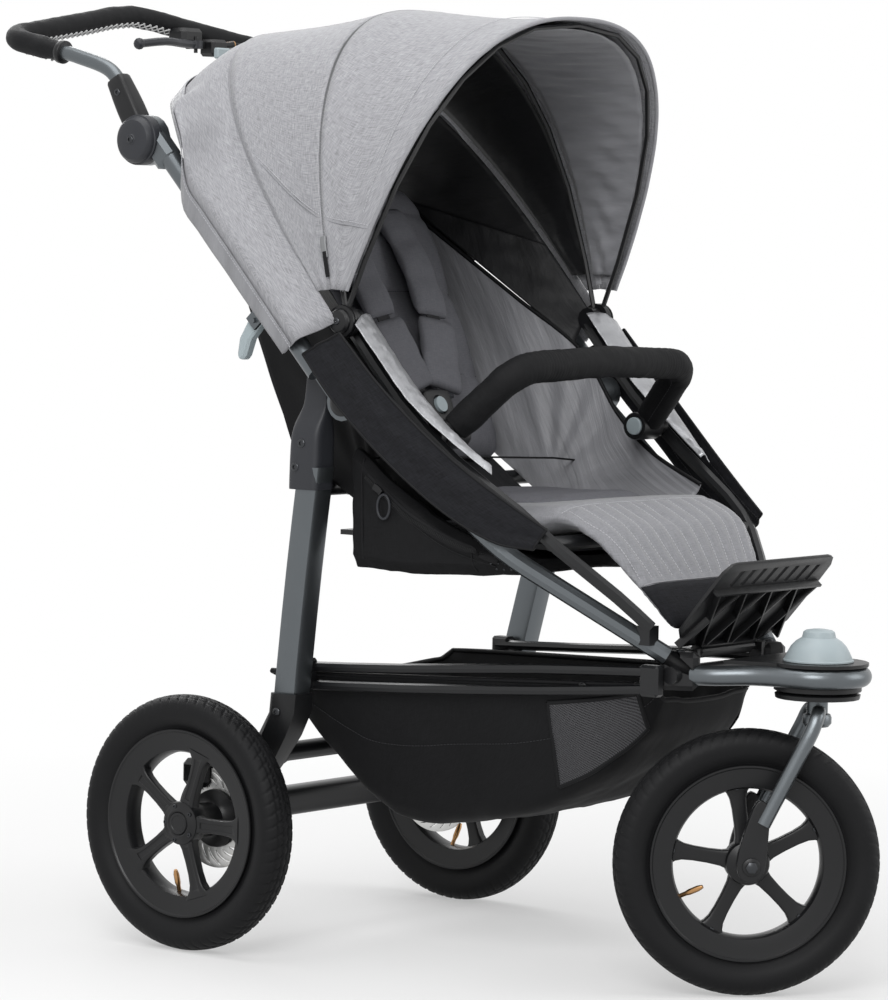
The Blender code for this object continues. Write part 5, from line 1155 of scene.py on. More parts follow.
def frame_details():
    """Screws, washers and caps over the frame's joints."""
    chassis, black = [], FINISHES["screw"]
    for side in SIDES.values():
        out = Vector((side, 0, 0))
        for place in ((-0.165, 0.612), (-0.156, 0.584)):
            chassis.append(screw_head("bracket_screw", on_side(0.2654, place, side), out, 0.0052, black))
        chassis.append(screw_head("eye_screw", on_side(0.2525, (-0.174, 0.704), side), out, 0.0060, black))
        chassis.append(screw_head("foot_screw", on_side(0.2392, (-0.112, 0.292), side), out, 0.0050, black))
        chassis.append(screw_head("pivot_screw", on_side(0.2548, (-0.214, 0.755), side), out, 0.0080, black))
        chassis.append(
            screw_head("block_screw", spot(side * 0.0905, -0.584, 0.3905), Vector((0, 0, 1)), 0.0050, black)
        )
    worn_by(joined("frame_screws", chassis), "chassis", "black_metal")
    for word, side in SIDES.items():
        out = Vector((side, 0, 0))
        boss = [(0.0003, 0.0045), (0.0100, 0.0045), (0.0135, 0.0035)]
        boss += [(0.0165, 0.0012), (0.0165, -0.0004), (0.0003, -0.0004)]
        place = on_side(HUB[0] + 0.0263, HUB[1:], side)
        turn = turned_out_at(place, side)
        cap = lathe("hub_cap_disc_" + word, boss, turn, FINISHES["plastic"], 40, sharp=30)
        screw = screw_head("hub_cap_screw", place + out * 0.0044, out, 0.0050, black)
        worn_by(joined("fold_hub_cap_" + word, [cap, screw]), "pusher", "black_plastic")


class STROLLER_OT_frame(bpy.types.Operator):
    """Tubes, brackets, fork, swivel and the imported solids' finishes"""

    bl_idname = "stroller.frame"
    bl_label = "Frame"

    def execute(self, context):
        for finish, nodes in DRESSED.items():
            for node in nodes:
                dress(node, finish)
        fork()
        hoop()
        leg_heads()
        frame_details()
        return {"FINISHED"}


# Handle


def handle_line():
    """The handle's tube as two lines: an arm from its hinge, and the bend to the middle."""
    straight = [
        (PUSHER_X, y, z) for y, z in ((0.1120, 1.0130), (0.1290, 1.0360), (0.1500, 1.0500), (0.1990, 1.0640))
    ]
    corner = rounded_line(
        [(PUSHER_X, 0.205, 1.0650), (0.262, 0.318, 1.0870), (0.0, 0.3500, 1.1260)], [0.045], 12
    )
    middle = smooth_line([corner[-2], (0.100, 0.3400, 1.1120), (0.045, 0.3465, 1.1215), corner[-1]], 6)
    arm = [spot(*p) for p in smooth_line(straight, 6)]
    bend = [spot(*p) for p in [*corner[1:-2], *middle]]
    return arm, bend


def grip_surface(path, radius, angle_deg):
    """A line of (point, out) pairs on the grip, at an angle round it from straight forwards and down."""
    made = []
    for point, _, _ in carried(path, (0, 0, 1)):
        i = len(made)
        ahead = (path[min(i + 1, len(path) - 1)] - path[max(i - 1, 0)]).normalized()
        down = Vector((0, 0, -1))
        down = (down - ahead * down.dot(ahead)).normalized()
        out = Matrix.Rotation(math.radians(angle_deg), 3, ahead) @ down
        made.append((point + out * radius, out))
    return made


def hinge_sleeves():
    """Sleeves over the handle's ends, with the round hinge discs and their screws."""
    made = []
    for side in SIDES.values():
        out = Vector((side, 0, 0))
        low = on_side(PUSHER_X, HINGE, side)
        high = on_side(PUSHER_X, (0.1285, 1.0370), side)
        along = (high - low).normalized()
        path = [low + along * s for s in (0.020, 0.030, 0.045, 0.060, 0.074, 0.083, 0.0855)]
        widths = (0.96, 1.0, 1.0, 0.96, 0.90, 0.86, 0.78)
        section = soft_box(0.0150, 0.0128, 4.5, 32)
        grow = lambda s: widths[min(6, round(s * 6))]
        made.append(
            sweep("bar_sleeve", path, section, FINISHES["plastic"], grow=grow, up=(0, 1, 0), sharp=50)
        )
        turn = turned_out_at(on_side(PUSHER_X + 0.0008, HINGE, side), side)
        disc = [
            (0.0003, 0.0255), (0.0060, 0.0255), (0.0068, 0.0246), (0.0180, 0.0240),
            (0.0235, 0.0222), (0.0270, 0.0185), (0.0280, 0.0150), (0.0280, 0.0140),
            (0.0296, 0.0132), (0.0300, 0.0118), (0.0300, 0.0006), (0.0003, 0.0004),
        ]
        made.append(lathe("hinge_disc", disc, turn, FINISHES["dark"], 72, sharp=28))
        made.append(screw_head("hinge_screw", turn @ Vector((0, 0, 0.0253)), out, 0.0046, FINISHES["screw"]))
        place = low + along * 0.066 + Vector((side * 0.0118, 0, 0))
        made.append(screw_head("sleeve_screw", place, out, 0.0042, FINISHES["screw"]))
    return made


def laced_grip(path, lacing_gap):
    """The grip's cover with its creases, the crossed lacing below it and a collar at each end."""
    rows = []
    for i, (point, first, second) in enumerate(carried(path, (0, 0, 1))):
        share = i / (len(path) - 1)
        taper = min(1.0, 0.72 + 6.0 * min(share, 1 - share))
        row = []
        for k in range(28):
            angle = 2 * math.pi * k / 28
            out = first * math.cos(angle) + second * math.sin(angle)
            crease = (
                noise.noise(point * 55 + out * 1.4) * 0.0007 + noise.noise(point * 160 + out * 3) * 0.0003
            )
            row.append(point + out * (0.0137 * taper + crease))
        rows.append(row)
    made = grid("grip_pad", rows, FINISHES["foam"], ring=True, ends=True)
    worn_by(made, "handle", "foam", "handle_grip")
    line = grip_surface(path, 0.0141, LACING_DEG)[6:-6]
    laces = []
    for name, lean in (("lace", 0.62), ("lace_back", -0.62)):
        laces.append(stitches(name, line, FINISHES["lace"], lacing_gap, 0.0165, 0.0010, lean, 8))
    worn_by(joined("grip_lacing", laces), "handle", "foam")
    collars = []
    for end, inner in ((path[0], path[1]), (path[-1], path[-2])):
        ahead = (inner - end).normalized()
        start, stop = end - ahead * 0.001, end + ahead * 0.007
        collars.append(rod("grip_collar", start, stop, 0.0142, FINISHES["plastic"], 32, 0.0012))
    worn_by(joined("grip_collars", collars), "handle", "black_plastic")


def brake_cable():
    """The cable's housing from the lever to the pusher tube, with a fitting at each end."""
    route = [
        (0.1425, 0.2998, 1.0961), (0.160, 0.2960, 1.0950), (0.200, 0.2880, 1.0840), (0.2300, 0.2660, 1.0640)
    ]
    route += [(0.2500, 0.2300, 1.0520), (0.2520, 0.1950, 1.0480), (0.2530, 0.1660, 1.0430)]
    line = smooth_line([spot(*p) for p in route], 8)
    worn_by(
        sweep("brake_housing", line, ring_of(0.0022, 16), FINISHES["cable"]), "handle", "cable", "brake_cable"
    )
    ends = (spot(0.1300, 0.3036, 1.0941), spot(0.1440, 0.2993, 1.0965))
    brass = rod("cable_adjuster", *ends, 0.0042, FINISHES["brass"], 20)
    ends = (spot(0.2528, 0.1760, 1.0450), spot(0.2530, 0.1660, 1.0430))
    ferrule = rod("cable_ferrule", *ends, 0.0034, FINISHES["brass"], 16)
    worn_by(joined("cable_fittings", [brass, ferrule]), "handle", "steel")


class STROLLER_OT_handle(bpy.types.Operator):
    """Handle bar with its hinges, sleeves, laced grip, hand brake and cable"""

    bl_idname = "stroller.handle"
    bl_label = "Handle"

    def execute(self, context):
        arm, bend = handle_line()
        tube = sweep(
            "handle_tube", both_ways([*arm, *bend]), ring_of(0.0089, 28), FINISHES["frame"], up=(1, 0, 0)
        )
        sleeves = hinge_sleeves()
        worn_by(tube, "handle", "grey_metal", "handle_bar")
        worn_by(joined("handle_sleeves", sleeves), "handle", "black_plastic")
        path = even_line(both_ways([arm[-1] + (bend[0] - arm[-1]) * 0.2, *bend]), 220)
        laced_grip(path, context.scene.stroller_sizes.lacing_gap)
        brake_cable()
        return {"FINISHED"}


# Cloth surfaces


def fine_rows(rows, across=4, along=4):
    """The same surface with more points each way, on smooth curves."""
    wide = [smooth_line(row, across) for row in rows]
    columns = [smooth_line([row[j] for row in wide], along) for j in range(len(wide[0]))]
    return [[column[i] for column in columns] for i in range(len(columns[0]))]


def facing(rows, i, j):
    """The surface's direction out at a point of the rows."""
    up = Vector(rows[min(i + 1, len(rows) - 1)][j]) - Vector(rows[max(i - 1, 0)][j])
    over = Vector(rows[i][min(j + 1, len(rows[0]) - 1)]) - Vector(rows[i][max(j - 1, 0)])
    return over.cross(up).normalized()


def moved(rows, height):
    """Each point moved along the surface's direction by height(share along, share across, point)."""
    last_i, last_j = len(rows) - 1, len(rows[0]) - 1
    return [
        [Vector(p) + facing(rows, i, j) * height(i / last_i, j / last_j, Vector(p)) for j, p in enumerate(row)]
        for i, row in enumerate(rows)
    ]


def wrinkle(p, scale, height, stretch=(1, 1, 1)):
    q = Vector((p.x * stretch[0], p.y * stretch[1], p.z * stretch[2])) * scale
    return height * (noise.noise(q) + 0.5 * noise.noise(q * 2.1 + Vector((3, 7, 1))))


def area_of(obj):
    """Area of a cloth's middle surface, from its own faces before it gets its thickness."""
    return sum(face.area for face in obj.data.polygons)


def edge_line(rows, which):
    """The points along one edge of the rows, with the surface's direction out."""
    last_i, last_j = len(rows) - 1, len(rows[0]) - 1
    if which in ("first", "last"):
        i = 0 if which == "first" else last_i
        return [(Vector(p), facing(rows, i, j)) for j, p in enumerate(rows[i])]
    j = 0 if which == "left" else last_j
    return [(Vector(row[j]), facing(rows, i, j)) for i, row in enumerate(rows)]


def lifted(line, height, inwards=None, amount=0.0):
    """The line raised off its surface, and shifted sideways towards another line."""
    made = []
    for k, (point, out) in enumerate(line):
        shift = Vector((0, 0, 0))
        if inwards:
            toward = inwards[k][0] - point
            shift = toward.normalized() * amount if toward.length > 1e-6 else shift
        made.append((point + shift + out * height, out))
    return made


def framed(line):
    """Each point of a line of (point, out) pairs, with out made square to the line and the way beside it."""
    last = len(line) - 1
    for i, (point, out) in enumerate(line):
        ahead = (line[min(i + 1, last)][0] - line[max(i - 1, 0)][0]).normalized()
        out = (out - ahead * out.dot(ahead)).normalized()
        yield point, out, ahead.cross(out)


def welt(name, line, radius, finish, height=0.0, flat=1.0, sides=10):
    """A piping or binding along a line of (point, out) pairs."""
    rows = []
    for point, out, beside in framed(line):
        rows.append(
            [point + out * (height + radius * y) + beside * (radius * flat * x) for x, y in ring_of(1.0, sides)]
        )
    return grid(name, rows, finish, ring=True, ends=True)


# Canopy

PIVOT = (-0.214, 0.755)
DOME_WIDTH = 0.262
DOME_POWER = 2.6
BOWS = ((112.7, 0.383), (77.0, 0.376), (50.0, 0.446))


def dome_reach(angle_deg):
    """How far the cloth's top is from the pivots, straight between the bows."""
    for (a1, r1), (a2, r2) in zip(BOWS, BOWS[1:]):
        if angle_deg >= a2 - 1e-6:
            first, second = math.radians(a1 - angle_deg), math.radians(angle_deg - a2)
            whole = math.radians(a1 - a2)
            return r1 * r2 * math.sin(whole) / (r1 * math.sin(first) + r2 * math.sin(second))
    return BOWS[-1][1]


def dome_point(angle_deg, t, lift=0.0):
    """A point of the canopy: angle from front to rear about the pivots, t over the arch from side to side."""
    reach = dome_reach(angle_deg) + lift
    width = DOME_WIDTH + lift
    c, s = math.cos(t), math.sin(t)
    x = width * math.copysign(abs(c) ** (2 / DOME_POWER), c)
    r = reach * abs(s) ** (2 / DOME_POWER)
    a = math.radians(angle_deg)
    return spot(x, PIVOT[0] + r * math.cos(a), PIVOT[1] + r * math.sin(a))


def dome_rows(from_deg, to_deg, rows, columns, lift, first_t=0.05, sag=0.0, ruffle=None):
    made = []
    for i in range(rows + 1):
        share = i / rows
        angle = from_deg + (to_deg - from_deg) * share
        row = []
        for j in range(columns + 1):
            across = j / columns
            t = first_t + (math.pi - 2 * first_t) * across
            dip = -sag * math.sin(math.pi * share) * math.sin(t) ** 0.5
            if ruffle:
                dip += ruffle(share, across)
            row.append(dome_point(angle, t, lift + dip))
        made.append(row)
    return made


def dome_line(points, lift, steps=10):
    """A line on the canopy through (angle, t) points, with its directions out."""
    made = []
    for flat in smooth_line([(a, t, 0) for a, t in points], steps):
        p = dome_point(flat.x, flat.y, lift)
        q = dome_point(flat.x, flat.y, lift + 0.01)
        made.append((p, (q - p).normalized()))
    return made


def ruched(share, across):
    """Gathers that run from the bow towards the hem, deepest at the sides."""
    side = abs(across - 0.5) * 2
    wave = (
        math.sin(across * 150 + 2.2 * math.sin(share * 5 + across * 9)) + 0.5 * math.sin(across * 331 + share * 4)
    )
    return wave * 0.0011 * (0.35 + side) * (0.3 + math.sin(math.pi * share))


SHEETS = []


def cloth_piece(
    name, rows, finish, thickness, body, slot_name, nodes=(), blend=None, held="stretched", offset=-1.0
):
    """A sheet of cloth from its rows, listed in SHEETS with the size it was cut to."""
    made = grid(name, rows, FINISHES[finish], sharp=180)
    area = area_of(made)
    length = max(length_of([row[j] for row in rows]) for j in (0, len(rows[0]) // 2, len(rows[0]) - 1))
    width = max(length_of(row) for row in (rows[0], rows[len(rows) // 2], rows[-1]))
    thick(made, thickness, offset)
    if blend:
        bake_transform(made)
        if nodes:
            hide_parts(*nodes)
    else:
        worn_by(made, body, slot_name, *nodes)
    SHEETS.append((made, width, length, area, held))
    return made


def declare_sheets():
    """Works out every sheet's flat size from the size it was cut to, shrunk where the cut shape fills too little of it;
    the result is not kept.
    """
    for made, width, length, area, held in SHEETS:
        span = width * length
        scale = max(1.0, area / span) if span else 1.0
        flat = (width * math.sqrt(scale), length * math.sqrt(scale))
        share = area / (flat[0] * flat[1])
        if share < 0.31:
            trim = math.sqrt(share / 0.35)
            flat = (flat[0] * trim, flat[1] * trim)
        min(area, flat[0] * flat[1])


REAR_EDGE = [
    (0.2812, -0.1500, 0.7160), (0.2812, -0.0900, 0.7790), (0.2812, -0.0300, 0.8430),
    (0.2812, 0.0100, 0.8860), (0.2812, 0.0080, 0.9400), (0.2660, 0.0330, 0.9760),
    (0.2450, 0.0600, 0.9960), (0.2000, 0.0980, 1.0120), (0.1200, 0.1180, 1.0280),
    (0.0000, 0.1300, 1.0400),
]


def rear_rows(lift):
    """The fixed rear of the canopy, from the rear bow to its edge over the pusher tubes."""
    count = 40
    first = [dome_point(50.0, math.pi * j / count, lift) for j in range(count + 1)]
    edge = even_line(both_ways([spot(*p) for p in REAR_EDGE]), count)
    rows = []
    steps = 4
    for i in range(steps + 1):
        share = i / steps
        row = []
        for near, far in zip(first, edge):
            point = near.lerp(far, share)
            if share > 0 and abs(far.x) > 0.255:
                point.x = near.x + (far.x - near.x) * min(1.0, 0.15 + max(0.0, i - 1) * 0.85)
            bulge = 0.020 * math.sin(math.pi * share)
            side_share = min(1.0, abs(point.x) / DOME_WIDTH)
            flare = 0.010 * math.sin(math.pi * share) * side_share + lift * 0.6 * share * side_share
            out = math.copysign(flare, point.x) if abs(point.x) > 1e-6 else 0.0
            row.append(point + Vector((out, 0, (bulge + lift * share) * (1 - side_share))))
        rows.append(row)
    return fine_rows(rows, 3, 6)


CLOTH_LIFT = 0.0026
SPAN = [0.06 + (math.pi - 0.12) * k / 120 for k in range(121)]


def loose(share, across):
    """Slack of a tight cloth: small waves that grow towards its sides."""
    side = abs(across - 0.5) * 2
    waves = noise.noise(Vector((across * 34, share * 5, 2.0))) * 0.0014 * side**3
    return waves + noise.noise(Vector((across * 9, share * 3, 5))) * 0.0010


def over(angle, lift):
    """A line over the canopy from side to side."""
    return dome_line([(angle, t) for t in SPAN], lift, 1)


def mirrored(t, side):
    return t if side == 1 else math.pi - t


def canopy_zip():
    """The zip over the middle bow, with its tape, edges, teeth, sliders and tabs."""
    tapes = [welt("zip_tape", over(77.0, CLOTH_LIFT - 0.0004), 0.0011, FINISHES["band"], 0.0, 4.4)]
    for angle in (75.7, 78.3):
        tapes.append(welt("zip_edge", over(angle, CLOTH_LIFT), 0.0009, FINISHES["piping"]))
    line = over(77.0, CLOTH_LIFT + 0.0009)
    teeth = [stitches("zip_teeth", line, FINISHES["zip"], 0.0019, 0.0034, 0.00062, math.pi / 2, 5)]
    pulls = (
        ("zip_slider", 77.0, ((0.175, 0.0030), (0.150, 0.0042), (0.120, 0.0036)), (0.0040, 0.0016), "zip"),
        ("zip_tab", 77.6, ((0.135, 0.0052), (0.105, 0.0050), (0.075, 0.0044)), (0.0026, 0.0010), "binding"),
    )
    for side in SIDES.values():
        for name, angle, places, half, finish in pulls:
            ends = [dome_point(angle, mirrored(t, side), CLOTH_LIFT + lift) for t, lift in places]
            section = soft_box(*half, 4, 16)
            tapes.append(sweep(name, smooth_line(ends, 4), section, FINISHES[finish], up=(0, 1, 0)))
    worn_by(joined("canopy_zip", tapes + teeth), "canopy_mid", "light_cloth")


def canopy_rear(cloth, stitch_gap):
    """The fixed rear cloth, the satin band inside its edge and the seam over the rear bow."""
    rear = rear_rows(CLOTH_LIFT * 0.9)
    rear = moved(rear, lambda a, b, p: wrinkle(p, 16, 0.0011, (1, 1, 0.6)))
    cloth_piece("canopy_back", rear, "canopy", cloth, "chassis", "light_cloth", ("canopy_rear",), offset=1.0)
    inside = spot(0, -0.150, 0.800)
    band = [[p + (p - inside).normalized() * 0.0024 for p in row] for row in rear[-8:]]
    cloth_piece("rear_edge_band", band, "satin", 0.0008, "chassis", "satin_cloth", offset=0.0)
    outs = [(p - inside).normalized() for p in band[1]]
    line = [(p + out * 0.0006, out) for p, out in zip(band[1], outs)]
    worn_by(stitches("rear_band_stitch", line, FINISHES["thread"], stitch_gap), "chassis", "satin_cloth")
    line = [(dome_point(50.2, t, CLOTH_LIFT + 0.0002), Vector((0, 0, 1))) for t in SPAN[3:-3]]
    worn_by(welt("rear_bow_seam", line, 0.0012, FINISHES["piping"]), "chassis", "light_cloth")


def side_seam(name, places, side, stitch_gap):
    """A seam up the canopy's side through (angle, distance from the pivots) places, with its stitches."""
    points = []
    for angle, reach in places:
        t = math.asin(min(1.0, (reach / dome_reach(angle)) ** (DOME_POWER / 2)))
        points.append((angle, mirrored(t, side)))
    line = dome_line(points, CLOTH_LIFT + 0.0002, 8)
    parts = [welt("side_seam", line, 0.0010, FINISHES["piping"])]
    above = [(p + Vector((0, 0, 0.004)), out) for p, out in line]
    parts.append(stitches("side_stitch", above, FINISHES["thread"], stitch_gap))
    piece = joined(name, parts)
    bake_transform(piece)


def canopy_pivot(word, side):
    """The cap over the canopy's pivot, with its screw."""
    turn = turned_out_at(on_side(0.2560, PIVOT, side), side)
    disc = [(0.0003, 0.0090), (0.0085, 0.0088), (0.0120, 0.0078), (0.0145, 0.0050)]
    disc += [(0.0150, 0.0020), (0.0185, 0.0010), (0.0190, -0.0010), (0.0003, -0.0010)]
    cap = lathe("pivot_cap", disc, turn, FINISHES["plastic"], 48, sharp=28)
    place = turn @ Vector((0, 0, 0.0088))
    screw = screw_head("pivot_cap_screw", place, Vector((side, 0, 0)), 0.0042, FINISHES["screw"])
    worn_by(joined("canopy_pivot_" + word, [cap, screw]), "chassis", "black_plastic")


class STROLLER_OT_canopy(bpy.types.Operator):
    """Canopy cloths with their lining, seams, zip, hem and rear part"""

    bl_idname = "stroller.canopy"
    bl_label = "Canopy"

    def execute(self, context):
        sizes = context.scene.stroller_sizes
        cloth, gap = sizes.cloth, sizes.stitch_gap
        mid_tip, front_tip = dome_point(77, math.pi / 2), dome_point(112.7, math.pi / 2)
        rear_tip = dome_point(50, math.pi / 2)
        visor_blend = ("canopy_mid", "canopy_front", mid_tip, front_tip)
        panel_blend = ("chassis", "canopy_mid", rear_tip, mid_tip)

        visor = dome_rows(112.7, 77.4, 22, 150, CLOTH_LIFT, sag=0.005, ruffle=loose)
        cloth_piece(
            "visor_cloth", visor, "canopy", cloth, None, "light_cloth", ("canopy_visor",), visor_blend
        )
        panel = dome_rows(76.6, 50.4, 18, 150, CLOTH_LIFT, sag=0.004, ruffle=loose)
        cloth_piece(
            "panel_cloth", panel, "canopy", cloth, None, "light_cloth", ("canopy_panel",), panel_blend
        )
        visor_lining = dome_rows(110.5, 79.0, 22, 360, -0.0095, 0.09, sag=0.004, ruffle=ruched)
        cloth_piece(
            "visor_lining", visor_lining, "satin", 0.0008, None, "satin_cloth", (), visor_blend, "gathered"
        )
        panel_lining = dome_rows(75.0, 51.0, 16, 150, -0.0095, 0.09, sag=0.004, ruffle=loose)
        cloth_piece("panel_lining", panel_lining, "lining", 0.0008, None, "black_cloth", (), panel_blend)

        front, inner = edge_line(visor, "first"), edge_line(visor[4:], "first")
        hem = welt("visor_hem", front, 0.0024, FINISHES["piping"], -0.0008)
        threads = []
        for name, inset in (("hem_stitch", 0.0085), ("hem_stitch_b", 0.0125)):
            threads.append(stitches(name, lifted(front, 0.0004, inner, inset), FINISHES["thread"], gap))
        band = [(104.0, t) for t in SPAN[8:-8]]
        threads.append(
            stitches("visor_stitch", dome_line(band, CLOTH_LIFT + 0.0003, 1), FINISHES["thread"], gap)
        )
        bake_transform(hem)
        thread_piece = joined("visor_stitches", threads)
        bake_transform(thread_piece)

        canopy_zip()
        canopy_rear(cloth, gap)
        panel_seam = ((52.0, 0.235), (58, 0.182), (64, 0.150), (71, 0.129), (75.5, 0.121))
        visor_seam = ((78.5, 0.118), (88, 0.112), (100, 0.111), (112, 0.114))
        for word, side in SIDES.items():
            side_seam("panel_side_seam_" + word, panel_seam, side, gap)
            side_seam("visor_side_seam_" + word, visor_seam, side, gap)
            canopy_pivot(word, side)
        return {"FINISHED"}


# Padded pieces

BACK_DEG = 66.0
BACK_ALONG = Vector((0, math.cos(math.radians(BACK_DEG)), math.sin(math.radians(BACK_DEG))))
BACK_OUT = Vector((0, -math.sin(math.radians(BACK_DEG)), math.cos(math.radians(BACK_DEG))))


def back_place(x, s, out):
    """A point by the backrest's own measures: across, up from its hinge and out from its middle plane."""
    return spot(x, -0.140, 0.556) + BACK_ALONG * s + BACK_OUT * out


SHELL_FACE = -0.0290
PAD_MIDDLE = 0.0060
PAD_HALF = 0.0200
SIDE_BEND = ("chassis", "backrest", back_place(0, 0, 0.050), back_place(0, 0, -0.010))


def pad_rings(stations, count, steps, power=3.4, shape=None):
    """Rings of a pad through its stations of (y, z, half width, half thickness)."""
    line = smooth_line([(0, y, z) for y, z, _, _ in stations], steps)
    sizes = smooth_line([(w, h, 0) for _, _, w, h in stations], steps)
    rows, last = [], len(line) - 1
    for i, (middle, size) in enumerate(zip(line, sizes)):
        ahead = (line[min(i + 1, last)] - line[max(i - 1, 0)]).normalized()
        out = Vector((0, -ahead.z, ahead.y))
        row = []
        for u, v in soft_box(size.x, max(0.0015, size.y), power, count):
            extra = shape(i / last, u / size.x, v > 0) if shape else 0.0
            row.append(spot(0, 0, 0) + middle + Vector((u, 0, 0)) + out * (v + extra))
        rows.append(row)
    return rows


def box_uv(obj):
    """A UV map in metres, from the side that each face looks to."""
    layer = obj.data.uv_layers.get("UVMap") or obj.data.uv_layers.new(name="UVMap")
    for face in obj.data.polygons:
        n = face.normal
        a, b = (1, 2) if abs(n.x) > max(abs(n.y), abs(n.z)) else ((0, 2) if abs(n.y) > abs(n.z) else (0, 1))
        for corner in face.loop_indices:
            point = obj.data.vertices[obj.data.loops[corner].vertex_index].co
            layer.data[corner].uv = (point[a], point[b])
    return obj


def swollen(obj, voxel, cap, pressure=4.0, frames=20):
    """The pad sewn from cloth and blown up a little, with no point further than cap from its first place."""
    remesh = obj.modifiers.new("even_faces", "REMESH")
    remesh.mode = "VOXEL"
    remesh.voxel_size = voxel
    settled(obj)
    first = [v.co.copy() for v in obj.data.vertices]
    cloth = obj.modifiers.new("Cloth", "CLOTH")
    cloth.settings.use_pressure = True
    cloth.settings.uniform_pressure_force = pressure
    cloth.settings.effector_weights.gravity = 0
    cloth.settings.quality = 4
    cloth.point_cache.frame_start = 1
    cloth.point_cache.frame_end = frames
    scene = bpy.context.scene
    for number in range(1, frames + 1):
        scene.frame_set(number)
    settled(obj)
    scene.frame_set(1)
    for vertex, start in zip(obj.data.vertices, first):
        move = vertex.co - start
        if move.length > cap:
            vertex.co = start + move * (cap / move.length)
    soft = obj.modifiers.new("soft", "SUBSURF")
    soft.levels = soft.render_levels = 1
    settled(obj)
    obj.data.shade_smooth()
    return box_uv(obj)


def drawn_in(obj, lines, depth, width):
    """Sewn channels: the surface sinks along each line."""
    points = [p for line in lines for p in even_line(line, max(2, round(length_of(line) / 0.002)))]
    tree = KDTree(len(points))
    for i, p in enumerate(points):
        tree.insert(p, i)
    tree.balance()
    normals = [v.normal.copy() for v in obj.data.vertices]
    for vertex, out in zip(obj.data.vertices, normals):
        _, _, distance = tree.find(vertex.co)
        if distance < width * 3:
            vertex.co -= out * depth * math.exp(-((distance / width) ** 2))
    obj.data.update()
    return obj


def rumpled(obj, scale, height, stretch=(1, 1, 1)):
    """Soft wrinkles along the surface's own directions."""
    normals = [v.normal.copy() for v in obj.data.vertices]
    for vertex, out in zip(obj.data.vertices, normals):
        vertex.co += out * wrinkle(vertex.co, scale, height, stretch)
    obj.data.update()
    return obj


def laid_on(obj, points, lift, toward=None):
    """The points laid on the object's surface and lifted off it, as (point, out) pairs."""
    tree = BVHTree.FromPolygons([v.co for v in obj.data.vertices], [p.vertices for p in obj.data.polygons])
    made = []
    for p in points:
        found = None
        if toward is not None:
            place, normal, _, _ = tree.ray_cast(p + toward * 0.08, -toward)
            found = (place, normal) if place is not None else None
        if found is None:
            place, normal, _, _ = tree.find_nearest(p)
            found = (place, normal)
        made.append((found[0] + found[1] * lift, found[1]))
    return made


def smooth_pairs(pairs, rounds=4):
    for _ in range(rounds):
        inner = [
            ((a[0] + b[0] * 2 + c[0]) / 4, (a[1] + b[1] * 2 + c[1]).normalized())
            for a, b, c in zip(pairs, pairs[1:], pairs[2:])
        ]
        pairs = [pairs[0], *inner, pairs[-1]]
    return pairs


def strap(name, line, width, thickness, finish):
    """Webbing along (point, out) pairs: a flat band with soft edges."""
    section = soft_box(width / 2, thickness / 2, 5.0, 20)
    rows = [[point + beside * u + out * v for u, v in section] for point, out, beside in framed(line)]
    return grid(name, rows, FINISHES[finish], ring=True, ends=True)


def quilted(name, line, width, thickness, finish, seams=(), crown=0.4):
    """A soft flat pad along (point, out) pairs, with sewn lines across it at the given shares."""
    rows = []
    last = len(line) - 1
    for i, (point, out, beside) in enumerate(framed(line)):
        share = i / last
        end = min(1.0, min(share, 1 - share) * last / 2.2)
        dip = sum(math.exp(-(((share - s) * last / 1.3) ** 2)) for s in seams)
        swell = (0.35 + 0.65 * end**0.5) * (1 - 0.35 * min(1.0, dip))
        row = []
        for u, v in soft_box(width / 2 * (0.90 + 0.10 * end**0.5), thickness / 2 * swell, 2.8, 36):
            lump = noise.noise((point + beside * u) * 60) * 0.0008 * (1 + crown)
            row.append(point + beside * u + out * (v + lump * (1 if v > 0 else -1)))
        rows.append(row)
    return grid(name, rows, FINISHES[finish], ring=True, ends=True, sharp=180)


# Seat


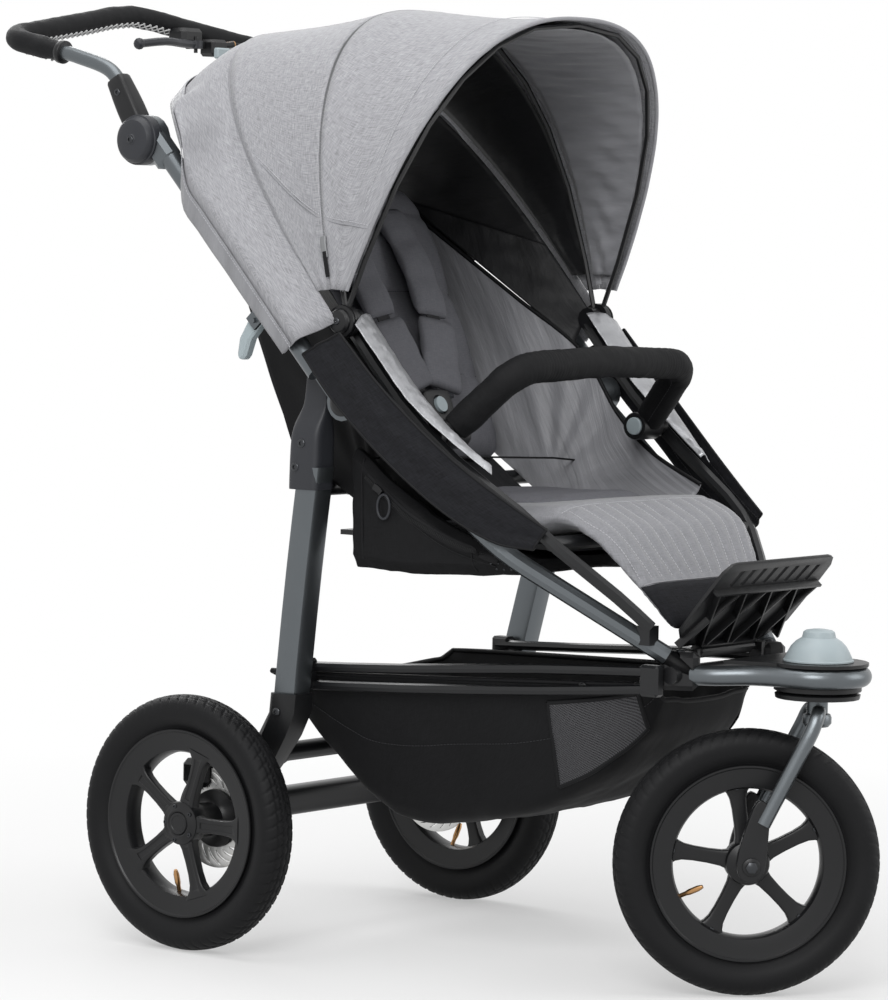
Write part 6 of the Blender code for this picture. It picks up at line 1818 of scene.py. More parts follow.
def seat_cushion():
    stations = [
        (-0.207, 0.5230, 0.125, 0.006), (-0.213, 0.5238, 0.156, 0.0125),
        (-0.250, 0.5243, 0.169, 0.0155), (-0.300, 0.5253, 0.168, 0.0150),
        (-0.350, 0.5273, 0.169, 0.0160), (-0.395, 0.5303, 0.168, 0.0150),
        (-0.430, 0.5338, 0.169, 0.0148), (-0.466, 0.5363, 0.165, 0.0120),
        (-0.500, 0.5248, 0.159, 0.0080), (-0.527, 0.4928, 0.146, 0.0058),
        (-0.552, 0.4548, 0.125, 0.0052), (-0.574, 0.4208, 0.106, 0.0048),
        (-0.5805, 0.4115, 0.098, 0.0030),
    ]
    made = grid(
        "cushion_pad", pad_rings(stations, 96, 8), FINISHES["cushion"], ring=True, ends=True, sharp=180
    )
    swollen(made, 0.0045, 0.0045)
    channels = []
    for x in (-0.150, -0.125, -0.100, -0.075, -0.050, -0.025, 0.0, 0.025, 0.050, 0.075, 0.100, 0.125, 0.150):
        squeeze = 1.0 - 0.12 * abs(x) / 0.15
        line = [spot(x, -0.470, 0.560), spot(x, -0.500, 0.540)]
        line = smooth_line([*line, spot(x * squeeze, -0.528, 0.510), spot(x * 0.80, -0.548, 0.474)], 8)
        channels.append([p for p, _ in laid_on(made, line, 0.0)])
    across = smooth_line([spot(x, -0.462, 0.556) for x in (-0.16, -0.08, 0, 0.08, 0.16)], 12)
    channels.append([p for p, _ in laid_on(made, across, 0.0)])
    drawn_in(made, channels, 0.0024, 0.0050)
    rumpled(made, 26, 0.0007, (1, 0.5, 0.5))
    lines = [smooth_pairs(laid_on(made, line, 0.0003)) for line in channels]
    threads = [stitches("cushion_stitch", line, FINISHES["thread"], radius=0.0005) for line in lines]
    worn_by(made, "chassis", "light_cloth", "seat_cushion")
    low = smooth_line([spot(x, -0.5505, 0.4640) for x in (-0.118, -0.06, 0, 0.06, 0.118)], 12)
    seam = smooth_pairs(laid_on(made, low, 0.0003, Vector((0, -0.82, 0.57))))
    threads.append(welt("apron_seam", seam, 0.0010, FINISHES["piping"]))
    worn_by(joined("cushion_stitches", threads), "chassis", "light_cloth")
    rows = []
    for k in range(9):
        share = k / 8
        y, z = -0.5512 - 0.0290 * share, 0.4622 - 0.0490 * share
        half = 0.1235 - 0.0265 * share
        line = [spot(half * (2 * j / 48 - 1), y, z) for j in range(49)]
        line = smooth_pairs(laid_on(made, line, 0.0, Vector((0, -0.86, 0.5))), 2)
        rows.append([p + out * (0.0014 + wrinkle(p, 40, 0.0004)) for p, out in line])
    apron = grid("apron_facing", rows, FINISHES["covers"], sharp=180)
    area = area_of(apron)
    thick(apron, 0.0009, -1.0)
    worn_by(apron, "chassis", "charcoal_cloth")
    SHEETS.append((apron, 0.250, 0.058, area, "stretched"))

    stations = [
        (-0.214, 0.5425, 0.090, 0.0030), (-0.222, 0.5440, 0.108, 0.0060),
        (-0.260, 0.5450, 0.118, 0.0070), (-0.310, 0.5450, 0.116, 0.0070),
        (-0.360, 0.5470, 0.112, 0.0070), (-0.395, 0.5495, 0.098, 0.0065),
        (-0.412, 0.5510, 0.070, 0.0050), (-0.418, 0.5510, 0.050, 0.0025),
    ]
    insert = grid(
        "insert_pad", pad_rings(stations, 72, 8, 2.6), FINISHES["pads"], ring=True, ends=True, sharp=180
    )
    swollen(insert, 0.0040, 0.003)
    rumpled(insert, 34, 0.0008)
    worn_by(insert, "chassis", "mid_cloth")


def side_wall_rows(side):
    rail = [
        (0.2180, -0.212, 0.716), (0.2160, -0.272, 0.640), (0.2040, -0.335, 0.594), (0.1960, -0.412, 0.560)
    ]
    back = [
        back_place(x, s, SHELL_FACE) for x, s in ((0.1720, 0.384), (0.1842, 0.262), (0.1850, 0.150), (0.1850, 0.056))
    ]
    low = [
        (0.1730, -0.210, 0.5245), (0.1730, -0.260, 0.5245), (0.1730, -0.340, 0.5275), (0.1730, -0.400, 0.5310)
    ]
    rail, low = [spot(*p) for p in rail], [spot(*p) for p in low]
    top = [back[0], back[0].lerp(rail[0], 0.33), back[0].lerp(rail[0], 0.67), rail[0], *rail[1:]]
    bottom = [back[3], back[3].lerp(low[0], 0.5), low[0], low[0].lerp(low[1], 0.5), low[1], low[2], low[3]]
    rows = []
    for i in range(7):
        share = i / 6
        row = []
        for a, b in zip(top, bottom):
            place = a.lerp(b, share)
            row.append(Vector(((place.x + 0.006 * math.sin(math.pi * share)) * side, place.y, place.z)))
        rows.append(row if side == 1 else row[::-1])
    return fine_rows(rows, 10, 8)


def side_walls():
    for word, side in SIDES.items():
        rows = side_wall_rows(side)

        def folds(along, across, p):
            """Long folds that fan out from the seat's rear corner, and small creases near the floor."""
            centre = spot(0.19 * side, -0.20, 0.545)
            d = p - centre
            angle = math.atan2(d.z, -d.y)
            reach = min(1.0, d.length / 0.10)
            slack = math.sin(math.pi * min(1.0, max(0.0, along)))
            fan = math.sin(angle * 15 + 1.3 * math.sin(angle * 4)) * 0.0028 * reach * slack
            return fan - 0.0012 + wrinkle(p, 22, 0.0014) * math.sin(math.pi * along) ** 0.5

        rows = moved(rows, folds)
        bend, stands_for = SIDE_BEND, ("side_wall_" + word,)
        cloth_piece(
            "side_cloth_" + word, rows, "satin", 0.0014, None, "satin_cloth", stands_for, bend, offset=0.0
        )
        outer = [[p + Vector((side * 0.0028, 0, 0)) for p in row] for row in rows]
        cloth_piece("side_backing_" + word, outer, "black", 0.0008, None, "black_cloth", (), bend, offset=0.0)
        bind = welt("side_binding_" + word, edge_line(rows, "first"), 0.0026, FINISHES["binding"])
        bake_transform(bind)


def rear_lining():
    """Black cloth that closes the canopy's back, from the rear bow down to the backrest's edge."""
    count = 48
    bow = [dome_point(50.4, 0.17 + (math.pi - 0.34) * j / count, -0.0190) for j in range(count + 1)]
    half = [
        (0.1845, 0.300), (0.1825, 0.345), (0.1720, 0.382), (0.1480, 0.4030), (0.0800, 0.4055), (0.0, 0.4060)
    ]
    edge = [back_place(x, s, SHELL_FACE) for x, s in half]
    edge = even_line(smooth_line(both_ways(edge), 6), count)
    rows = []
    for i in range(9):
        share = i / 8
        sag = Vector((0, 0.030, -0.020)) * math.sin(math.pi * share)
        rows.append([a.lerp(b, share) + sag * (1 - (abs(a.x) / 0.26) ** 2) for a, b in zip(bow, edge)])
    rows = fine_rows(rows, 2, 3)
    rows = moved(rows, lambda along, across, p: wrinkle(p, 18, 0.0030) * math.sin(math.pi * along))
    across = Vector((0, math.sin(math.radians(58)), -math.cos(math.radians(58))))
    pivot = spot(0, *PIVOT)
    bend = ("chassis", "backrest", pivot + across * 0.064, pivot + across * 0.112)
    cloth_piece("rear_lining", rows, "lining", 0.0010, None, "black_cloth", (), bend, "hung", 0.0)
    low = [spot(x / 100, -0.2030, 0.5235 + 0.0002 * abs(x)) for x in range(-15, 16)]
    high = [back_place(x / 100, 0.030, -0.0030) for x in range(-15, 16)]
    rows = [[a.lerp(b, k / 8) for a, b in zip(low, high)] for k in range(9)]
    rows = moved(rows, lambda along, across, p: wrinkle(p, 30, 0.0018) * math.sin(math.pi * along))
    bend = ("chassis", "backrest", spot(0, -0.196, 0.528), spot(0, -0.134, 0.573))
    cloth_piece("seat_gusset", rows, "lining", 0.0010, None, "black_cloth", (), bend, "hung", 0.0)
    for word, side in SIDES.items():
        start, end = spot(0.2150, -0.205, 0.722), back_place(0.1720, 0.388, SHELL_FACE)
        rows = []
        for i in range(7):
            share = i / 6
            upper = dome_point(50.4, 0.012 + 0.178 * share, -0.0190)
            lower = start.lerp(end, share) + Vector((0, 0, 0.003))
            row = [upper.lerp(lower, k / 4) for k in range(5)]
            rows.append([Vector((q.x * side, q.y, q.z)) for q in row])
        rows = fine_rows(rows, 5, 5)
        rows = moved(rows, lambda along, across, p: wrinkle(p, 26, 0.0022) * math.sin(math.pi * across))
        cloth_piece(
            "side_lining_" + word, rows, "lining", 0.0010, None, "black_cloth", (), SIDE_BEND, "hung", 0.0
        )


def rail_covers():
    upper = [
        (0.2812, -0.232, 0.742), (0.2785, -0.285, 0.688), (0.2680, -0.345, 0.633),
        (0.2520, -0.400, 0.588), (0.2330, -0.450, 0.552), (0.2180, -0.486, 0.528),
    ]
    lower = [
        (0.2812, -0.178, 0.716), (0.2812, -0.225, 0.664), (0.2740, -0.295, 0.601),
        (0.2560, -0.365, 0.545), (0.2370, -0.425, 0.512), (0.2210, -0.470, 0.505),
    ]
    for word, side in SIDES.items():
        rows = []
        for i in range(5):
            share = i / 4
            row = []
            for a, b in zip(upper, lower):
                place = Vector(a).lerp(Vector(b), share)
                row.append(spot((place.x + 0.0025 * math.sin(math.pi * share)) * side, place.y, place.z))
            rows.append(row if side == -1 else row[::-1])
        rows = fine_rows(rows, 16, 8)

        def folds(along, across, p):
            slack = math.sin(math.pi * along)
            long_fold = math.sin(along * 9 + across * 3) * 0.0014
            return (wrinkle(p, 21, 0.0034, (0.5, 1, 1.8)) + wrinkle(p, 55, 0.0013) + long_fold) * slack

        rows = moved(rows, folds)
        stands_for = ("rail_cover_" + word,)
        cloth_piece(
            "rail_cloth_" + word, rows, "covers", 0.0018, "chassis", "charcoal_cloth", stands_for, offset=0.0
        )
        trims = []
        for which in ("first", "last", "left", "right"):
            line = edge_line(rows, which)
            trims.append(welt("cover_binding", line, 0.0017, FINISHES["binding"]))
        hem = lifted(edge_line(rows[8:], "first"), 0.0014)
        trims.append(stitches("cover_stitch", hem, FINISHES["dark_thread"]))
        hem = lifted(edge_line(rows[:-6], "last"), 0.0014)
        trims.append(stitches("cover_stitch_low", hem, FINISHES["dark_thread"]))
        worn_by(joined("rail_cover_trim_" + word, trims), "chassis", "black_cloth")
        rows = []
        top = [
            (0.2140, -0.222, 0.762), (0.2140, -0.250, 0.729), (0.2140, -0.290, 0.684),
            (0.2150, -0.345, 0.634), (0.2110, -0.400, 0.592),
        ]
        low = [
            (0.2580, -0.236, 0.752), (0.2560, -0.266, 0.718), (0.2530, -0.312, 0.667),
            (0.2380, -0.362, 0.623), (0.2190, -0.408, 0.586),
        ]
        for i in range(5):
            row = [spot(*Vector(a).lerp(Vector(b), i / 4)) for a, b in zip(top, low)]
            row = [Vector((p.x * side, p.y, p.z + 0.0060 * math.sin(math.pi * i / 4))) for p in row]
            rows.append(row if side == -1 else row[::-1])
        rows = moved(
            fine_rows(rows, 14, 5), lambda a, b, p: wrinkle(p, 85, 0.0016) * (0.3 + math.sin(math.pi * a))
        )
        cloth_piece("silver_strip_" + word, rows, "edge", 0.0010, "chassis", "satin_cloth", offset=0.0)


def backrest():
    w = 0.180
    shell = [
        (0.024, 0.000, w * 0.86, 0.30), (0.032, 0.000, w * 0.93, 0.70),
        (0.075, 0.000, w * 0.98, 1.0), (0.150, 0.000, w, 1.0), (0.250, 0.000, w, 1.0),
        (0.340, 0.000, w * 0.97, 1.0), (0.378, 0.002, w * 0.90, 0.85),
        (0.398, 0.004, w * 0.78, 0.35),
    ]
    pad = [
        (0.022, 0.000, w * 0.79, 0.30), (0.036, 0.000, w * 0.86, 0.72),
        (0.080, 0.001, w * 0.90, 0.92), (0.130, 0.000, w * 0.89, 0.88),
        (0.185, 0.001, w * 0.91, 0.94), (0.240, 0.000, w * 0.89, 0.88),
        (0.295, 0.001, w * 0.90, 0.92), (0.345, 0.000, w * 0.87, 0.80),
        (0.379, 0.000, w * 0.78, 0.60), (0.390, 0.000, w * 0.68, 0.25),
    ]

    def rings(stations, offset, half, count):
        made = []
        for s, bend, width, share in stations:
            p = back_place(0, s, offset + bend) - spot(0, 0, 0)
            made.append((p.y, p.z, width, half * share))
        return pad_rings(made, count, 8)

    back = grid(
        "seat_back", rings(shell, -0.0310, 0.0155, 84), FINISHES["black"], ring=True, ends=True, sharp=180
    )
    rumpled(back, 15, 0.0016, (1, 1, 0.7))
    worn_by(back, "backrest", "black_cloth", "backrest_shell")
    lugs = []
    for x in (0.135, -0.135):
        across = Vector((0.0130, 0, 0))
        eye = back_place(x, 0, 0)
        lugs.append(rod("hinge_eye", eye - across, eye + across, 0.0095, FINISHES["plastic"], 32))
        places = ((0.004, 0.0), (0.018, -0.006), (0.034, -0.020), (0.048, -0.027))
        arm = smooth_line([back_place(x, s, out) for s, out in places], 6)
        lugs.append(
            sweep("hinge_arm", arm, soft_box(0.0118, 0.0060, 4.0, 24), FINISHES["plastic"], up=(1, 0, 0))
        )
    worn_by(joined("back_hinges", lugs), "backrest", "black_plastic")

    made = grid(
        "back_pad", rings(pad, PAD_MIDDLE, PAD_HALF, 84), FINISHES["pads"], ring=True, ends=True, sharp=180
    )
    swollen(made, 0.0050, 0.0040)
    channels = []
    for s in (0.130, 0.240, 0.345):
        line = [back_place(x / 100, s, 0.03) for x in range(-15, 16)]
        channels.append([p for p, _ in laid_on(made, line, 0.0, BACK_OUT)])
    drawn_in(made, channels, 0.0022, 0.0070)
    rumpled(made, 24, 0.0010)
    lines = [smooth_pairs(laid_on(made, line, 0.0002)) for line in channels]
    threads = [stitches("pad_stitch", line, FINISHES["dark_thread"]) for line in lines]
    worn_by(joined("pad_stitches", threads), "backrest", "mid_cloth")
    worn_by(made, "backrest", "mid_cloth", "backrest_pad")


def harness():
    front = PAD_MIDDLE + PAD_HALF * 1.08 + 0.010
    tabs, webs, pads = [], [], []
    for side in (1, -1):
        spots = [(0.052, 0.345, -0.0047), (0.056, 0.270, 0.010), (0.048, 0.190, 0.016)]
        spots += [(0.030, 0.122, 0.016), (0.020, 0.086, 0.014)]
        line = smooth_line([back_place(side * x, s, front + lift) for x, s, lift in spots], 12)
        pairs = [(p, BACK_OUT) for p in line]
        webs.append(strap("shoulder_web", pairs, 0.025, 0.0022, "webbing"))
        count = len(pairs)
        upper = [(p - BACK_OUT * 0.0006, n) for p, n in pairs[: int(count * 0.50)]]
        lower = [(p + BACK_OUT * 0.0006, n) for p, n in pairs[int(count * 0.50) : int(count * 0.90)]]
        pads.append(quilted("shoulder_pad", upper, 0.056, 0.0165, "pads", (0.33, 0.68)))
        pads.append(quilted("chest_pad", lower, 0.062, 0.0175, "pads", (0.5,)))
        middle, across = pairs[-3][0], Vector((0.017, 0, 0))
        tabs.append(rod("slide", middle - across, middle + across, 0.0034, FINISHES["dark"], 12))
    worn_by(joined("harness_pads", pads), "backrest", "mid_cloth", "harness")
    worn_by(joined("harness_webbing", webs), "backrest", "black_cloth")
    place = back_place(0, 0.078, front + 0.013)
    turn = Matrix((Vector((1, 0, 0)), BACK_ALONG, BACK_OUT)).transposed().to_4x4()
    outline = [(0.025, -0.014), (0.025, 0.012), (0.018, 0.020), (-0.018, 0.020)]
    outline += [(-0.025, 0.012), (-0.025, -0.014), (-0.014, -0.020), (0.014, -0.020)]
    outlines = [smooth_outline(outline), ring_of(0.0106, 40)]
    shell = plate("buckle", outlines, 0.0176, Matrix.Translation(place) @ turn, FINISHES["plastic"], 0.0030)
    floor = rod(
        "buckle_floor", place - BACK_OUT * 0.007, place + BACK_OUT * 0.0015, 0.0118, FINISHES["plastic"], 32
    )
    drops = ((-0.016, -0.001), (-0.024, -0.004), (-0.032, -0.010), (-0.040, -0.018))
    down = [(place + BACK_ALONG * s + BACK_OUT * lift, BACK_OUT) for s, lift in drops]
    crotch = strap("crotch_web", down, 0.030, 0.0024, "webbing")
    worn_by(joined("buckle_body", [shell, floor, crotch, *tabs]), "backrest", "black_plastic")


# Under the seat


def pocket():
    made = copy_of_node("pocket_core", "under_seat_pocket", FINISHES["black"])
    soft = made.modifiers.new("soft", "SUBSURF")
    soft.subdivision_type = "SIMPLE"
    soft.levels = soft.render_levels = 4
    settled(made)
    rumpled(made, 16, 0.0034, (0.6, 1, 1.3))
    rumpled(made, 44, 0.0011)
    box_uv(made)
    made.data.shade_smooth()
    trims, tapes, pulls = [], [], []
    for side in SIDES.values():
        out = Vector((side, 0, 0))

        def seam(points, radius, finish, lift=0.0004, flat=1.0):
            line = smooth_line([spot(0.26 * side, y, z) for y, z in points], 10)
            return welt(
                "pocket_seam", smooth_pairs(laid_on(made, line, lift, out)), radius, FINISHES[finish], 0.0, flat
            )

        zip_line = [(-0.232, 0.575), (-0.290, 0.535), (-0.350, 0.505), (-0.405, 0.488)]
        tapes.append(seam(zip_line, 0.0011, "binding", 0.0004, 5.0))
        line = smooth_line([spot(0.26 * side, y, z) for y, z in zip_line], 14)
        pairs = smooth_pairs(laid_on(made, line, 0.0016, out))
        tapes.append(
            stitches("pocket_zip", pairs, FINISHES["plastic"], 0.0022, 0.0042, 0.0008, math.pi / 2, 5)
        )
        trims.append(seam([(-0.226, 0.596), (-0.226, 0.540), (-0.228, 0.480)], 0.0012, "binding"))
        trims.append(seam([(-0.300, 0.5245), (-0.345, 0.4975), (-0.400, 0.4800)], 0.0010, "binding"))
        trims.append(seam([(-0.372, 0.4960), (-0.376, 0.4730)], 0.0010, "binding"))
        start = pairs[4][0] + out * 0.0012
        body = [start + Vector((0, 0.003, 0.002)), start + Vector((0, -0.004, -0.002))]
        body = smooth_line([*body, start + Vector((0, -0.009, -0.006)) + out * 0.0012], 4)
        section = soft_box(0.0042, 0.0019, 4, 16)
        pulls.append(sweep("zip_slider", body, section, FINISHES["plastic"], up=(0, 0.5, 1)))
        centre = start + Vector((0, -0.013, -0.021)) + out * 0.0016
        ring = [centre + Vector((0, 0.0090 * x, 0.0140 * y)) for x, y in ring_of(1.0, 40)]
        rows = []
        for k, p in enumerate(ring):
            ahead = (ring[(k + 1) % 40] - ring[k - 1]).normalized()
            rows.append(
                [p + out * (0.0016 * y) + out.cross(ahead) * (0.0016 * x) for x, y in ring_of(1.0, 10)]
            )
        pulls.append(grid("ring_pull", rows, FINISHES["dark"], ring=True, loop=True))
        holes = []
        for k in range(10):
            row, column = divmod(k, 5)
            holes.append(spot(0.26 * side, -0.395 - 0.009 * column - 0.004 * row, 0.4840 - 0.007 * row))
        for place, normal in laid_on(made, holes, 0.0, out):
            inner, outer = place - normal * 0.0012, place + normal * 0.0007
            pulls.append(rod("vent_eyelet", inner, outer, 0.0017, FINISHES["screw"], 12, 0.0004))
    worn_by(made, "chassis", "black_cloth", "under_seat_pocket")
    worn_by(joined("pocket_seams", trims + tapes), "chassis", "black_cloth")
    worn_by(joined("pocket_pulls", pulls), "chassis", "dark_plastic")


BASKET = (
    (-0.052, 0.1771, 0.332, 0.322, 0.150), (-0.100, 0.1811, 0.334, 0.262, 0.146),
    (-0.160, 0.1791, 0.336, 0.200, 0.138), (-0.215, 0.1731, 0.338, 0.166, 0.130),
    (-0.320, 0.1591, 0.342, 0.176, 0.120), (-0.420, 0.1431, 0.346, 0.200, 0.108),
    (-0.490, 0.1271, 0.348, 0.242, 0.096), (-0.540, 0.1131, 0.350, 0.292, 0.084),
    (-0.556, 0.1071, 0.350, 0.330, 0.078),
)


WINDOW_ROWS = (62, 84)


def basket_rows():
    """The sling's cross-sections from BASKET: y, top's x and z, floor's z and x."""
    rows = []
    for y, top_x, top, floor, floor_x in BASKET:
        depth = top - floor
        half = [
            (top_x, top),
            (top_x - (top_x - floor_x) * 0.35, top - depth * 0.40),
            (top_x - (top_x - floor_x) * 0.75, top - depth * 0.80),
            (floor_x, floor + depth * 0.06), (floor_x - 0.020, floor),
            (floor_x * 0.45, floor - 0.003),
        ]
        full = [*half, (0.0, floor - 0.004), *[(-x, z) for x, z in reversed(half)]]
        rows.append([spot(x, y, z) for x, z in full])
    return rows


def basket():
    rows = fine_rows(basket_rows(), 12, 12)
    width = len(rows[0]) - 1

    def folds(along, across, p):
        side = abs(across - 0.5) * 2
        hang = math.sin(math.pi * min(1.0, max(0.0, along)))
        drape = (
            math.sin(along * 34 + 2.4 * math.sin(along * 9 + across * 7)) * 0.0042 * side * hang * (1 - side**6)
        )
        creases = wrinkle(p, 15, 0.0042, (1, 1, 0.6)) + wrinkle(p, 42, 0.0012, (1, 1, 0.5))
        return drape + creases * hang * (1 - side**8)

    rows = moved(rows, folds)
    cloth_piece(
        "basket_sling", rows, "black", 0.0022, "chassis", "black_cloth", ("basket",), held="hung", offset=-1.0
    )
    trims = []
    for which in ("left", "right", "first", "last"):
        trims.append(welt("basket_binding", edge_line(rows, which), 0.0032, FINISHES["binding"]))
    for j in (14, width - 14):
        line = [(row[j] - facing(rows, i, j) * 0.0026, -facing(rows, i, j)) for i, row in enumerate(rows)]
        trims.append(stitches("basket_stitch", line[2:-2], FINISHES["dark_thread"]))
    i0, i1 = WINDOW_ROWS
    for j0, j1 in ((5, 29), (width - 29, width - 5)):
        part = [
            [rows[i][j] - facing(rows, i, j) * 0.0036 for j in range(j0, j1 + 1)] for i in range(i0, i1 + 1)
        ]
        cloth_net(part)
        for which in ("left", "right", "first", "last"):
            trims.append(
                welt("window_binding", edge_line(part, which), 0.0015, FINISHES["binding"], 0.0004, 1.8)
            )
    for j0 in (1, width - 1):
        for i in (70, 86):
            point = rows[i][j0]
            face = Vector((math.copysign(1, point.x), 0, 0.15)).normalized()
            place = point + face * 0.0075 + Vector((0, 0, -0.001))
            trims.append(rod("snap_base", place - face * 0.006, place, 0.0060, FINISHES["plastic"], 24))
            trims.append(screw_head("snap", place - face * 0.0002, face, 0.0042, FINISHES["plastic"], 0.0014))
    worn_by(joined("basket_trim", trims), "chassis", "black_cloth")


def cloth_net(rows):
    """A window of netting in the basket's side."""
    made = grid("basket_net", rows, FINISHES["netting"], sharp=180)
    area = area_of(made)
    thick(made, 0.0008, 0.0)
    worn_by(made, "chassis", "black_cloth")
    width = max(length_of(row) for row in rows)
    length = max(length_of([row[j] for row in rows]) for j in (0, len(rows[0]) - 1))
    SHEETS.append((made, width, length, area, "stretched"))


BAR_END = (0.196, -0.327, 0.628)


def bumper():
    end, corner = Vector(BAR_END), Vector((0.166, -0.404, 0.706))
    front = Vector((0.0, corner.y - 0.006, corner.z + 0.006))
    start = end + (corner - end).normalized() * 0.012
    half = [spot(*p) for p in rounded_line([start, corner, front], [0.042], 14)]
    path = even_line(both_ways(half), 260)
    rows = []
    last = len(path) - 1
    for i, (point, first, second) in enumerate(carried(path, (0, 0, 1))):
        share = i / last
        edge = min(1.0, min(share, 1 - share) * 30)
        bend = math.exp(-(((share - 0.27) / 0.07) ** 2)) + math.exp(-(((share - 0.73) / 0.07) ** 2))
        row = []
        for k in range(40):
            angle = 2 * math.pi * k / 40
            out = first * math.cos(angle) + second * math.sin(angle)
            ribs = math.sin(share * 620 + 1.5 * noise.noise(point * 30)) * 0.00035 * (0.3 + bend)
            crease = (
                noise.noise(point * 45 + out * 1.2) * 0.0009 + noise.noise(point * 130 + out * 2) * 0.0004
            )
            seam = -0.0010 * math.exp(-(((k - 13) / 0.8) ** 2))
            row.append(point + out * (0.0183 * (0.93 + 0.07 * edge) + ribs + crease + seam))
        rows.append(row)
    made = grid("bumper_pad", rows, FINISHES["black"], ring=True, ends=True, sharp=180)
    worn_by(made, "bumper_bar", "black_cloth", "bumper_bar")
    line = [(row[15], (row[15] - p).normalized()) for row, p in zip(rows[6:-6], path[6:-6])]
    threads = stitches("bumper_stitches", line, FINISHES["dark_thread"])
    ends = []
    for side in (1, -1):
        turn = turned_out_at(on_side(BAR_END[0], BAR_END[1:], side), side)
        outer = [
            (0.0003, 0.0190), (0.0120, 0.0190), (0.0155, 0.0178), (0.0170, 0.0150), (0.0170, -0.0200), (0.0160, -0.0225)
        ]
        outer += [(0.0135, -0.0230), (0.0118, -0.0226), (0.0116, -0.0150), (0.0003, -0.0150)]
        ends.append(lathe("bumper_housing", outer, turn, FINISHES["plastic"], 56, sharp=30))
    worn_by(joined("bumper_housings", ends), "bumper_bar", "black_plastic")
    worn_by(threads, "bumper_bar", "black_cloth")
    for word, side in SIDES.items():
        turn = turned_out_at(on_side(BAR_END[0], BAR_END[1:], side), side)
        face = [(0.0003, -0.0258), (0.0060, -0.0257), (0.0096, -0.0252)]
        face += [(0.0108, -0.0240), (0.0110, -0.0190), (0.0003, -0.0190)]
        button = lathe("bumper_release_" + word, face, turn, FINISHES["light"], 48, sharp=30)
        worn_by(button, "bumper_button_" + word, "light_plastic", "bumper_button_" + word)


class STROLLER_OT_seat(bpy.types.Operator):
    """Cushions, side cloths, rail covers, backrest and harness"""

    bl_idname = "stroller.seat"
    bl_label = "Seat"

    def execute(self, context):
        seat_cushion()
        side_walls()
        rear_lining()
        rail_covers()
        backrest()
        harness()
        return {"FINISHED"}


class STROLLER_OT_carrying(bpy.types.Operator):
    """Pocket under the seat, basket and bumper bar"""

    bl_idname = "stroller.carrying"
    bl_label = "Basket, pocket and bumper bar"

    def execute(self, context):
        pocket()
        basket()
        bumper()
        declare_sheets()
        return {"FINISHED"}


# Stage

CAMERA_PLACE = (-4.0386, -3.0947, 0.8685)
CAMERA_TURN = (-52.214, 3.724, 1.099)
CAMERA_LENS = 152.33
UNSEEN_LIGHT = 0.42


def photo_camera():
    yaw, pitch, roll = (math.radians(a) for a in CAMERA_TURN)
    ahead = Vector((-math.sin(yaw) * math.cos(pitch), math.cos(yaw) * math.cos(pitch), -math.sin(pitch)))
    right = Vector((math.cos(yaw), math.sin(yaw), 0))
    up = right.cross(ahead)
    turned_right = right * math.cos(roll) + up * math.sin(roll)
    turned_up = up * math.cos(roll) - right * math.sin(roll)
    matrix = Matrix((turned_right, turned_up, -ahead)).transposed().to_4x4()
    matrix.translation = Vector(CAMERA_PLACE)
    data = bpy.data.cameras.new("photo_camera")
    data.lens = CAMERA_LENS
    data.sensor_width = 36
    data.clip_end = 60
    camera = bpy.data.objects.new("photo_camera", data)
    bpy.context.scene.collection.objects.link(camera)
    camera.matrix_world = matrix
    bpy.context.scene.camera = camera


def soft_light(name, place, size, power):
    data = bpy.data.lights.new(name, "AREA")
    data.shape = "RECTANGLE"
    data.size, data.size_y = size
    data.energy = power
    lamp = bpy.data.objects.new(name, data)
    bpy.context.scene.collection.objects.link(lamp)
    lamp.location = place
    lamp.rotation_euler = (Vector((0, 0, 0.5)) - Vector(place)).to_track_quat("-Z", "Y").to_euler()


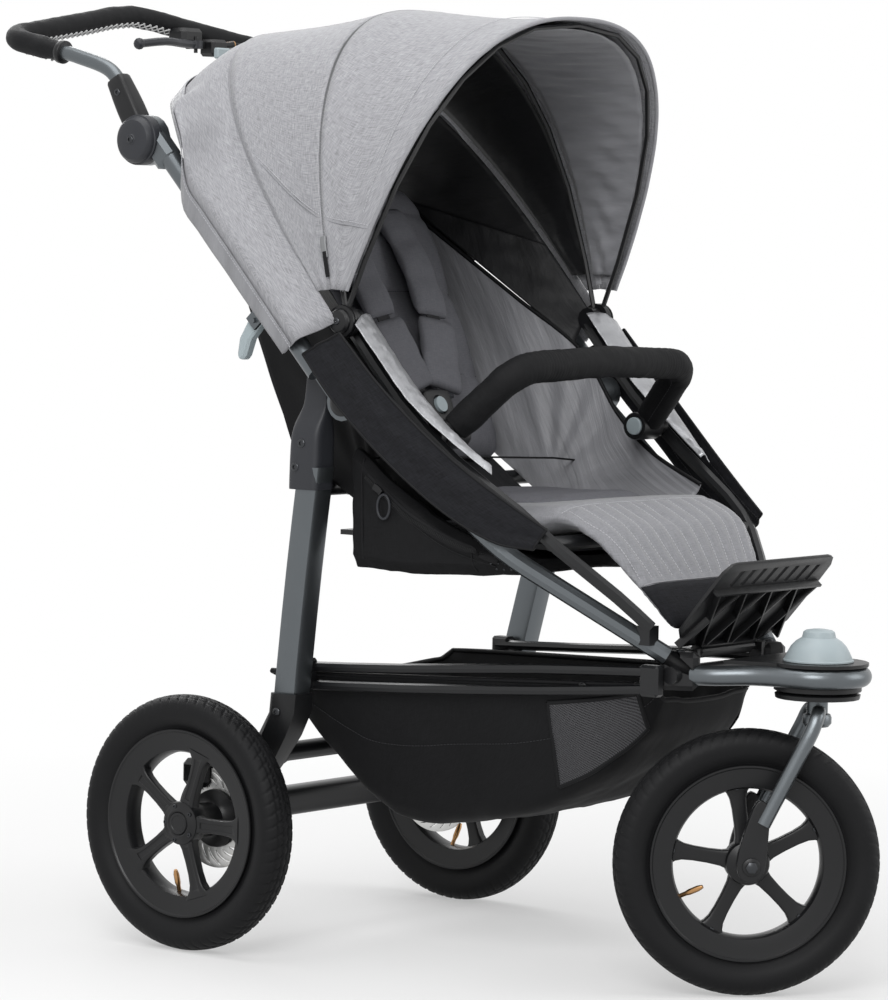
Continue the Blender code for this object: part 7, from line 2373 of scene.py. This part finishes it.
class STROLLER_OT_stage(bpy.types.Operator):
    """Pale floor, soft lights, world and camera"""

    bl_idname = "stroller.stage"
    bl_label = "Stage"

    def execute(self, context):
        scene = context.scene
        world = bpy.data.worlds.new("plain_world")
        world.use_nodes = True
        scene.world = world
        tree = world.node_tree
        background = tree.nodes["Background"]
        path = tree_node(tree, "ShaderNodeLightPath")
        seen = path.outputs["Is Camera Ray"]
        for kind in ("Is Transmission Ray", "Is Glossy Ray"):
            inputs = {0: seen, 1: path.outputs[kind]}
            seen = tree_node(tree, "ShaderNodeMath", inputs, operation="MAXIMUM").outputs[0]
        lit = tree_node(tree, "ShaderNodeMapRange", {"Value": seen, "To Min": UNSEEN_LIGHT, "To Max": 1.0})
        tree.links.new(lit.outputs[0], background.inputs["Strength"])
        background.inputs["Color"].default_value = (1, 1, 1, 1)
        floor_finish = Finish("pale_floor", (0.74, 0.74, 0.74), 0.9, specular_ior_level=0.1)
        spread = floor_finish.place("Object")
        faint = floor_finish.noise(spread, 3.0, 2.0)
        floor_finish.set("Roughness", 0.85 + faint * 0.1)
        rays = floor_finish.node("ShaderNodeLightPath", out="Is Camera Ray")
        for kind in ("Is Glossy Ray", "Is Transmission Ray"):
            more = floor_finish.node("ShaderNodeLightPath", out=kind)
            rays = floor_finish.node("ShaderNodeMath", {0: rays, 1: more}, operation="MAXIMUM")
        away = floor_finish.node("ShaderNodeVectorMath", {0: spread}, out="Value", operation="LENGTH")
        ramp = {"Value": away, "From Min": 0.55, "From Max": 1.9, "To Min": UNSEEN_LIGHT, "To Max": 1.0}
        glow = floor_finish.node("ShaderNodeMapRange", ramp)
        white = floor_finish.tree.nodes.new("ShaderNodeEmission")
        blend = floor_finish.tree.nodes.new("ShaderNodeMixShader")
        floor_finish.feed(blend.inputs[0], rays * glow)
        floor_finish.tree.links.new(floor_finish.shader.outputs[0], blend.inputs[1])
        floor_finish.tree.links.new(white.outputs[0], blend.inputs[2])
        floor_finish.tree.links.new(
            blend.outputs[0], floor_finish.tree.nodes["Material Output"].inputs["Surface"]
        )
        bm = bmesh.new()
        bmesh.ops.create_grid(bm, x_segments=1, y_segments=1, size=30)
        floor = grown("floor", bm, floor_finish.material)
        floor.location.z = -0.0004
        soft_light("key", (-3.0, -1.6, 2.6), (2.0, 2.0), 92)
        soft_light("top", (-0.3, 0.2, 3.7), (2.6, 2.6), 58)
        soft_light("fill", (1.8, -3.0, 1.6), (2.0, 2.0), 32)
        soft_light("back", (1.4, 2.8, 2.4), (2.2, 1.6), 40)
        photo_camera()
        scene.view_settings.view_transform = "Standard"
        return {"FINISHED"}


class STROLLER_PT_panel(bpy.types.Panel):
    """Buttons and values for the stroller's looks"""

    bl_label = "Stroller"
    bl_idname = "STROLLER_PT_panel"
    bl_space_type = "VIEW_3D"
    bl_region_type = "UI"
    bl_category = "Stroller"

    def draw(self, context):
        layout = self.layout
        for group in (context.scene.stroller_sizes, context.scene.stroller_colours):
            box = layout.box()
            for name in group.__annotations__:
                box.prop(group, name)
        for operator in OPERATORS:
            layout.operator(operator.bl_idname)


OPERATORS = (
    STROLLER_OT_wheels,
    STROLLER_OT_frame,
    STROLLER_OT_handle,
    STROLLER_OT_canopy,
    STROLLER_OT_seat,
    STROLLER_OT_carrying,
    STROLLER_OT_stage,
)
CLASSES = (StrollerSizes, StrollerColours, *OPERATORS, STROLLER_PT_panel)


def register():
    for item in CLASSES:
        bpy.utils.register_class(item)
    bpy.types.Scene.stroller_sizes = bpy.props.PointerProperty(type=StrollerSizes)
    bpy.types.Scene.stroller_colours = bpy.props.PointerProperty(type=StrollerColours)


def unregister():
    del bpy.types.Scene.stroller_colours
    del bpy.types.Scene.stroller_sizes
    for item in reversed(CLASSES):
        bpy.utils.unregister_class(item)


def main():
    register()
    make_finishes(bpy.context.scene.stroller_colours)
    for operator in OPERATORS:
        group, name = operator.bl_idname.split(".")
        getattr(getattr(bpy.ops, group), name)()


if __name__ == "__main__":
    main()
